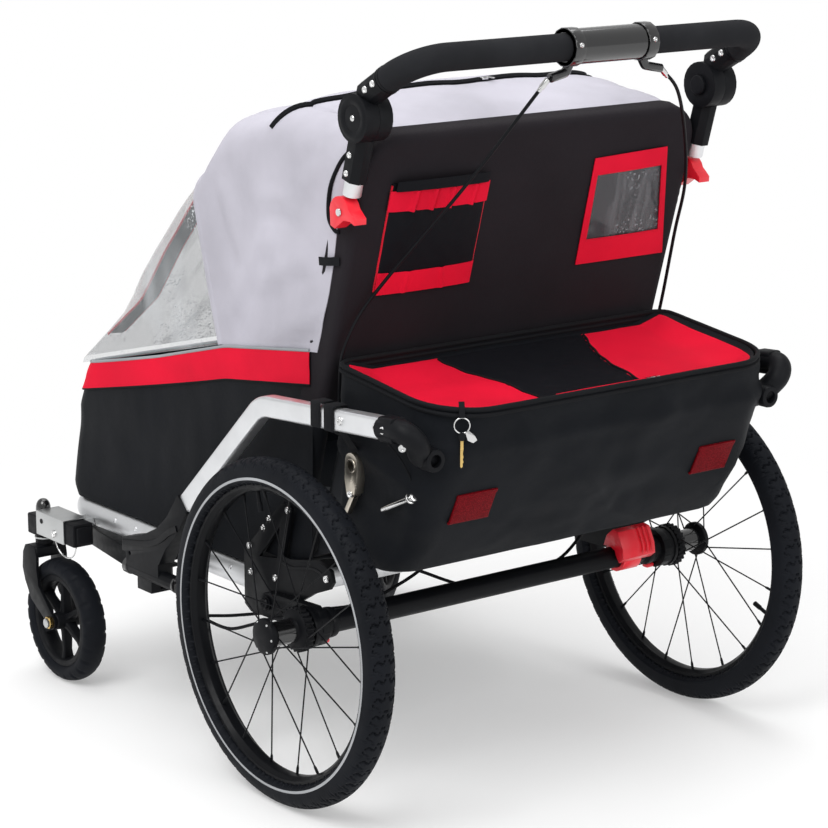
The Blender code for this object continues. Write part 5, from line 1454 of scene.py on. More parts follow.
@dataclass(frozen=True)
class Caster:
    """Stroller wheel with its swivel housing, fork and bracket."""

    side: int
    radius: float = 0.0997
    width: float = 0.04
    core: float = 0.074
    trail: float = 0.063
    stem_y: float = 0.717
    x: float = 0.348
    bar_z: float = 0.252

    @property
    def turn(self) -> float:
        """How far the caster has swivelled."""
        return 0.0 if self.side == LEFT else math.radians(-50)

    def turned_place(self, mesh: bpy.types.Mesh) -> bpy.types.Mesh:
        """A mesh written straight behind the stem, swivelled with the fork.

        Args:
            mesh: the mesh.

        Returns:
            The same mesh, in its place.
        """
        stem = Matrix.Translation((self.side * self.x, self.stem_y, 0))
        mesh.transform(stem @ Matrix.Rotation(self.turn, 4, "Z"))
        return mesh

    def tyre_mesh(self) -> bpy.types.Mesh:
        """Tyre with a low centre rib and small nicks along its shoulders.

        Returns:
            The mesh.
        """
        half, r = self.width / 2, self.radius
        left = [(self.core + 0.0004, -0.015), (self.core + 0.003, -half * 0.86), (self.core + 0.0075, -half),
                (r - 0.013, -half * 0.985), (r - 0.0085, -half * 0.93), (r - 0.005, -half * 0.8),
                (r - 0.0026, -half * 0.62), (r - 0.0012, -half * 0.42), (r - 0.0003, -half * 0.2)]
        profile = left + [(r, 0.0)] + [(a, -b) for a, b in reversed(left)]
        sides = 288
        count = len(profile)
        verts, faces = [], []
        for k in range(sides):
            angle = 2 * math.pi * k / sides
            for n, (rad, along) in enumerate(profile):
                nick = 0.0024 if k % 12 < 3 and abs(along) in (half * 0.62, half * 0.8, half * 0.93) else 0.0
                rad -= nick
                verts.append((along, -self.trail + rad * math.cos(angle),
                              self.radius + rad * math.sin(angle)))
        for k in range(sides):
            low, high = k * count, ((k + 1) % sides) * count
            faces.extend((low + n, low + (n + 1) % count, high + (n + 1) % count, high + n)
                         for n in range(count))
        return self.turned_place(mesh_from(verts, faces))

    def wheel_kit(self) -> Kit:
        """Six-spoked wheel centre.

        Returns:
            The gathered meshes.
        """
        at = (0, -self.trail, self.radius)
        rim = turned(((self.core, -0.0148), (self.core, 0.0148), (0.072, 0.015), (0.0665, 0.0148),
                      (0.0652, 0.0138), (0.063, 0.007), (0.0625, 0.0), (0.063, -0.007), (0.0652, -0.0138),
                      (0.0665, -0.0148), (0.072, -0.015)), 96, at)
        boss = turned(((0.0047, -0.0225), (0.012, -0.0225), (0.0135, -0.021), (0.0142, -0.01), (0.0142, 0.01),
                       (0.0135, 0.021), (0.012, 0.0225), (0.0047, 0.0225)), 48, at)
        kit = Kit().add(self.turned_place(rim), Finish.PLASTIC).add(self.turned_place(boss), Finish.PLASTIC)
        for k in range(6):
            angle = k * math.pi / 3 + math.pi / 6
            run = Vector((0, math.cos(angle), math.sin(angle)))
            spoke = swept([Vector(at) + run * 0.011, Vector(at) + run * 0.022, Vector(at) + run * 0.05,
                           Vector(at) + run * 0.0642], oblong(0.009, 0.017, 0.003, 3), (1, 0, 0),
                          scales=(1.25, 1.05, 0.9, 1.15))
            kit.add(self.turned_place(spoke), Finish.PLASTIC)
        return kit

    def fork_extras(self) -> Kit:
        """Nuts of the axle and the swivel's washer.

        Returns:
            The gathered meshes.
        """
        kit = Kit()
        hexagon = [(0.0104 * math.cos(math.radians(60 * k)), 0.0104 * math.sin(math.radians(60 * k)))
                   for k in range(6)]
        for s in (-1, 1):
            x = sorted((s * 0.0286, s * 0.0352))
            nut = prism([(y - self.trail, z + self.radius) for y, z in hexagon], Axis.X, *x)
            kit.add(self.turned_place(eased(nut, 0.0006)), Finish.BRASS if s == LEFT else Finish.ZINC)
            tip = turned(((0, s * 0.03), (0.0078, s * 0.03), (0.0078, s * 0.0382), (0.0066, s * 0.039),
                          (0, s * 0.0391)), 28, (0, -self.trail, self.radius))
            kit.add(self.turned_place(tip), Finish.ZINC)
        washer = turned(((0.01, 0.2215), (0.015, 0.2215), (0.0154, 0.2222), (0.0154, 0.2238), (0.015, 0.2245),
                         (0.01, 0.2245)), 40, (0, 0, 0), Axis.Z)
        return kit.add(self.turned_place(washer), Finish.ZINC)

    def build(self, shop: Shop) -> None:
        """Places the caster's pieces.

        Args:
            shop: places and reports the pieces.
        """
        letter = side_name(self.side)
        fork, roller = f"caster_fork_{letter}", f"caster_roller_{letter}"
        shop.place(f"caster_tyre_{letter}_fine", Kit().add(self.tyre_mesh(), Finish.TYRE), roller,
                   (f"caster_tyre_{letter}",), "tyre_rubber", 50)
        shop.place(f"caster_wheel_{letter}_fine", self.wheel_kit(), roller, (f"caster_wheel_{letter}",),
                   "black_plastic")
        shop.refine(f"caster_fork_{letter}", fork, Finish.PAINT, 0.0012, self.fork_extras(), "black_paint")
        x = self.side * self.x
        cap = turned([(0.0118, 0.262), (0.0122, 0.269), (0.0118, 0.2745), (0.0105, 0.279),
                      (0.0085, 0.2825), (0.0058, 0.285), (0.003, 0.286), (0, 0.2862), (0, 0.262)][::-1],
                     40, (x, self.stem_y, 0), Axis.Z)
        plug = eased(box((x - 0.0135, 0.5885, self.bar_z - 0.0135),
                         (x + 0.0135, 0.5945, self.bar_z + 0.0135)), 0.002)
        extra = Kit().add(cap, Finish.GLOSS).add(plug, Finish.PLASTIC)
        shop.refine(f"caster_housing_{letter}", "frame", Finish.PLASTIC, 0.0016, extra, "black_plastic")
        out = self.side
        face = x + out * (0.018 + 0.0003 + 0.0025)
        screws = studs(socket_bolt(0.0058, 0.0034), [(face, 0.648, 0.246)], [(out, 0, 0)], Finish.CHROME)
        hook = ((0.645, 0.235), (0.637, 0.224), (0.622, 0.2165), (0.603, 0.2165), (0.588, 0.225),
                (0.581, 0.238))
        wire = curve_through([(face, y, z) for y, z in hook], 34)
        hole = turned(((0, face - 0.002 * out), (0.0042, face - 0.002 * out), (0.0042, face + 0.0004 * out),
                       (0.0034, face + 0.0003 * out), (0, face + 0.0001 * out)), 24, (0, 0.688, 0.258))
        extra = Kit().add(screws, Finish.CHROME).strands([wire], 0.0012, Finish.CHROME, 8)
        extra.add(hole, Finish.PLASTIC)
        shop.refine(f"caster_clevis_{letter}", "frame", Finish.ZINC, 0.0008, extra, "zinc")


# Frame


@dataclass(frozen=True)
class Chassis:
    """Lower loop, side bars, brackets, suspension plates, crossbar and axle."""

    loop_half: float = 0.29
    loop_radius: float = 0.0215
    loop_z: float = 0.27
    bar_x: float = 0.346
    bar_width: float = 0.022
    bar_height: float = 0.03
    foot: Point = (0.286, 0.371)
    bend: Point = (0.087, 0.557)
    end: Point = (-0.222, 0.5795)
    axle_z: float = 0.25
    bolts: tuple = ((0.167, 0.289), (0.104, 0.294), (-0.022, 0.322), (0.169, 0.328), (0.134, 0.362),
                    (0.071, 0.402), (0.119, 0.379))

    def loop(self, shop: Shop) -> None:
        """Oval tube bent round the floor, with the seam where its ends meet.

        Args:
            shop: places and reports the pieces.
        """
        corners = ((-self.loop_half, 0.14, self.loop_z), (self.loop_half, 0.14, self.loop_z),
                   (self.loop_half, 0.724, self.loop_z), (-self.loop_half, 0.724, self.loop_z))
        path = rounded(corners, (0.06, 0.06, 0.08, 0.08), closed=True, step=4)
        tube = swept(path, circle(self.loop_radius, 40), (0, 0, 1), closed=True)
        collar = swept([(0.035, 0.14, self.loop_z), (-0.035, 0.14, self.loop_z)],
                       circle(self.loop_radius + 0.0012, 40), (0, 0, 1))
        kit = Kit().add(tube, Finish.ALLOY).add(eased(collar, 0.0008), Finish.ALLOY)
        points, aims = [], []
        for s in (LEFT, RIGHT):
            for y in (0.235, 0.5, 0.56):
                points.append((s * (self.loop_half + self.loop_radius * 0.92), y,
                               self.loop_z + self.loop_radius * 0.36))
                aims.append((s * 0.93, 0, 0.37))
        kit.studs(pan_rivet(0.0042, 0.0018), points, aims, Finish.ALLOY)
        shop.place("lower_frame_fine", kit, "frame", ("lower_frame",), "satin_alloy")

    def side_bar(self, shop: Shop, side: int) -> None:
        """Rectangular tube with one bend, and the bolts through its ends.

        Args:
            shop: places and reports the pieces.
            side: LEFT or RIGHT.
        """
        points = [(side * self.bar_x, *p) for p in (self.foot, self.bend, self.end)]
        path = rounded(points, 0.055, step=3)
        bar = swept(path, oblong(self.bar_height, self.bar_width, 0.0042, 5), (side, 0, 0))
        kit = Kit().add(eased(bar, 0.0005, 1, 60), Finish.ALLOY)
        out = self.bar_x + self.bar_width / 2
        places = [(side * out, -0.191, 0.579), (side * out, -0.11, 0.5725)]
        kit.bolts(0.0062, 0.0032, places, (side, 0, 0))
        shop.place(f"side_bar_{side_name(side)}_fine", kit, "frame", (f"side_bar_{side_name(side)}",),
                   "satin_alloy")

    def bracket(self, shop: Shop, side: int) -> None:
        """Gusset at the bar's foot with its strap, and the tow arm's receiver on the left.

        Args:
            shop: places and reports the pieces.
            side: LEFT or RIGHT.
        """
        kit = Kit()
        arch = ((0.301, 0.33), (0.322, 0.32), (0.346, 0.304), (0.372, 0.292), (0.405, 0.284), (0.452, 0.276))
        strap = curve_through([(side * 0.3606, y, z) for y, z in arch], 26)
        kit.add(swept(strap, oblong(0.01, 0.003, 0.0012, 3), (side, 0, 0)), Finish.PAINT)
        if side == LEFT:
            x, z = -0.3485, 0.237
            kit.add(rod(0.0118, 0.318, 0.456, (x, 0, z), Axis.Y, 40), Finish.PLASTIC)
            kit.add(rod(0.0132, 0.446, 0.4585, (x, 0, z), Axis.Y, 40, 0.0015), Finish.GLOSS)
            kit.add(rod(0.013, 0.3165, 0.322, (x, 0, z), Axis.Y, 40, 0.0012), Finish.GLOSS)
            ring = [Vector((x, 0.4602, z)) + Vector((math.cos(a), 0, math.sin(a))) * 0.0085
                    for a in np.linspace(0, 2 * math.pi, 41)]
            kit.strands([ring], 0.0011, Finish.CHROME, 8)
        shop.refine(f"frame_bracket_{side_name(side)}", "frame", Finish.PAINT, 0.0014, kit, "black_paint")

    def plate(self, shop: Shop, side: int) -> None:
        """Suspension plate with its bolt heads.

        Args:
            shop: places and reports the pieces.
            side: LEFT or RIGHT.
        """
        face = side * 0.3178
        places = [(face, y, z) for y, z in self.bolts]
        kit = Kit().bolts(0.0056, 0.0036, places, (side, 0, 0))
        kit.bolts(0.0086, 0.0042, [(side * 0.3333, 0.11, 0.257)], (side, 0, 0), Finish.PAINT)
        rim = [(0.0, y, z) for y, z in ((-0.028, 0.3205), (0.01, 0.329), (0.06, 0.319), (0.092, 0.322))]
        kit.add(swept(curve_through([(face, *p[1:]) for p in rim], 30), oblong(0.005, 0.0024, 0.001, 3),
                      (side, 0, 0)), Finish.PAINT)
        shop.refine(f"suspension_plate_{side_name(side)}", "frame", Finish.PAINT, 0.0012, kit, "black_paint")

    def crossbar(self, shop: Shop) -> None:
        """Moulded crossbar with an elbow and an open socket at each end.

        Args:
            shop: places and reports the pieces.
        """
        y, z = -0.233, 0.5385
        run = (Vector(self.end) - Vector(self.bend)).normalized()
        start, knee = Vector(self.end) - run * 0.03, Vector(self.end) + run * 0.037
        half = [(-self.bar_x, *start), (-self.bar_x, *knee), (-0.314, y, z)]
        points = half + [(-px, py, pz) for px, py, pz in reversed(half)]
        path = rounded(points, [0, 0.0198, 0.03, 0.03, 0.0198, 0], step=6)
        kit = Kit().add(swept(path, circle(0.0165, 40), (0, -0.6, 1)), Finish.PLASTIC)
        points, aims = [], []
        for side in (LEFT, RIGHT):
            x = side * 0.308
            socket = turned(((0.009, y - 0.0245), (0.009, y - 0.012), (0.0, y - 0.0118), (0.0, y),
                             (0.015, y), (0.016, y - 0.004), (0.016, y - 0.0205), (0.015, y - 0.024),
                             (0.0105, y - 0.025)), 40, (x, 0, z), Axis.Y)
            kit.add(socket, Finish.PLASTIC)
            sleeve = swept([(side * self.bar_x, *(Vector(self.end) + run * 0.004)),
                            (side * self.bar_x, *(Vector(self.end) - run * 0.026))],
                           oblong(0.0345, 0.0265, 0.006, 5), (side, 0, 0))
            kit.add(eased(sleeve, 0.0012), Finish.PLASTIC)
            points += [(side * 0.3592, -0.21, 0.579), (side * 0.352, -0.242, 0.56),
                       (side * 0.33, -0.2465, 0.547)]
            aims += [(side, 0, 0), (side * 0.7, -0.7, 0.1), (side * 0.3, -0.9, 0.2)]
        kit.studs(socket_bolt(0.0058, 0.003), points, aims, Finish.CHROME)
        shop.place("rear_crossbar_fine", kit, "frame", ("rear_crossbar",), "black_plastic")

    def axle(self, shop: Shop) -> None:
        """Axle tube with its barrels and arms, the brake lever and the release buttons.

        Args:
            shop: places and reports the pieces.
        """
        kit = Kit()
        for side in (LEFT, RIGHT):
            groove = ((0.0166, 0.294), (0.0216, 0.296), (0.0222, 0.3), (0.0222, 0.304), (0.0216, 0.306),
                      (0.0166, 0.308))
            ring = turned(mirrored(groove, side), 48, (0, 0, self.axle_z))
            kit.add(ring, Finish.PAINT)
            heads = [(side * 0.3452, 0.02 * math.cos(a), self.axle_z + 0.02 * math.sin(a))
                     for a in (0.6, 2.7, 4.8)]
            kit.bolts(0.0034, 0.0022, heads, (side, 0, 0))
        kit.add(rod(0.01655, -0.292, 0.292, (0, 0, self.axle_z), Axis.X, 48), Finish.PAINT)
        shop.refine("rear_axle", "axle", Finish.PAINT, 0.001, kit, "black_paint")
        rib = Kit()
        for x in (0.2655, 0.2745, 0.2835):
            curve = ((-0.0375, 0.01), (-0.0345, 0.024), (-0.0225, 0.048), (-0.0238, 0.049),
                     (-0.0365, 0.0245), (-0.0395, 0.01))
            fin = prism([(y, self.axle_z + z) for y, z in curve], Axis.X, x - 0.0015, x + 0.0015)
            rib.add(eased(fin, 0.0005, 1), Finish.RED_PLASTIC)
        shop.refine("parking_lever", "parking_lever", Finish.RED_PLASTIC, 0.0034, rib, "red_plastic")
        for side in (LEFT, RIGHT):
            name = f"release_button_{side_name(side)}"
            shop.refine(name, name, Finish.RED_PLASTIC, 0.0012, None, "red_plastic")

    def build(self, shop: Shop) -> None:
        """Places the frame's pieces.

        Args:
            shop: places and reports the pieces.
        """
        self.loop(shop)
        for side in (LEFT, RIGHT):
            self.side_bar(shop, side)
            self.bracket(shop, side)
            self.plate(shop, side)
        self.crossbar(shop)
        self.axle(shop)
        shop.refine("tow_arm", "tow_arm", Finish.PAINT, 0.003, None, "black_paint")


# Hoops and handle


LEAN = math.atan2(0.292, 1.0)


def hoop_y(z: float) -> float:
    """Y of the rear hoop's plane at a height."""
    return 0.103 - (z - 0.297) * math.tan(LEAN)


def lean_point(x: float, z: float, back: float = 0.0) -> Vector:
    """Point on the rear hoop's plane, moved square to it towards the back."""
    return Vector((x, hoop_y(z) - back * math.cos(LEAN), z - back * math.sin(LEAN)))


def rearward(_at: Vector) -> Vector:
    """The way that the hoop's plane faces, the same at every point."""
    return Vector((0, -math.cos(LEAN), -math.sin(LEAN)))


@dataclass(frozen=True)
class Handle:
    """Rear hoop, roof bow, uprights, tilting handle, brake and latches."""

    hoop_x: float = 0.287
    upright_x: float = 0.3125
    joint: Point = (-0.11, 0.98)
    grip: Point = (-0.215, 1.0645)
    sleeve_end: Point = (-0.16, 1.034)
    latch: Point = (-0.0655, 0.848)
    foot_z: float = 0.297
    top_z: float = 0.935
    bow_z: float = 0.56

    def upright_y(self, z: float) -> float:
        """Y of an upright's centre line."""
        return self.joint[0] - math.tan(LEAN) * (z - self.joint[1])

    def hoop_kit(self) -> Kit:
        """Hoop tube with eyes, uprights, their brackets and the latch pins.

        Returns:
            The gathered meshes.
        """
        points = [lean_point(-self.hoop_x, self.foot_z), lean_point(-self.hoop_x, self.top_z),
                  lean_point(self.hoop_x, self.top_z), lean_point(self.hoop_x, self.foot_z)]
        kit = Kit().add(swept(rounded(points, 0.06, step=4), circle(0.0115, 32), (0, 1, 0.3)), Finish.ALLOY)
        for s in (LEFT, RIGHT):
            bush = ((0.0063, 0.2735), (0.0115, 0.2735), (0.0125, 0.2745), (0.0125, 0.2995),
                    (0.0115, 0.3005), (0.0063, 0.3005))
            eye = turned(mirrored(bush, s), 32, (0, 0.103, self.foot_z))
            kit.add(eye, Finish.ALLOY)
            x = s * self.upright_x
            low, high = 0.872, 0.9425
            tube = swept([(x, self.upright_y(low), low), (x, self.upright_y(high), high)], circle(0.013, 40),
                         (0, 1, 0.3))
            kit.add(eased(tube, 0.0008), Finish.ALLOY)
            tie = 0.882
            strip = swept([(s * self.hoop_x, hoop_y(tie), tie), (x, self.upright_y(tie), tie)],
                          oblong(0.0085, 0.0135, 0.002, 3), (0, 0, 1))
            kit.add(strip, Finish.ALLOY)
            stem = ((0, 0.287), (0.0029, 0.287), (0.0029, 0.3248), (0.0052, 0.3248), (0.0055, 0.3254),
                    (0.005, 0.3266), (0, 0.3268))
            pin = turned(mirrored(stem, s), 24, (0, *self.latch))
            kit.add(pin, Finish.CHROME)
            bow_pin = turned(mirrored(((0, 0.25), (0.0028, 0.25), (0.0028, 0.283), (0, 0.283)), s), 20,
                             (0, hoop_y(self.bow_z), self.bow_z))
            kit.add(bow_pin, Finish.ZINC)
            heads = [(s * (self.hoop_x + 0.0108), hoop_y(z), z) for z in (0.795, 0.72)]
            kit.bolts(0.005, 0.003, heads, (s, 0, 0))
        return kit

    def bow_kit(self) -> Kit:
        """Front hoop inside the canopy.

        Returns:
            The gathered meshes.
        """
        foot, top = Vector((0, hoop_y(self.bow_z), self.bow_z)), Vector((0, 0.25, 0.882))
        x = Vector((0.262, 0, 0))
        path = rounded([foot - x, top - x, top + x, foot + x], 0.06, step=4)
        kit = Kit().add(swept(path, circle(0.0095, 28), (0, -0.8, 0.6)), Finish.ALLOY)
        for s in (LEFT, RIGHT):
            kit.add(turned(mirrored(((0.0033, 0.251), (0.011, 0.251), (0.011, 0.273), (0.0033, 0.273)), s),
                           28, (0, foot[1], foot[2])), Finish.ALLOY)
        return kit

    def joints(self, shop: Shop, side: int) -> None:
        """Tilting joint: two sleeves with screws, a ribbed disc and its button.

        Args:
            shop: places and reports the pieces.
            side: LEFT or RIGHT.
        """
        letter = side_name(side)
        out = side * 0.334
        y, z = self.joint
        lower = Kit()
        outline = ((0.017, 0.3338), (0.018, 0.3338), (0.0186, 0.3348), (0.0262, 0.3352), (0.0275, 0.3346),
                   (0.03, 0.3338), (0.017, 0.3325))
        disc = turned(mirrored(outline, side), 64, (0, y, z))
        lower.add(disc, Finish.PLASTIC)
        lower.studs(pan_rivet(0.0044, 0.0024), [(out, y, z)], [(side, 0, 0)], Finish.CHROME)
        screws = [(side * (self.upright_x + 0.015), self.upright_y(h), h) for h in (0.9035, 0.929)]
        lower.bolts(0.0046, 0.0024, screws, (side, 0, 0))
        shop.refine(f"joint_lower_{letter}", "hoop", Finish.PLASTIC, 0.0016, lower, "black_plastic")
        upper = Kit()
        run = Vector((0, self.grip[0] - self.sleeve_end[0], self.grip[1] - self.sleeve_end[1])).normalized()
        end = Vector((side * self.upright_x, *self.sleeve_end))
        aim = Vector((side, 0, 0))
        for face in (aim, -aim):
            upper.bolts(0.005, 0.0026, [end - run * d + face * 0.018 for d in (0.01, 0.029)], face)
        ring = swept([end - run * 0.0045, end - run * 0.0005], circle(0.0198, 40), (side, 0, 0))
        upper.add(eased(ring, 0.001), Finish.PLASTIC)
        shop.refine(f"joint_upper_{letter}", "handle", Finish.PLASTIC, 0.0016, upper, "black_plastic")
        shop.refine(f"joint_button_{letter}", f"joint_button_{letter}", Finish.PLASTIC, 0.0012, None,
                    "black_plastic")

    def bar(self, shop: Shop) -> None:
        """Foam covered handle bar.

        Args:
            shop: places and reports the pieces.
        """
        run = (Vector((0, *self.grip)) - Vector((0, *self.sleeve_end))).normalized()
        start = Vector((self.upright_x, *self.sleeve_end)) + run * 0.0003
        points = [Vector((-start[0], start[1], start[2])), Vector((-self.upright_x, *self.grip)),
                  Vector((self.upright_x, *self.grip)), start]
        path = rounded(points, 0.055, step=4)
        fine = resampled(path, 180)
        kit = Kit().add(swept(fine, circle(0.019, 48), (0, -0.5, -0.87)), Finish.FOAM)
        for s in (LEFT, RIGHT):
            ring = swept([Vector((s * self.upright_x, *self.sleeve_end)) + run * 0.0004,
                          Vector((s * self.upright_x, *self.sleeve_end)) + run * 0.005], circle(0.0197, 40),
                         (s, 0, 0))
            kit.add(eased(ring, 0.0008), Finish.PLASTIC)
        shop.place("handle_bar_fine", kit, "handle", ("handle_bar",), "foam")

    def brake(self, shop: Shop) -> None:
        """Brake clamp rings and cable lugs, and the twisting sleeve between them.

        Args:
            shop: places and reports the pieces.
        """
        y, z = self.grip
        kit = Kit()
        for x in (-0.049, 0.083):
            profile = ((0.0192, x - 0.009), (0.025, x - 0.009), (0.0262, x - 0.0078), (0.0265, x),
                       (0.0262, x + 0.0078), (0.025, x + 0.009), (0.0192, x + 0.009))
            kit.add(turned(profile, 64, (0, y, z)), Finish.GLOSS)
            kit.bolts(0.0036, 0.0024, [(x, y - 0.0255, z + 0.004)], (0, -1, 0.15))
        for cable in CABLES:
            start, lead = Vector(cable.points[0]), Vector(cable.points[1])
            run = (lead - start).normalized()
            ferrule = swept([start - run * 0.002, start + run * 0.013], circle(0.0041, 20), (0.3, 1, 0.2))
            neck = swept([start + run * 0.012, start + run * 0.019], circle(0.0032, 20), (0.3, 1, 0.2))
            kit.add(eased(ferrule, 0.0006), Finish.CHROME).add(eased(neck, 0.0004), Finish.CHROME)
        shop.refine("brake_body", "handle", Finish.GLOSS, 0.0012, kit, "gloss_black")
        marks = np.linspace(-0.0385, 0.0725, 25)
        ribs = [(0.0242 + 0.0002 * (k % 2), m) for k, m in enumerate(marks)]
        profile = [(0.0209, marks[0]), *ribs, (0.0209, marks[-1])]
        shop.place("brake_grip_fine", Kit().add(turned(profile, 64, (0, y, z)), Finish.GLOSS), "brake_grip",
                   ("brake_grip",), "gloss_black")

    def build(self, shop: Shop) -> None:
        """Places the handle's pieces.

        Args:
            shop: places and reports the pieces.
        """
        shop.place("rear_hoop_fine", self.hoop_kit(), "hoop", ("rear_hoop",), "satin_alloy")
        sleeves = Kit()
        for s in (LEFT, RIGHT):
            path = [lean_point(s * self.hoop_x, z) for z in (0.44, 0.452, 0.5, 0.56, 0.612, 0.64)]
            sleeves.add(swept(path, circle(0.0134, 32), (s, 0, 0), scales=(0.93, 1.0, 1.02, 1.0, 1.02, 1.0)),
                        Finish.BLACK_CLOTH)
        shop.place("hoop_sleeves", sleeves, "hoop", (), "black_fabric")
        shop.place("roof_bow_fine", self.bow_kit(), "bow", ("roof_bow",), "satin_alloy")
        for side in (LEFT, RIGHT):
            self.joints(shop, side)
            shop.refine(f"latch_lever_{side_name(side)}", f"latch_{side_name(side)}", Finish.RED_PLASTIC,
                        0.0042, None, "red_plastic")
        self.bar(shop)
        self.brake(shop)


# Cabin cloth


def blended(stations: Sequence[Sequence], rows: int) -> np.ndarray:
    """Smooth rows of numbers through a few given rows.

    Args:
        stations: the given rows.
        rows: how many rows to return.

    Returns:
        Table of numbers.
    """
    table = np.array([np.hstack([np.ravel(part) for part in s]) for s in stations], float)
    ends = np.vstack([2 * table[0] - table[1], table, 2 * table[-1] - table[-2]])
    out = []
    for t in np.linspace(0, len(table) - 1, rows):
        k = min(int(t), len(table) - 2)
        f = t - k
        p0, p1, p2, p3 = ends[k:k + 4]
        out.append(0.5 * (2 * p1 + (p2 - p0) * f + (2 * p0 - 5 * p1 + 4 * p2 - p3) * f * f
                          + (3 * p1 - p0 - 3 * p2 + p3) * f ** 3))
    return np.array(out)


class Wall(Enum):
    """Stretches of the tub's wall, from its left rear end round to its right one."""

    LEFT_SIDE = 1
    LEFT_CORNER = 2
    FRONT = 3
    RIGHT_CORNER = 4
    RIGHT_SIDE = 5


@dataclass(frozen=True)
class Cabin:
    """Canopy, clear window, tub, red band and seats."""

    half: float = 0.3035
    bend: float = 0.05
    roof: tuple = (((0.034, 0.6381), (-0.08, 0.95), 0.0), ((0.066, 0.6336), (-0.016, 0.962), 0.012),
                   ((0.11, 0.6276), (0.06, 0.968), 0.018), ((0.15, 0.6226), (0.12, 0.97), 0.016),
                   ((0.19, 0.6176), (0.19, 0.957), 0.011), ((0.225, 0.6126), (0.257, 0.923), 0.007),
                   ((0.2607, 0.6086), (0.3247, 0.848), 0.004))
    nose: Point = (0.655, 0.5141)
    nose_height: float = 0.012
    rim: tuple = ((0.022, 0.638), (0.261, 0.607), (0.666, 0.51))
    side_folds: tuple = (
        (0.157, 0.842, 0.055, 0.829, 0.012, 0.0045), (0.16, 0.813, 0.135, 0.807, 0.01, 0.003),
        (0.161, 0.772, 0.121, 0.78, 0.01, 0.004), (0.158, 0.713, 0.046, 0.764, 0.014, 0.005),
        (0.149, 0.632, 0.0, 0.692, 0.013, 0.005), (0.243, 0.646, 0.167, 0.75, 0.014, 0.004),
        (0.01, 0.9, 0.06, 0.86, 0.014, 0.003), (0.25, 0.84, 0.2, 0.76, 0.016, 0.003))

    def section(self, half: float, height: float, crown: float, bend: float) -> list[tuple[float, float]]:
        """Across and up points of one arched row, from right foot to left foot.

        Args:
            half: half the width.
            height: height of the row.
            crown: rise of the roof at its middle.
            bend: radius of the upper corners.

        Returns:
            The (across, up) points.
        """
        flat = half - bend
        side = [(half, (height - bend) * t) for t in np.linspace(0, 1, 19)]
        arc = [(flat + bend * math.cos(a), height - bend + bend * math.sin(a))
               for a in np.linspace(0, math.pi / 2, 10)[1:]]
        bows = np.linspace(0, math.pi, 35)[1:-1]
        top = [(flat * math.cos(a), height + crown * math.sin(a) ** 0.8) for a in bows]
        right = side + arc
        return right + top + [(-x, h) for x, h in reversed(right)]

    def rows(self, stations: np.ndarray, shrink: float = 0.0) -> np.ndarray:
        """Table of the skin's points.

        Args:
            stations: foot Y and Z, top Y and Z, and crown of each row.
            shrink: how far the skin lies inside.

        Returns:
            Table of points.
        """
        table = []
        for fy, fz, ty, tz, crown in stations:
            rise = math.hypot(ty - fy, tz - fz)
            up = ((ty - fy) / rise, (tz - fz) / rise)
            bend = min(self.bend, rise * 0.6) - shrink
            section = self.section(self.half - shrink, rise - shrink, crown, bend)
            table.append([(x, fy + up[0] * h, fz + up[1] * h) for x, h in section])
        return np.array(table)

    def bulged(self, points: np.ndarray) -> np.ndarray:
        """The skin pushed out in front of the roof bow, as a bow and cloth under tension do.

        Args:
            points: the skin, which is changed in place.

        Returns:
            The same table.
        """
        y, z = points[..., 1], points[..., 2]
        swell = np.clip(1 - ((y - 0.4) / 0.2) ** 2, 0, 1) ** 1.5 * np.clip((z - 0.6) / 0.07, 0, 1) * 0.015
        points[..., 1] += swell * 0.66
        points[..., 2] += swell * 0.75
        return points

    def side_share(self, points: np.ndarray) -> np.ndarray:
        """1 on the flat sides, 0 on the roof."""
        share = np.clip((np.abs(points[..., 0]) - self.half + 0.02) / 0.018, 0, 1)
        return share * share * (3 - 2 * share)

    def canopy_points(self) -> np.ndarray:
        """The canopy's skin, with its rear edge drawn in and its soft folds.

        Returns:
            Table of points.
        """
        points = self.rows(blended(self.roof, 72), 0.0008)
        heights = (0.6, 0.639, 0.724, 0.77, 0.818, 1.0)
        edge = (-0.0165, -0.0165, -0.0136, -0.0086, 0.0, 0.0)
        near = np.exp(-np.linspace(0, 1, 72) / 0.16)[:, None]
        beside = np.clip((np.abs(points[..., 0]) - 0.22) / 0.05, 0, 1)
        points[..., 1] += np.interp(points[..., 2], heights, edge) * near * beside
        normal = normals_of(points, (0, 0.12, 0.75))
        side = self.side_share(points)
        folds = creases(points[..., 1], points[..., 2], self.side_folds) * side * 1.5
        soft = ripple(points, (7, 9, 7), 3.1) * 0.0058 + ripple(points, (15, 20, 13), 8.4) * 0.0024
        roof = (1 - side) * (ripple(points, (3.4, 16, 5), 5.5) * 0.0055)
        down = np.linspace(0, 1, 72)[:, None]
        hold = np.clip(down * 14, 0.25, 1) * np.clip((1 - down) * 14, 0, 1)
        foot = np.clip((points[..., 2] - 0.615) / 0.03, 0.1, 1)
        points += normal * ((folds + soft + roof) * hold * foot)[..., None]
        return self.bulged(points)

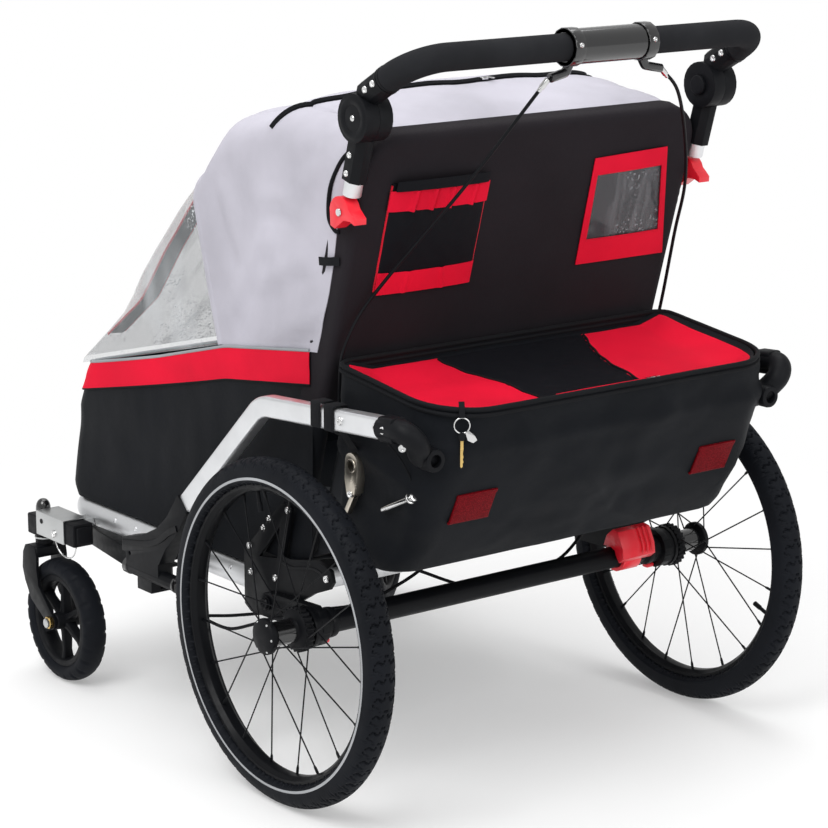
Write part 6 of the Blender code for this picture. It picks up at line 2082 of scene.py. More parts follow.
    def film_points(self) -> np.ndarray:
        """The window's skin, from the canopy to the nose.

        Returns:
            Table of points.
        """
        foot, top = np.array((0.261, 0.6086)), np.array((0.325, 0.848))
        nose = np.array(self.nose)
        stations = []
        for t in np.linspace(0, 1, 64):
            low = foot + (nose - foot) * t
            high = top + (nose + (-0.004, self.nose_height) - top) * t
            stations.append((*low, *high, 0.004 * (1 - t)))
        points = self.rows(np.array(stations), 0.001)
        normal = normals_of(points, (0, 0.3, 0.6))
        wave = ripple(points, (6, 7, 9), 1.7) * 0.0032 + ripple(points, (15, 26, 20), 6.2) * 0.0012
        t = np.linspace(0, 1, 64)[:, None]
        hold = np.clip(t * 12, 0, 1) * np.clip((1 - t) * 10, 0, 1)
        points += normal * (wave * hold)[..., None]
        return self.bulged(points)

    def canopy(self, shop: Shop) -> None:
        """Grey canopy with its stitches, the cords at its sides, the roof zip and two side tabs.

        Args:
            shop: places and reports the pieces.
        """
        points = self.canopy_points()
        kit = Kit().sheet(points, 0.0012, Finish.GREY_CLOTH)
        middle = Vector((0, 0.12, 0.75))

        def outward(at: Vector) -> Vector:
            """The way that the canopy faces at a point.

            Args:
                at: the point.

            Returns:
                The direction, of length 1.
            """
            if abs(at[0]) > self.half - 0.01:
                return Vector((math.copysign(1.0, at[0]), 0, 0))
            return (at - middle).normalized() if abs(at[0]) > 0.26 else Vector((0, 0, 1))

        lines = [points[k] for k in (2, 68)]
        kit.stitches([[Vector(p) for p in line[::2]] for line in lines], outward, Finish.GREY_CLOTH, 0.005)
        piece = shop.place("canopy_cloth", kit, "frame", ("canopy",), "grey_fabric", 60)
        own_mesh(piece)
        kit = Kit()
        for s in (LEFT, RIGHT):
            loop = [(s * 0.29, -0.074, 0.943), (s * 0.301, -0.062, 0.93), (s * 0.3062, -0.044, 0.911),
                    (s * 0.3068, -0.0215, 0.875), (s * 0.3068, -0.017, 0.835), (s * 0.3056, -0.029, 0.817),
                    (s * 0.303, -0.037, 0.815)]
            kit.strands([curve_through(loop, 60)], 0.003, Finish.TAPE, 10)
        columns = points.shape[1]
        zip_row = []
        for c in range(20, columns - 20):
            share = abs(2 * c / (columns - 1) - 1)
            y = 0.066 + 0.062 * min(1.0, share / 0.55) ** 2
            r = int(np.argmin(np.abs(points[:, c, 1] - y)))
            low, high = (r, r + 1) if points[r, c, 1] < y else (r - 1, r)
            f = (y - points[low, c, 1]) / (points[high, c, 1] - points[low, c, 1])
            at = points[low, c] * (1 - f) + points[high, c] * f
            zip_row.append(Vector(at) + Vector((0, 0, 0.0022)))
        strip = swept(curve_through(zip_row, 90), oblong(0.0015, 0.013, 0.0006, 2), (0, 0, 1))
        kit.add(strip, Finish.TAPE)
        teeth = curve_through([p + Vector((0, 0, 0.0014)) for p in zip_row], 330)
        kit.studs(zip_tooth(0.002), teeth, [(0, 0, 1)] * len(teeth), Finish.PLASTIC,
                  [b - a for a, b in zip(teeth, teeth[1:])] + [teeth[-1] - teeth[-2]])
        at = teeth[150]
        slider = eased(box((at[0] - 0.006, at[1] - 0.005, at[2]),
                           (at[0] + 0.006, at[1] + 0.005, at[2] + 0.004)), 0.0015)
        kit.add(slider, Finish.CHROME)
        kit.add(eased(box((at[0] + 0.004, at[1] - 0.016, at[2] + 0.0025),
                          (at[0] + 0.009, at[1] + 0.001, at[2] + 0.0042)), 0.0008), Finish.CHROME)
        piece = shop.place("canopy_trim", kit, "frame", (), "black_fabric", 50)
        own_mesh(piece)
        kit = Kit()
        for s in (LEFT, RIGHT):
            path = [(s * 0.3085, 0.0035, 0.77), (s * 0.3092, -0.008, 0.7712), (s * 0.3088, -0.022, 0.7728),
                    (s * 0.307, -0.03, 0.774), (s * 0.305, -0.039, 0.7745)]
            kit.add(swept(curve_through(path, 22), oblong(0.012, 0.0018, 0.0007, 2), (s, 0, 0)), Finish.TAPE)
        piece = shop.place("canopy_tabs", kit, "frame", (), "black_fabric")
        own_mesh(piece)

    def window(self, shop: Shop) -> None:
        """Clear film with a zip down each front corner.

        Args:
            shop: places and reports the pieces.
        """
        points = self.film_points()
        piece = shop.place("window_film", Kit().sheet(points, 0.0007, Finish.FILM), "frame", ("window",),
                           "clear_film", 70)
        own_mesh(piece)
        kit = Kit()
        columns = points.shape[1]
        for column in (30, columns - 31):
            line = [Vector(p) for p in points[1:-6:3, column]]
            tilt = 0.1 if line[0][0] > 0 else -0.1
            normal = [Vector((tilt, 0.68, 0.72)).normalized()] * len(line)
            path = curve_through([p - n * 0.002 for p, n in zip(line, normal)], 90)
            kit.add(swept(path, oblong(0.03, 0.0014, 0.0006, 2), normal[0]), Finish.TAPE)
            run = (path[-1] - path[0]).normalized()
            aside = normal[0].cross(run)
            for shift in (-0.0165, 0.0165):
                kit.strands([[p + aside * shift + normal[0] * 0.0004 for p in path]], 0.0017,
                            Finish.RED_PIPING, 8)
            teeth = curve_through([p + normal[0] * 0.0016 for p in path], 240)
            kit.studs(zip_tooth(0.0022), teeth, [normal[0]] * 240, Finish.PLASTIC, [run] * 240)
        hem = [Vector(p) for p in points[0]]
        kit.add(swept(curve_through(hem, 150), oblong(0.003, 0.012, 0.001, 2), (0, 1, 0.2)),
                Finish.GREY_CLOTH)
        piece = shop.place("window_trim", kit, "frame", (), "black_fabric", 50)
        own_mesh(piece)

    def front_y(self, z: float) -> float:
        """Y of the tub's front wall at a height."""
        return float(np.interp(z, (0.2918, 0.309, 0.442, 0.51, 0.56), (0.716, 0.727, 0.707, 0.666, 0.63)))

    def wrap(self, low: Callable[[float], float], high: Callable[[float], float], rows: int,
             grow: float) -> np.ndarray:
        """Sheet round the tub's sides and front between two heights given by Y.

        Args:
            low: height of the lower edge at a Y.
            high: height of the upper edge at a Y.
            rows: rows of points.
            grow: how far the sheet lies outside the tub.

        Returns:
            Table of points.
        """
        half, bend, rear = self.half + grow, self.bend + grow, 0.034
        columns = [(Wall.LEFT_SIDE, 0.0)]
        for kind, count in ((Wall.LEFT_SIDE, 60), (Wall.LEFT_CORNER, 16), (Wall.FRONT, 50),
                            (Wall.RIGHT_CORNER, 16), (Wall.RIGHT_SIDE, 60)):
            columns += [(kind, f) for f in np.linspace(0, 1, count)[1:]]
        table = []
        for v in np.linspace(0, 1, rows):
            row = []
            for kind, f in columns:
                def at(front: float) -> tuple[float, float]:
                    """Place of this column where the front wall stands at a given Y.

                    Args:
                        front: the front wall's Y.

                    Returns:
                        The column's X and Y.
                    """
                    if kind is Wall.LEFT_SIDE:
                        return -half, rear + f * (front - bend - rear)
                    if kind is Wall.RIGHT_SIDE:
                        return half, rear + (1 - f) * (front - bend - rear)
                    if kind is Wall.FRONT:
                        return (-1 + 2 * f) * (half - bend), front
                    left = kind is Wall.LEFT_CORNER
                    a = math.pi - f * math.pi / 2 if left else (1 - f) * math.pi / 2
                    s = -1 if left else 1
                    return s * (half - bend) + bend * math.cos(a), front - bend + bend * math.sin(a)
                _, y = at(0.666 + grow)
                bottom, top = low(y), high(y)
                z = bottom + (top - bottom) * v
                row.append((*at(self.front_y(z) + grow), z))
            table.append(row)
        return np.array(table)

    def rim_z(self, y: float) -> float:
        """Height of the tub's rim."""
        return float(np.interp(y, [p[0] for p in self.rim], [p[1] for p in self.rim]))

    def wall_aim(self, at: Vector) -> Vector:
        """The way that the tub's walls face at a point."""
        return Vector((at[0], (at[1] - 0.35) * 0.6, 0)).normalized()

    def tub(self, shop: Shop) -> None:
        """Dark lower cloth: sides, front and floor.

        Args:
            shop: places and reports the pieces.
        """
        def bottom(y: float) -> float:
            """Height of the cloth's lower edge, which rises over the axle."""
            return float(np.interp(y, (0.0, 0.15, 0.175, 1.0), (0.32, 0.32, 0.2922, 0.2922)))

        def top(y: float) -> float:
            """Height of the cloth's upper edge."""
            return self.rim_z(y) - 0.002

        points = self.wrap(bottom, top, 34, -0.001)
        outward = normals_of(points, (0, 0.35, 0.42))
        v = np.linspace(0, 1, 34)[:, None]
        hold = np.sin(np.pi * np.clip(v, 0.02, 0.98))
        wave = ripple(points, (8, 8, 12), 2.2) * 0.0042 + ripple(points, (24, 24, 10), 9.2) * 0.002 - 0.0026
        points += outward * (wave * hold)[..., None]
        kit = Kit().sheet(points, 0.0016, Finish.BLACK_CLOTH)
        table = []
        for y in np.linspace(0.165, 0.716, 50):
            w = self.half - 0.002 - (drawn_in(self.bend, y - 0.666) if y > 0.666 else 0.0)
            table.append([(x, y, 0.2942 + 0.001 * noise.noise(Vector((x * 9, y * 9, 1))))
                          for x in np.linspace(w, -w, 50)])
        kit.sheet(np.array(table), 0.0016, Finish.BLACK_CLOTH)
        tongue = [[(x, y, 0.294) for x in np.linspace(0.266, -0.266, 30)]
                  for y in np.linspace(0.096, 0.172, 8)]
        kit.sheet(np.array(tongue), 0.0016, Finish.BLACK_CLOTH)
        seam = [Vector(p) for p in points[2, ::3]]
        kit.stitches([seam], self.wall_aim, Finish.PLASTIC, 0.005)
        piece = shop.place("tub_cloth", kit, "frame", ("tub",), "black_fabric", 60)

    def band(self, shop: Shop) -> None:
        """Red band under the rim, piped along both edges.

        Args:
            shop: places and reports the pieces.
        """
        def lower_edge(y: float) -> float:
            """Height of the band's lower edge."""
            return self.rim_z(y) - 0.046

        points = self.wrap(lower_edge, self.rim_z, 11, 0.0016)
        outward = normals_of(points, (0, 0.35, 0.5))
        v = np.linspace(0, 1, 11)[:, None]
        relief = ripple(points, (10, 10, 30), 4.4) * 0.0016 + 0.0006
        points += outward * (relief * np.sin(np.pi * v))[..., None]
        kit = Kit().sheet(points, 0.001, Finish.RED_CLOTH)
        kit.stitches([[Vector(p) for p in points[r, ::3]] for r in (1, 9)], self.wall_aim,
                     Finish.RED_PIPING, 0.0048)
        piece = shop.place("red_band_cloth", kit, "frame", ("red_band",), "red_fabric", 60)
        kit = Kit()
        top = curve_through([Vector(p) + Vector((0, 0, 0.0022)) for p in points[-1, ::2]], 260)
        low = curve_through([Vector(p) + Vector((0, 0, -0.001)) for p in points[0, ::2]], 260)
        kit.strands([top], 0.0024, Finish.PIPING, 10)
        kit.strands([low], 0.0016, Finish.TAPE, 8)
        patch = curve_through([(x, 0.674, 0.488) for x in (-0.045, 0.0, 0.045)], 8)
        kit.add(swept(patch, oblong(0.0012, 0.03, 0.0005, 2), (0, 0, 1)), Finish.TAPE)
        shop.place("band_piping", kit, "frame", (), "black_fabric")

    def seats(self, shop: Shop) -> None:
        """Padded seat and back.

        Args:
            shop: places and reports the pieces.
        """
        def on_floor(x: float, y: float, h: float) -> Vector:
            """Point of the seat, at a height over the floor."""
            return Vector((x, 0.14 + y, 0.2952 + h))

        def on_hoop(x: float, up: float, h: float) -> Vector:
            """Point of the seat's back, at a distance in front of the hoop."""
            return lean_point(x, 0.2951 + up * math.cos(LEAN) - 0.0125 * math.sin(LEAN), -0.0125 - h)

        Cushion("seat_pad", "seat_cushion", 0.246, 0.276, 0.03, on_floor).build(shop)
        back = Cushion("back_pad", "seat_back", 0.246, 0.512, 0.02, on_hoop).build(shop)
        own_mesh(back)

    def build(self, shop: Shop) -> None:
        """Places the cabin's pieces.

        Args:
            shop: places and reports the pieces.
        """
        self.tub(shop)
        self.band(shop)
        self.canopy(shop)
        self.window(shop)
        self.seats(shop)


@dataclass(frozen=True)
class Cushion:
    """Pad for two seats, swollen by a short cloth simulation."""

    name: str
    node: str
    half: float
    length: float
    thick: float
    place: Callable[[float, float, float], Vector]
    cap: float = 0.009

    def shape(self) -> bpy.types.Mesh:
        """Start of the pad: crowned over each seat, drawn in at the sides and along the middle.

        Returns:
            The mesh.
        """
        upper, lower, rows, columns = [], [], 26, 48
        for r in range(rows + 1):
            v = r / rows
            for c in range(columns + 1):
                u = -1 + 2 * c / columns
                seat = abs(2 * abs(u) - 1)
                fall = (1 - seat ** 4) * (1 - (2 * v - 1) ** 6)
                x = u * (self.half - 0.006 * math.sin(math.pi * v) * abs(u) ** 6)
                y = 0.003 + v * self.length
                upper.append(self.place(x, y, 0.001 + self.thick * (0.3 + 0.65 * fall)))
                lower.append(self.place(x, y, 0.001))
        size, wide = len(upper), columns + 1
        faces = []
        for r in range(rows):
            for c in range(columns):
                a = r * wide + c
                faces.append((a, a + 1, a + 1 + wide, a + wide))
                faces.append((size + a, size + a + wide, size + a + 1 + wide, size + a + 1))
        ring = list(range(wide))
        ring += [r * wide + columns for r in range(1, rows + 1)]
        ring += [rows * wide + c for c in range(columns - 1, -1, -1)]
        ring += [r * wide for r in range(rows - 1, 0, -1)]
        faces.extend((a, b, size + b, size + a) for a, b in zip(ring, ring[1:] + ring[:1]))
        return mesh_from(upper + lower, faces)

    def swollen(self, mesh: bpy.types.Mesh) -> bpy.types.Mesh:
        """The pad under pressure, with no point moved further than the cap.

        Args:
            mesh: the pad's start.

        Returns:
            The mesh.
        """
        scene = bpy.context.scene
        item = linked("pad", mesh)
        remesh = item.modifiers.new("remesh", "REMESH")
        remesh.mode = "VOXEL"
        remesh.voxel_size = 0.006
        bpy.context.view_layer.update()
        graph = bpy.context.evaluated_depsgraph_get()
        even = bpy.data.meshes.new_from_object(item.evaluated_get(graph))
        item.modifiers.clear()
        item.data = even
        rest = np.zeros(len(even.vertices) * 3)
        even.vertices.foreach_get("co", rest)
        cloth = item.modifiers.new("cloth", "CLOTH")
        cloth.settings.quality = 5
        cloth.settings.use_pressure = True
        cloth.settings.uniform_pressure_force = 4.0
        cloth.settings.effector_weights.gravity = 0.0
        cloth.point_cache.frame_start, cloth.point_cache.frame_end = 1, 20
        for frame in range(1, 21):
            scene.frame_set(frame)
        graph = bpy.context.evaluated_depsgraph_get()
        result = bpy.data.meshes.new_from_object(item.evaluated_get(graph))
        moved = np.zeros(len(result.vertices) * 3)
        result.vertices.foreach_get("co", moved)
        step = (moved - rest).reshape(-1, 3)
        length = np.linalg.norm(step, axis=1, keepdims=True)
        step *= np.minimum(1.0, self.cap / np.maximum(length, 1e-9))
        result.vertices.foreach_set("co", (rest.reshape(-1, 3) + step).ravel())
        result.update()
        bpy.data.objects.remove(item)
        scene.frame_set(1)
        return result

    def build(self, shop: Shop) -> bpy.types.Object:
        """Places the pad.

        Args:
            shop: places and reports the pieces.

        Returns:
            The placed object.
        """
        mesh = self.swollen(self.shape())
        kit = Kit().add(mesh, Finish.SEAT_CLOTH)
        piece = shop.place(self.name, kit, "frame", (self.node,), "seat_fabric", 80)
        return piece


# Back panel and bag


@dataclass(frozen=True)
class BackPanel:
    """Rear cloth on the hoop, with an organizer and a map pocket."""

    face: float = 0.0186

    def patch(self, x: Point, z: Point, depth: Callable[[float, float], float], columns: int = 40,
              rows: int = 30) -> np.ndarray:
        """Table of points over a rectangle, standing off the hoop's plane by a depth of (u, v).

        Args:
            x: left and right edge.
            z: lower and upper edge.
            depth: depth of (u, v).
            columns: points across.
            rows: points up.

        Returns:
            Table of points.
        """
        table = []
        for v in np.linspace(0, 1, rows):
            table.append([lean_point(x[0] + (x[1] - x[0]) * u, z[0] + (z[1] - z[0]) * v, depth(u, v))
                          for u in np.linspace(0, 1, columns)])
        return np.array([[tuple(p) for p in row] for row in table])

    def wrapped(self, x: float, z: float) -> Vector:
        """Point of the panel's cloth, which folds forward round the hoop beyond its outline.

        Args:
            x: place across, as if the cloth were flat.
            z: height, as if it were flat.

        Returns:
            The point.
        """
        half, top, corner, fold, back = 0.3008, 0.952, 0.055, 0.008, 0.0158
        broad = noise.noise(Vector((x * 7, z * 9, 3))) * 0.0024
        fine = noise.noise(Vector((x * 20, z * 26, 7))) * 0.0008
        wave = broad + fine
        dx, dz = abs(x) - (half - corner), z - (top - corner)
        if dx > 0 and dz > 0:
            reach = math.hypot(dx, dz)
            out, aside, up = reach - corner, dx / reach, dz / reach
        elif dx > dz + 1e-9:
            out, aside, up = abs(x) - half, 1.0, 0.0
        else:
            out, aside, up = z - top, 0.0, 1.0
        bent = out + fold
        if bent <= 0:
            return lean_point(x, z, back + wave * min(1.0, -bent / 0.05))
        angle = min(bent / fold, math.pi / 2)
        inward = bent - fold * math.sin(angle)
        off = back - fold + fold * math.cos(angle) - max(0.0, bent - fold * math.pi / 2)
        return lean_point(x - math.copysign(aside * inward, x), z - up * inward, off)

    def cloth(self, shop: Shop) -> None:
        """The panel itself, wrapped round the hoop's sides and top.

        Args:
            shop: places and reports the pieces.
        """
        table = []
        for v in np.linspace(0, 1, 84):
            z = 0.545 + (0.978 - 0.545) * v
            grown = 0.3008 + 0.047 - 0.021 * max(0.0, min(1.0, (z - 0.8) / 0.05))
            if z > 0.897:
                corner = 0.055 + 0.026
                grown -= drawn_in(corner, z - 0.897)
            table.append([tuple(self.wrapped(u * grown, z)) for u in np.linspace(-1, 1, 150)])
        points = np.array(table)
        kit = Kit().sheet(points, 0.0018, Finish.PANEL_CLOTH, flip=True)
        inner = [self.wrapped(-0.289, z) for z in np.linspace(0.63, 0.9, 20)]
        high = [self.wrapped(x, 0.9395) for x in np.linspace(-0.25, 0.25, 40)]
        kit.stitches([inner, [Vector((-p[0], p[1], p[2])) for p in inner], high], rearward, Finish.PLASTIC,
                     0.005)
        piece = shop.place("back_panel_cloth", kit, "hoop", ("back_panel",), "black_fabric", 60)

    def organizer(self, shop: Shop) -> None:
        """Black pocket with a pleated red band, a red foot band and red piping.

        Args:
            shop: places and reports the pieces.
        """
        f = self.face

        def puff(u: float, v: float) -> float:
            """How far the filled pocket stands out."""
            fill = math.sin(math.pi * min(1, max(0, u))) ** 0.5
            return 0.0075 * fill * math.sin(math.pi * (0.12 + 0.76 * v))

        def filled(u: float, v: float) -> float:
            """Depth of the pocket's front."""
            return f + puff(u, v) + 0.0007 * noise.noise(Vector((u * 9, v * 9, 2)))

        body = self.patch((-0.25, -0.083), (0.732, 0.888), filled, 60, 50)
        kit = Kit().sheet(body, 0.0014, Finish.BLACK_CLOTH, flip=True)
        pleats = (0.235, 0.42, 0.6, 0.83)

        def pleated(u: float, v: float) -> float:
            """Depth of the upper band, with its pleats.

            Args:
                u: share of the way across.
                v: share of the way up.

            Returns:
                The depth behind the hoop's plane.
            """
            lift = 0.0
            for p in pleats:
                d = u - p - (v - 0.5) * 0.03
                lift += 0.0052 * math.exp(-(d / 0.02) ** 2) - 0.0034 * math.exp(-((d - 0.034) / 0.012) ** 2)
            return f + 0.0022 + puff(u, 0.8 + v * 0.12) + lift

        top = self.patch((-0.253, -0.081), (0.849, 0.878), pleated, 130, 9)
        kit.sheet(top, 0.0012, Finish.RED_CLOTH, flip=True)

        def creased(u: float, v: float) -> float:
            """Depth of the lower band, with its two creases.

            Args:
                u: share of the way across.
                v: share of the way up.

            Returns:
                The depth behind the hoop's plane.
            """
            left = 0.0018 * math.exp(-((u - 0.28 - 0.02 * v) / 0.02) ** 2)
            right = 0.0018 * math.exp(-((u - 0.68 + 0.04 * v) / 0.02) ** 2)
            return f + 0.002 + puff(u, 0.02 + v * 0.2) + left + right

        low = self.patch((-0.25, -0.083), (0.728, 0.76), creased, 90, 9)
        kit.sheet(low, 0.0012, Finish.RED_CLOTH, flip=True)

        def sloped(u: float, v: float) -> float:
            """Depth of the flap over the pocket's mouth."""
            return f + 0.006 + puff(u, 0.9) * (1 - 0.5 * v)

        flap = self.patch((-0.2465, -0.0865), (0.8785, 0.8925), sloped, 60, 6)
        kit.sheet(flap, 0.0016, Finish.BLACK_CLOTH, flip=True)
        for column in (0, -1):
            kit.strands([curve_through([Vector(p) for p in body[::4, column]], 40)], 0.0018,
                        Finish.RED_PIPING, 8)
        kit.stitches([[Vector(p) for p in row[::6]] for row in (top[1], top[-2], low[-2], low[1])],
                     rearward, Finish.RED_PIPING, 0.0042)
        piece = shop.place("organizer_pocket", kit, "hoop", (), "red_fabric", 60)

    def map_pocket(self, shop: Shop) -> None:
        """Clear window in a red frame.

        Args:
            shop: places and reports the pieces.
        """
        f = self.face

        def at(u: float, v: float, depth: float) -> Vector:
            """Point of the pocket, which narrows towards its top.

            Args:
                u: share of the way across.
                v: share of the way up.
                depth: depth behind the hoop's plane.

            Returns:
                The point.
            """
            left, right = 0.115 - 0.005 * v, 0.285 - 0.038 * v
            z = 0.7305 + (0.161 + 0.006 * u) * v
            return lean_point(left + (right - left) * u, z, depth)

        size = 44
        table = [[tuple(at(u, v, f + 0.0015 + 0.003 * math.sin(math.pi * u) * math.sin(math.pi * v)))
                  for u in np.linspace(0, 1, size)] for v in np.linspace(0, 1, size)]
        sheet = grid(np.array(table), flip=True)
        work = bmesh.new()
        work.from_mesh(sheet)
        work.faces.ensure_lookup_table()
        gone = []
        for r in range(size - 1):
            for c in range(size - 1):
                u, v = (c + 0.5) / (size - 1), (r + 0.5) / (size - 1)
                if 0.065 < u < 0.925 and 0.235 < v < 0.835:
                    gone.append(work.faces[r * (size - 1) + c])
        bmesh.ops.delete(work, geom=gone, context="FACES")
        work.to_mesh(sheet)
        work.free()
        kit = Kit().add(thick(sheet, 0.0014), Finish.RED_CLOTH)
        film = []
        for v in np.linspace(0, 1, 30):
            row = []
            for u in np.linspace(0, 1, 40):
                bulge = 0.003 * math.sin(math.pi * u) * math.sin(math.pi * v)
                wave = 0.0006 * noise.noise(Vector((u * 6, v * 9, 4)))
                row.append(tuple(at(0.04 + 0.91 * u, 0.2 + 0.67 * v, f + 0.0002 + bulge + wave)))
            film.append(row)
        kit.sheet(np.array(film), 0.0005, Finish.POCKET_FILM, flip=True)
        rect = [at(u, v, f + 0.005) for u, v in ((0.055, 0.225), (0.5, 0.225), (0.935, 0.225))]
        high = [at(u, v, f + 0.005) for u, v in ((0.055, 0.845), (0.5, 0.845), (0.935, 0.845))]
        kit.stitches([rect, high, [rect[0], high[0]], [rect[2], high[2]]], rearward, Finish.RED_PIPING,
                     0.0042)
        piece = shop.place("map_pocket", kit, "hoop", (), "red_fabric", 60)

    def build(self, shop: Shop) -> None:
        """Places the panel's pieces.

        Args:
            shop: places and reports the pieces.
        """
        self.cloth(shop)
        self.organizer(shop)
        self.map_pocket(shop)


@dataclass(frozen=True)
class Bag:
    """Boot bag that hangs from the crossbar, its lid and reflectors."""

    half: float = 0.304
    low_half: float = 0.302
    front: float = -0.03
    rear: tuple = ((0.36, -0.16), (0.4, -0.192), (0.457, -0.225), (0.522, -0.256), (0.555, -0.264),
                   (0.6, -0.275))
    corner: float = 0.08

    def outline(self, half: float, rear: float, front: float, corner: float, count: int) -> np.ndarray:
        """Even points round one level, from the front middle over the right side.

        Args:
            half: half the width.
            rear: Y of the rear side.
            front: Y of the front side.
            corner: radius of the rear corners.
            count: how many points.

        Returns:
            The (X, Y) points.
        """
        tight = 0.02
        corners = [Vector((half, front, 0)), Vector((half, rear, 0)), Vector((-half, rear, 0)),
                   Vector((-half, front, 0))]
        path = rounded(corners, [tight, corner, corner, tight], closed=True, step=5)
        loop = [Vector((0, front, 0))]
        start = max(range(len(path)), key=lambda k: path[k][0] if abs(path[k][1] - front) < 1e-6 else -9)
        ordered = path[start:] + path[:start]
        loop += ordered + [Vector((0, front, 0))]
        marks = [0.0]
        for a, b in zip(loop, loop[1:]):
            marks.append(marks[-1] + (b - a).length)
        goals = np.linspace(0, marks[-1], count + 1)[:-1]
        xs = np.interp(goals, marks, [p[0] for p in loop])
        ys = np.interp(goals, marks, [p[1] for p in loop])
        return np.stack([xs, ys], axis=1)

    def shell(self) -> np.ndarray:
        """The bag's cloth from the middle of its floor to its rim.

        Returns:
            Table of points.
        """
        heights = np.array([p[0] for p in self.rear])
        rears = np.array([p[1] for p in self.rear])
        count, table = 240, []
        for share in np.linspace(0.04, 0.97, 14):
            ring = self.outline(self.low_half * share + 0.02 * (1 - share), -0.095 - 0.065 * share,
                                -0.095 + 0.065 * share, min(0.034, 0.03 * share + 0.004), count)
            sag = -0.01 * (1 - share ** 2)
            table.append([(x, y, 0.3585 + sag) for x, y in ring])
        for z in np.linspace(0.36, 0.6, 64):
            smooth = blended([(h, r) for h, r in self.rear], 200)
            rear = float(np.interp(z, smooth[:, 0], smooth[:, 1]))
            share = (z - 0.36) / 0.24
            half = self.low_half + (self.half - self.low_half) * min(1.0, share * 1.6)
            ring = self.outline(half, rear, self.front, 0.032 + (self.corner - 0.032) * share ** 2, count)
            rise = 0.03 * share ** 2
            table.append([(x, y, z + rise * (y - rear) / (self.front - rear)) for x, y in ring])
        points = np.array(table)
        middle = np.array([0, -0.12, 0.47])
        outward = points - middle
        outward[..., 2] *= 0.25
        outward /= np.linalg.norm(outward, axis=2, keepdims=True)
        z = points[..., 2]
        level = np.clip((z - 0.365) / 0.235, 0, 1)
        hold = np.clip((z - 0.355) / 0.02, 0, 1) * np.clip((0.612 - z) / 0.025, 0, 1)
        belly = np.sin(np.pi * level) * 0.006
        wave = ripple(points, (9, 7, 11), 2.9) * 0.0085 + ripple(points, (24, 18, 30), 7.7) * 0.0045
        phase = points[..., 0] * 26 + z * 40 + 2.6 * ripple(points, (5, 5, 7), 1.2)
        diagonal = (1 - np.abs(np.sin(phase / 2))) ** 2 * 0.006
        bar = 0.006 * np.exp(-((z - 0.545) / 0.012) ** 2) * np.clip((-0.2 - points[..., 1]) / 0.03, 0, 1)
        crumple = -0.006 * np.exp(-((z - 0.415) / 0.03) ** 2) * np.clip((-0.1 - points[..., 1]) / 0.05, 0, 1)
        lift = (belly * 0.5 + wave + diagonal + bar + crumple) * hold
        near = np.clip(1.6 - np.hypot((np.abs(points[..., 0]) - 0.222) / 0.055, (z - 0.457) / 0.05), 0, 1)
        near *= points[..., 1] < -0.15
        points += outward * (lift * (1 - near) - 0.001 * near)[..., None]
        return points

    def wall_aim(self, at: Vector) -> Vector:
        """The way that the bag's walls face at a point."""
        return Vector((at[0], (at[1] + 0.12) * 2, 0)).normalized()

    def body(self, shop: Shop) -> None:
        """Bag shell with its piped rim and seams.

        Args:
            shop: places and reports the pieces.
        """
        points = self.shell()
        kit = Kit().sheet(points, 0.0016, Finish.BLACK_CLOTH, wrap=True)
        rim = [Vector(p) for p in points[-1, ::3]]
        rim = curve_through(rim + [rim[0]], 320)
        for lift, out in ((0.0022, 0.0012), (-0.0058, 0.0022)):
            path = [p + Vector((p[0] / 0.304 * out, out * (-1 if p[1] < -0.1 else 1) * 0.6, lift))
                    for p in rim]
            kit.strands([path], 0.0034 if lift > 0 else 0.0027, Finish.TAPE, 10)
        kit.stitches([[Vector(p) for p in points[-6, ::4]]], self.wall_aim, Finish.PLASTIC, 0.005)
        kit.stitches([[Vector(p) for p in points[20, ::4]]], self.wall_aim, Finish.PLASTIC, 0.005)
        piece = shop.place("bag_shell", kit, "frame", ("bag",), "black_fabric", 60)

    def net_half(self, y: float) -> float:
        """Half the width of the lid's net, which grows towards the front."""
        return 0.09 + 1.04 * (y + 0.25) ** 2

    def lid(self, shop: Shop) -> None:
        """Sagging lid: dark net between two red panels, with a zip along its rear.

        Args:
            shop: places and reports the pieces.
        """
        rear, front = -0.2725, -0.032
        table, columns, rows = [], 151, 46
        for r in range(rows):
            v = r / (rows - 1)
            v = v * v * (3 - 2 * v) * 0.6 + v * 0.4
            y = rear + v * (front - rear)
            inset = 0.0
            if y < rear + 0.078:
                inset = drawn_in(0.078, rear + 0.078 - y)
            if y > front - 0.018:
                inset = drawn_in(0.018, y - front + 0.018)
            w = 0.3015 - inset
            row = []
            for u in np.linspace(-1, 1, columns):
                x = u * w
                side, back, front_share = (1 - abs(u)) / 0.16, v / 0.22, min(1.0, (1 - v) / 0.3)
                edge = min(1.0, side) * min(1.0, back) * (0.35 + 0.65 * front_share)
                rimmed = 0.6015 + 0.03 * v
                sag = 0.023 * math.sin(edge * math.pi / 2)
                broad = noise.noise(Vector((x * 9, y * 12, 6))) * 0.0034
                fine = noise.noise(Vector((x * 26, y * 30, 2))) * 0.0011
                row.append((x, y, rimmed - sag + (broad + fine) * edge))
            table.append(row)
        points = np.array(table)
        mesh = grid(points)
        numbers = []
        for r in range(rows - 1):
            y = points[r, 0, 1]
            for c in range(columns - 1):
                x = float(points[r, c, 0] + points[r, c + 1, 0]) / 2
                rim = r < 3 or r > rows - 4 or c < 2 or c > columns - 4
                numbers.append(2 if rim else (1 if abs(x) > self.net_half(y) else 0))
        mesh.polygons.foreach_set("material_index", numbers)
        kit = Kit().add(thick(mesh, 0.0012), Finish.NET, Finish.RED_CLOTH, Finish.BLACK_CLOTH)
        up = Vector((0, 0, 1))
        lines = []
        for s in (LEFT, RIGHT):
            line = []
            for r in range(3, rows - 3, 3):
                y = points[r, 0, 1]
                c = int(np.argmin(np.abs(points[r, :, 0] - s * self.net_half(y))))
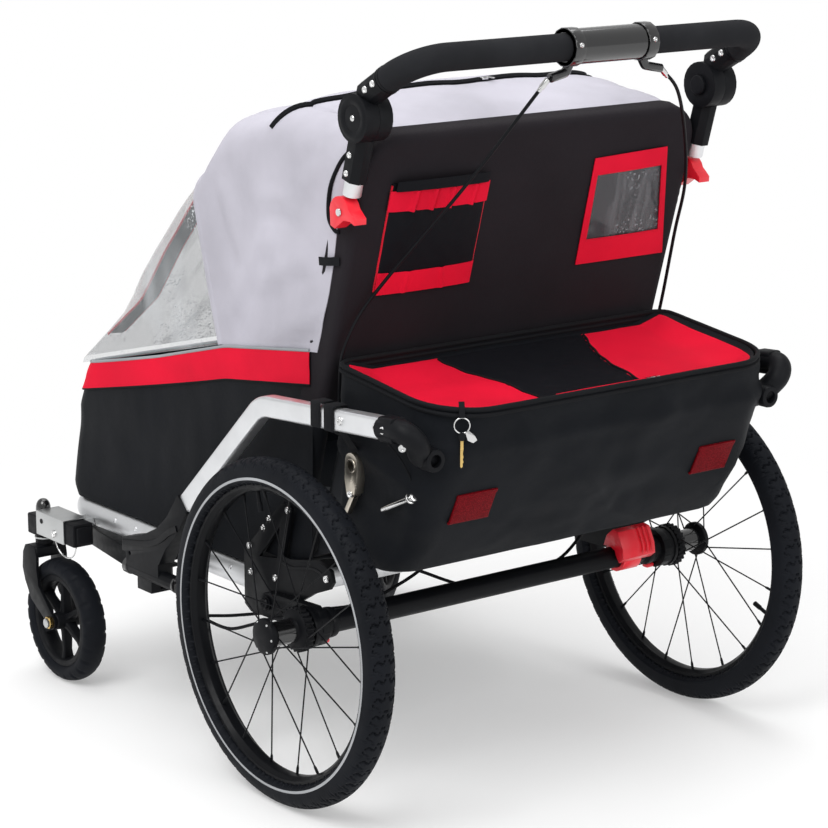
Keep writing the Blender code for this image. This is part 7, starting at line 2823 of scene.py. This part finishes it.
                line.append(Vector(points[r, c]))
            lines.append(line)
        kit.strands([[p + up * 0.001 for p in curve_through(line, 60)] for line in lines], 0.0018,
                    Finish.TAPE, 8)
        zip_line = [Vector(p) + Vector((0, 0, 0.0016)) for p in points[3, 44:-30:3]]
        path = curve_through(zip_line, 160)
        kit.add(swept(path, oblong(0.0014, 0.009, 0.0006, 2), (0, 0, 1)), Finish.RED_CLOTH)
        teeth = curve_through([p + up * 0.0009 for p in path], 240)
        kit.studs(zip_tooth(0.0016, -0.0004), teeth, [up] * 240, Finish.RED_PLASTIC, [(1, 0, 0)] * 240)
        at = teeth[170]
        kit.add(eased(box((at[0] - 0.006, at[1] - 0.0045, at[2]),
                          (at[0] + 0.006, at[1] + 0.0045, at[2] + 0.0035)), 0.0012), Finish.CHROME)
        kit.add(eased(box((at[0] - 0.02, at[1] - 0.003, at[2] + 0.0022),
                          (at[0] - 0.004, at[1] + 0.003, at[2] + 0.0036)), 0.0008), Finish.CHROME)
        piece = shop.place("lid_cloth", kit, "bag_lid", ("bag_lid",), "black_fabric", 60)

    def reflector(self, shop: Shop, side: int) -> None:
        """Red reflector with a folded seam at its top.

        Args:
            shop: places and reports the pieces.
            side: LEFT or RIGHT.
        """
        name = f"reflector_{side_name(side)}"
        slope = math.atan2(-0.031, 0.065)
        turn = Matrix.Translation((side * 0.222, -0.225, 0.457)) @ Matrix.Rotation(-slope, 4, "X")
        frame = box((-0.035, -0.0046, 0.0195), (0.035, -0.0004, 0.0255))
        low = box((-0.035, -0.004, -0.0245), (0.035, -0.0004, -0.0215))
        kit = Kit()
        for mesh in (frame, low):
            mesh.transform(turn)
            kit.add(eased(mesh, 0.0009), Finish.LENS)
        shop.refine(name, "frame", Finish.LENS, 0.0012, kit, "red_lens")

    def build(self, shop: Shop) -> None:
        """Places the bag's pieces.

        Args:
            shop: places and reports the pieces.
        """
        self.body(shop)
        self.lid(shop)
        for side in (LEFT, RIGHT):
            self.reflector(shop, side)


# Things that hang at the left


@dataclass(frozen=True)
class Hitch:
    """Coupler on its strap, the pin on its wire, and the key ring."""

    x: float = -0.3145
    strap_y: float = -0.085

    def strap(self, shop: Shop) -> None:
        """Webbing loops round the side bar.

        Args:
            shop: places and reports the pieces.
        """
        top = 0.5698 + 0.015 + 0.003
        out, inn, skin = 0.357, 0.335, 0.0013
        kit = Kit()
        for y, low in ((self.strap_y, 0.519), (self.strap_y + 0.031, 0.535)):
            points = [(-out - skin, y, top - 0.034), (-out - skin, y, top + skin),
                      (-inn + skin, y, top + skin), (-inn + skin, y, top - 0.04), (self.x, y, low)]
            path = rounded(points, 0.003, step=12)
            kit.add(swept(path, oblong(0.0018, 0.022, 0.0008, 2), (0, 1, 0)), Finish.TAPE)
            edge = [[(-out - skin - 0.0011, y + s * 0.0088, z) for z in (top - 0.03, top - 0.004)]
                    for s in (-1, 1)]
            kit.stitches([[Vector(p) for p in line] for line in edge], lambda p: Vector((-1, 0, 0)),
                         Finish.PLASTIC, 0.004)
        piece = shop.place("strap_webbing", kit, "frame", ("coupler_strap",), "black_fabric")

    def coupler(self, shop: Shop) -> None:
        """Cast coupler with an eye and a bolt.

        Args:
            shop: places and reports the pieces.
        """
        rim = ((0.0062, -0.009), (0.0088, -0.009), (0.0098, -0.0082), (0.0098, 0.0082), (0.0088, 0.009),
               (0.0062, 0.009))
        eye = turned([(r, self.x + a) for r, a in rim], 40, (0, -0.0865, 0.5))
        kit = Kit().add(eye, Finish.WARM_METAL)
        kit.bolts(0.005, 0.003, [(self.x - 0.0072, -0.084, 0.459)], (-1, 0, 0))
        shop.refine("hitch_coupler", "frame", Finish.WARM_METAL, 0.0022, kit, "zinc")

    def pin(self, shop: Shop) -> None:
        """Cross pin with a collar, and its wire.

        Args:
            shop: places and reports the pieces.
        """
        x = -0.3085
        start, end = Vector((x, -0.138, 0.446)), Vector((x, -0.212, 0.481))
        run = (end - start).normalized()
        scales = [0.55, 0.85] + [1.0] * 8 + [0.9]
        marks = (0, 0.02, 0.05, 0.2, 0.4, 0.6, 0.8, 0.9, 0.95, 0.985, 1.0)
        shank = swept([start + (end - start) * t for t in marks], circle(0.0041, 24), (1, 0, 0),
                      scales=scales)
        kit = Kit().add(shank, Finish.CHROME)
        for reach, size in ((0.0115, 0.0082), (0.004, 0.0062)):
            collar = swept([end - run * reach, end - run * (reach - 0.0032)], circle(size, 28), (1, 0, 0))
            kit.add(eased(collar, 0.0007), Finish.CHROME)
        route = [end - run * 0.009, end + Vector((-0.003, 0.004, 0.02)), Vector((x - 0.0115, -0.197, 0.53)),
                 Vector((-0.342, -0.191, 0.5608))]
        wire = curve_through(route, 60)
        kit.strands([wire[:13]], 0.0012, Finish.CHROME, 10)
        kit.strands([wire[12:]], 0.0011, Finish.TAPE, 10)
        shop.place("hitch_pin_fine", kit, "frame", ("hitch_pin",), "bright_steel")

    def keys(self, shop: Shop) -> None:
        """Wire ring on a black loop, with a key and a small lock.

        Args:
            shop: places and reports the pieces.
        """
        turn = math.radians(57)
        out = Vector((-math.cos(turn), -math.sin(turn), 0))
        across = Vector((out[1], -out[0], 0))
        radius, wire = 0.0105, 0.001
        rear = float(np.interp(0.5935, (0.555, 0.6), (-0.264, -0.275)))
        at = Vector((0.08 - 0.304, rear + 0.08, 0.583)) + out * (0.08 + wire + 0.004)
        ring = [at + (across * math.cos(a) + Vector((0, 0, math.sin(a)))) * radius
                for a in np.linspace(0, 2 * math.pi, 49)]
        kit = Kit().strands([ring], wire, Finish.CHROME, 10)
        face = Matrix.Translation(at) @ Matrix.Rotation(math.atan2(across[1], across[0]), 4, "Z")
        bow = prism([(0.0048 * math.cos(a), -0.015 + 0.0062 * math.sin(a))
                     for a in np.linspace(0, 2 * math.pi, 29)[:-1]], Axis.Y, -0.0011, 0.0011)
        stem = box((-0.002, -0.0008, -0.033), (0.002, 0.0008, -0.02))
        blade = prism([(-0.0022, -0.031), (0.0022, -0.031), (0.0022, -0.056), (0.0008, -0.058),
                       (-0.0012, -0.056), (-0.001, -0.052), (-0.0022, -0.05), (-0.0012, -0.046),
                       (-0.0022, -0.043), (-0.0012, -0.039)], Axis.Y, -0.0006, 0.0006)
        lock = prism(((-0.004, -0.009), (-0.0085, -0.006), (-0.0175, -0.014), (-0.0205, -0.02),
                      (-0.015, -0.024), (-0.0075, -0.0205)), Axis.Y, -0.0019, 0.0019)
        hung = ((bow, Finish.PLASTIC, 0.0005), (stem, Finish.BRASS, 0.0002), (blade, Finish.BRASS, 0.0002),
                (lock, Finish.CHROME, 0.001))
        for mesh, finish, width in hung:
            mesh.transform(face)
            kit.add(eased(mesh, width), finish)
        loop = curve_through([at + Vector((0, 0, radius)) + out * 0.002,
                              at + Vector((0, 0, radius + 0.012)) - out * 0.001,
                              at + Vector((0, 0, radius + 0.02)) - out * 0.008], 16)
        kit.add(swept(loop, oblong(0.0014, 0.008, 0.0006, 2), across), Finish.TAPE)
        shop.place("key_ring_fine", kit, "frame", ("key_ring",), "bright_steel")

    def build(self, shop: Shop) -> None:
        """Places the hanging pieces.

        Args:
            shop: places and reports the pieces.
        """
        self.strap(shop)
        self.coupler(shop)
        self.pin(shop)
        self.keys(shop)


@dataclass(frozen=True)
class BrakeCable:
    """Brake cable from the handle down to the axle, a fixed length of stiff sleeve."""

    side: int
    points: tuple
    clip: int
    radius: float = 0.0025

    def build(self, shop: Shop) -> None:
        """Places the cable's two stretches.

        Args:
            shop: places and reports the pieces.
        """
        letter = side_name(self.side)
        route = curve_through(self.points, 160)
        part = min(range(len(route)), key=lambda k: (route[k] - Vector(self.points[self.clip])).length)
        stretches = (("upper", route[:part + 1], ("handle", "hoop"), (0, 4)),
                     ("lower", route[part:], ("hoop", "frame"), (self.clip + 1, self.clip + 3)))
        for name, line, bodies, ends in stretches:
            kit = Kit().add(swept(line, circle(self.radius, 14), (0.3, 1, 0.2)), Finish.PLASTIC)
            piece = shop.place(f"brake_cable_{letter}_{name}", kit, "", (f"brake_cable_{letter}",),
                               "black_plastic", 60)
            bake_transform(piece)


LEFT_ROUTE = (
    (-0.0865, -0.214, 1.0223), (-0.17, -0.15, 0.884), (-0.2545, -0.0585, 0.733),
    (-0.288, -0.038, 0.67), (-0.293, -0.0215, 0.61), (-0.268, 0.0, 0.5), (-0.18, 0.018, 0.39),
    (-0.105, 0.026, 0.33), (-0.1, 0.026, 0.298), (-0.158, 0.029, 0.27), (-0.215, 0.055, 0.245),
    (-0.27, 0.15, 0.223), (-0.305, 0.235, 0.202), (-0.33, 0.275, 0.1955), (-0.336, 0.245, 0.194),
    (-0.336, 0.197, 0.197), (-0.336, 0.14, 0.218), (-0.3365, 0.082, 0.242), (-0.3365, 0.0318, 0.251))
RIGHT_ROUTE = (
    (0.1192, -0.2155, 1.024), (0.16, -0.205, 0.99),
    (0.218, -0.16, 0.918), (0.262, -0.115, 0.838), (0.284, -0.072, 0.76), (0.294, -0.038, 0.66),
    (0.293, -0.0215, 0.6), (0.28, 0.005, 0.48), (0.24, 0.026, 0.34), (0.184, 0.03, 0.274),
    (0.137, 0.031, 0.249), (0.055, 0.031, 0.236), (-0.027, 0.031, 0.246), (-0.124, 0.032, 0.289),
    (-0.2, 0.036, 0.318), (-0.262, 0.042, 0.33), (-0.3112, 0.045, 0.333))
CABLES = (BrakeCable(LEFT, LEFT_ROUTE, 4), BrakeCable(RIGHT, RIGHT_ROUTE, 6))


# Stage


@dataclass(frozen=True)
class Studio:
    """Camera, plain lamps, pale floor and white background."""

    eye: Point = (-2.4947, -3.0625, 1.4488)
    yaw: float = 37.469
    pitch: float = 13.378
    roll: float = -0.04
    lens: float = 120.798

    def camera(self) -> None:
        """Camera at the photograph's view."""
        data = bpy.data.cameras.new("view")
        data.sensor_width, data.lens = 36.0, self.lens
        data.clip_end = 60.0
        item = linked("view", data)
        yaw, pitch = math.radians(self.yaw), math.radians(self.pitch)
        forward = Vector((math.sin(yaw) * math.cos(pitch), math.cos(yaw) * math.cos(pitch), -math.sin(pitch)))
        right = Vector((math.cos(yaw), -math.sin(yaw), 0))
        up = right.cross(forward)
        turn = Matrix((right, up, -forward)).transposed() @ Matrix.Rotation(math.radians(self.roll), 3, "Z")
        stand = Matrix.Translation((self.eye[0], self.eye[1] + AXLE_Y, self.eye[2]))
        item.matrix_world = stand @ turn.to_4x4()
        bpy.context.scene.camera = item

    def lamp(self, name: str, place: Point, aim: Point, size: float, power: float) -> None:
        """Square lamp that looks at a point.

        Args:
            name: the lamp's name.
            place: where it stands.
            aim: where it looks.
            size: length of its side.
            power: its power in watts.
        """
        data = bpy.data.lights.new(name, "AREA")
        data.shape, data.size, data.energy = "SQUARE", size, power
        item = linked(name, data)
        turn = (Vector(aim) - Vector(place)).to_track_quat("-Z", "Y").to_matrix().to_4x4()
        item.matrix_world = Matrix.Translation(place) @ turn

    def floor(self) -> None:
        """Pale floor that carries the shadow."""
        g = Graph("floor")
        g.link(g.tint(g.noise(g.place(), 2.0, 3.0), (0.93, 0.93, 0.93), (0.95, 0.95, 0.95)), "Base Color")
        g.set(Roughness=0.9, Specular_IOR_Level=0.0)
        reach = g.node("VectorMath", operation="LENGTH", i0=g.place())
        far = g.node("MapRange", Value=reach.outputs["Value"], From_Min=0.6, From_Max=1.7, To_Min=0.3,
                     To_Max=1.0)
        glow = g.node("Emission", Color=(1, 1, 1, 1), Strength=1.0)
        mix = g.node("MixShader", Fac=far.outputs["Result"])
        g.tree.links.new(g.shader.outputs[0], mix.inputs[1])
        g.tree.links.new(glow.outputs[0], mix.inputs[2])
        g.tree.links.new(mix.outputs[0], g.tree.nodes["Material Output"].inputs["Surface"])
        mesh = mesh_from([(-16, -16, 0), (16, -16, 0), (16, 16, 0), (-16, 16, 0)], [(0, 1, 2, 3)])
        mesh.materials.append(g.material)
        item = linked("floor", mesh)

    def world(self) -> None:
        """White background, and plain light from all round."""
        world = bpy.data.worlds.new("studio")
        world.use_nodes = True
        tree = world.node_tree
        back = tree.nodes["Background"]
        path = tree.nodes.new("ShaderNodeLightPath")
        level = tree.nodes.new("ShaderNodeMapRange")
        level.inputs["To Min"].default_value = 0.62
        level.inputs["To Max"].default_value = 1.0
        tree.links.new(path.outputs["Is Camera Ray"], level.inputs["Value"])
        tree.links.new(level.outputs["Result"], back.inputs["Strength"])
        back.inputs["Color"].default_value = (1, 1, 1, 1)
        bpy.context.scene.world = world

    def build(self) -> None:
        """Sets the stage."""
        bpy.context.scene.view_settings.view_transform = "Standard"
        self.camera()
        self.floor()
        self.world()
        self.lamp("key", (-2.6, -1.2, 3.4), (0, 0, 0.4), 2.2, 95)
        self.lamp("fill", (0.5, -3.6, 2.2), (0, 0, 0.5), 2.4, 38)
        self.lamp("top", (0.4, 0.6, 3.8), (0, 0, 0.4), 3.0, 60)


def main() -> None:
    """Builds the trailer's looks in order."""
    logging.basicConfig(level=logging.INFO, format="%(message)s")
    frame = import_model()
    shop = Shop(frame)
    Studio().build()
    for cable in CABLES:
        cable.build(shop)
    Chassis().build(shop)
    for side in (LEFT, RIGHT):
        Wheel(side).build(shop)
        Caster(side).build(shop)
    Handle().build(shop)
    BackPanel().build(shop)
    Bag().build(shop)
    Cabin().build(shop)
    Hitch().build(shop)


if __name__ == "__main__":
    main()
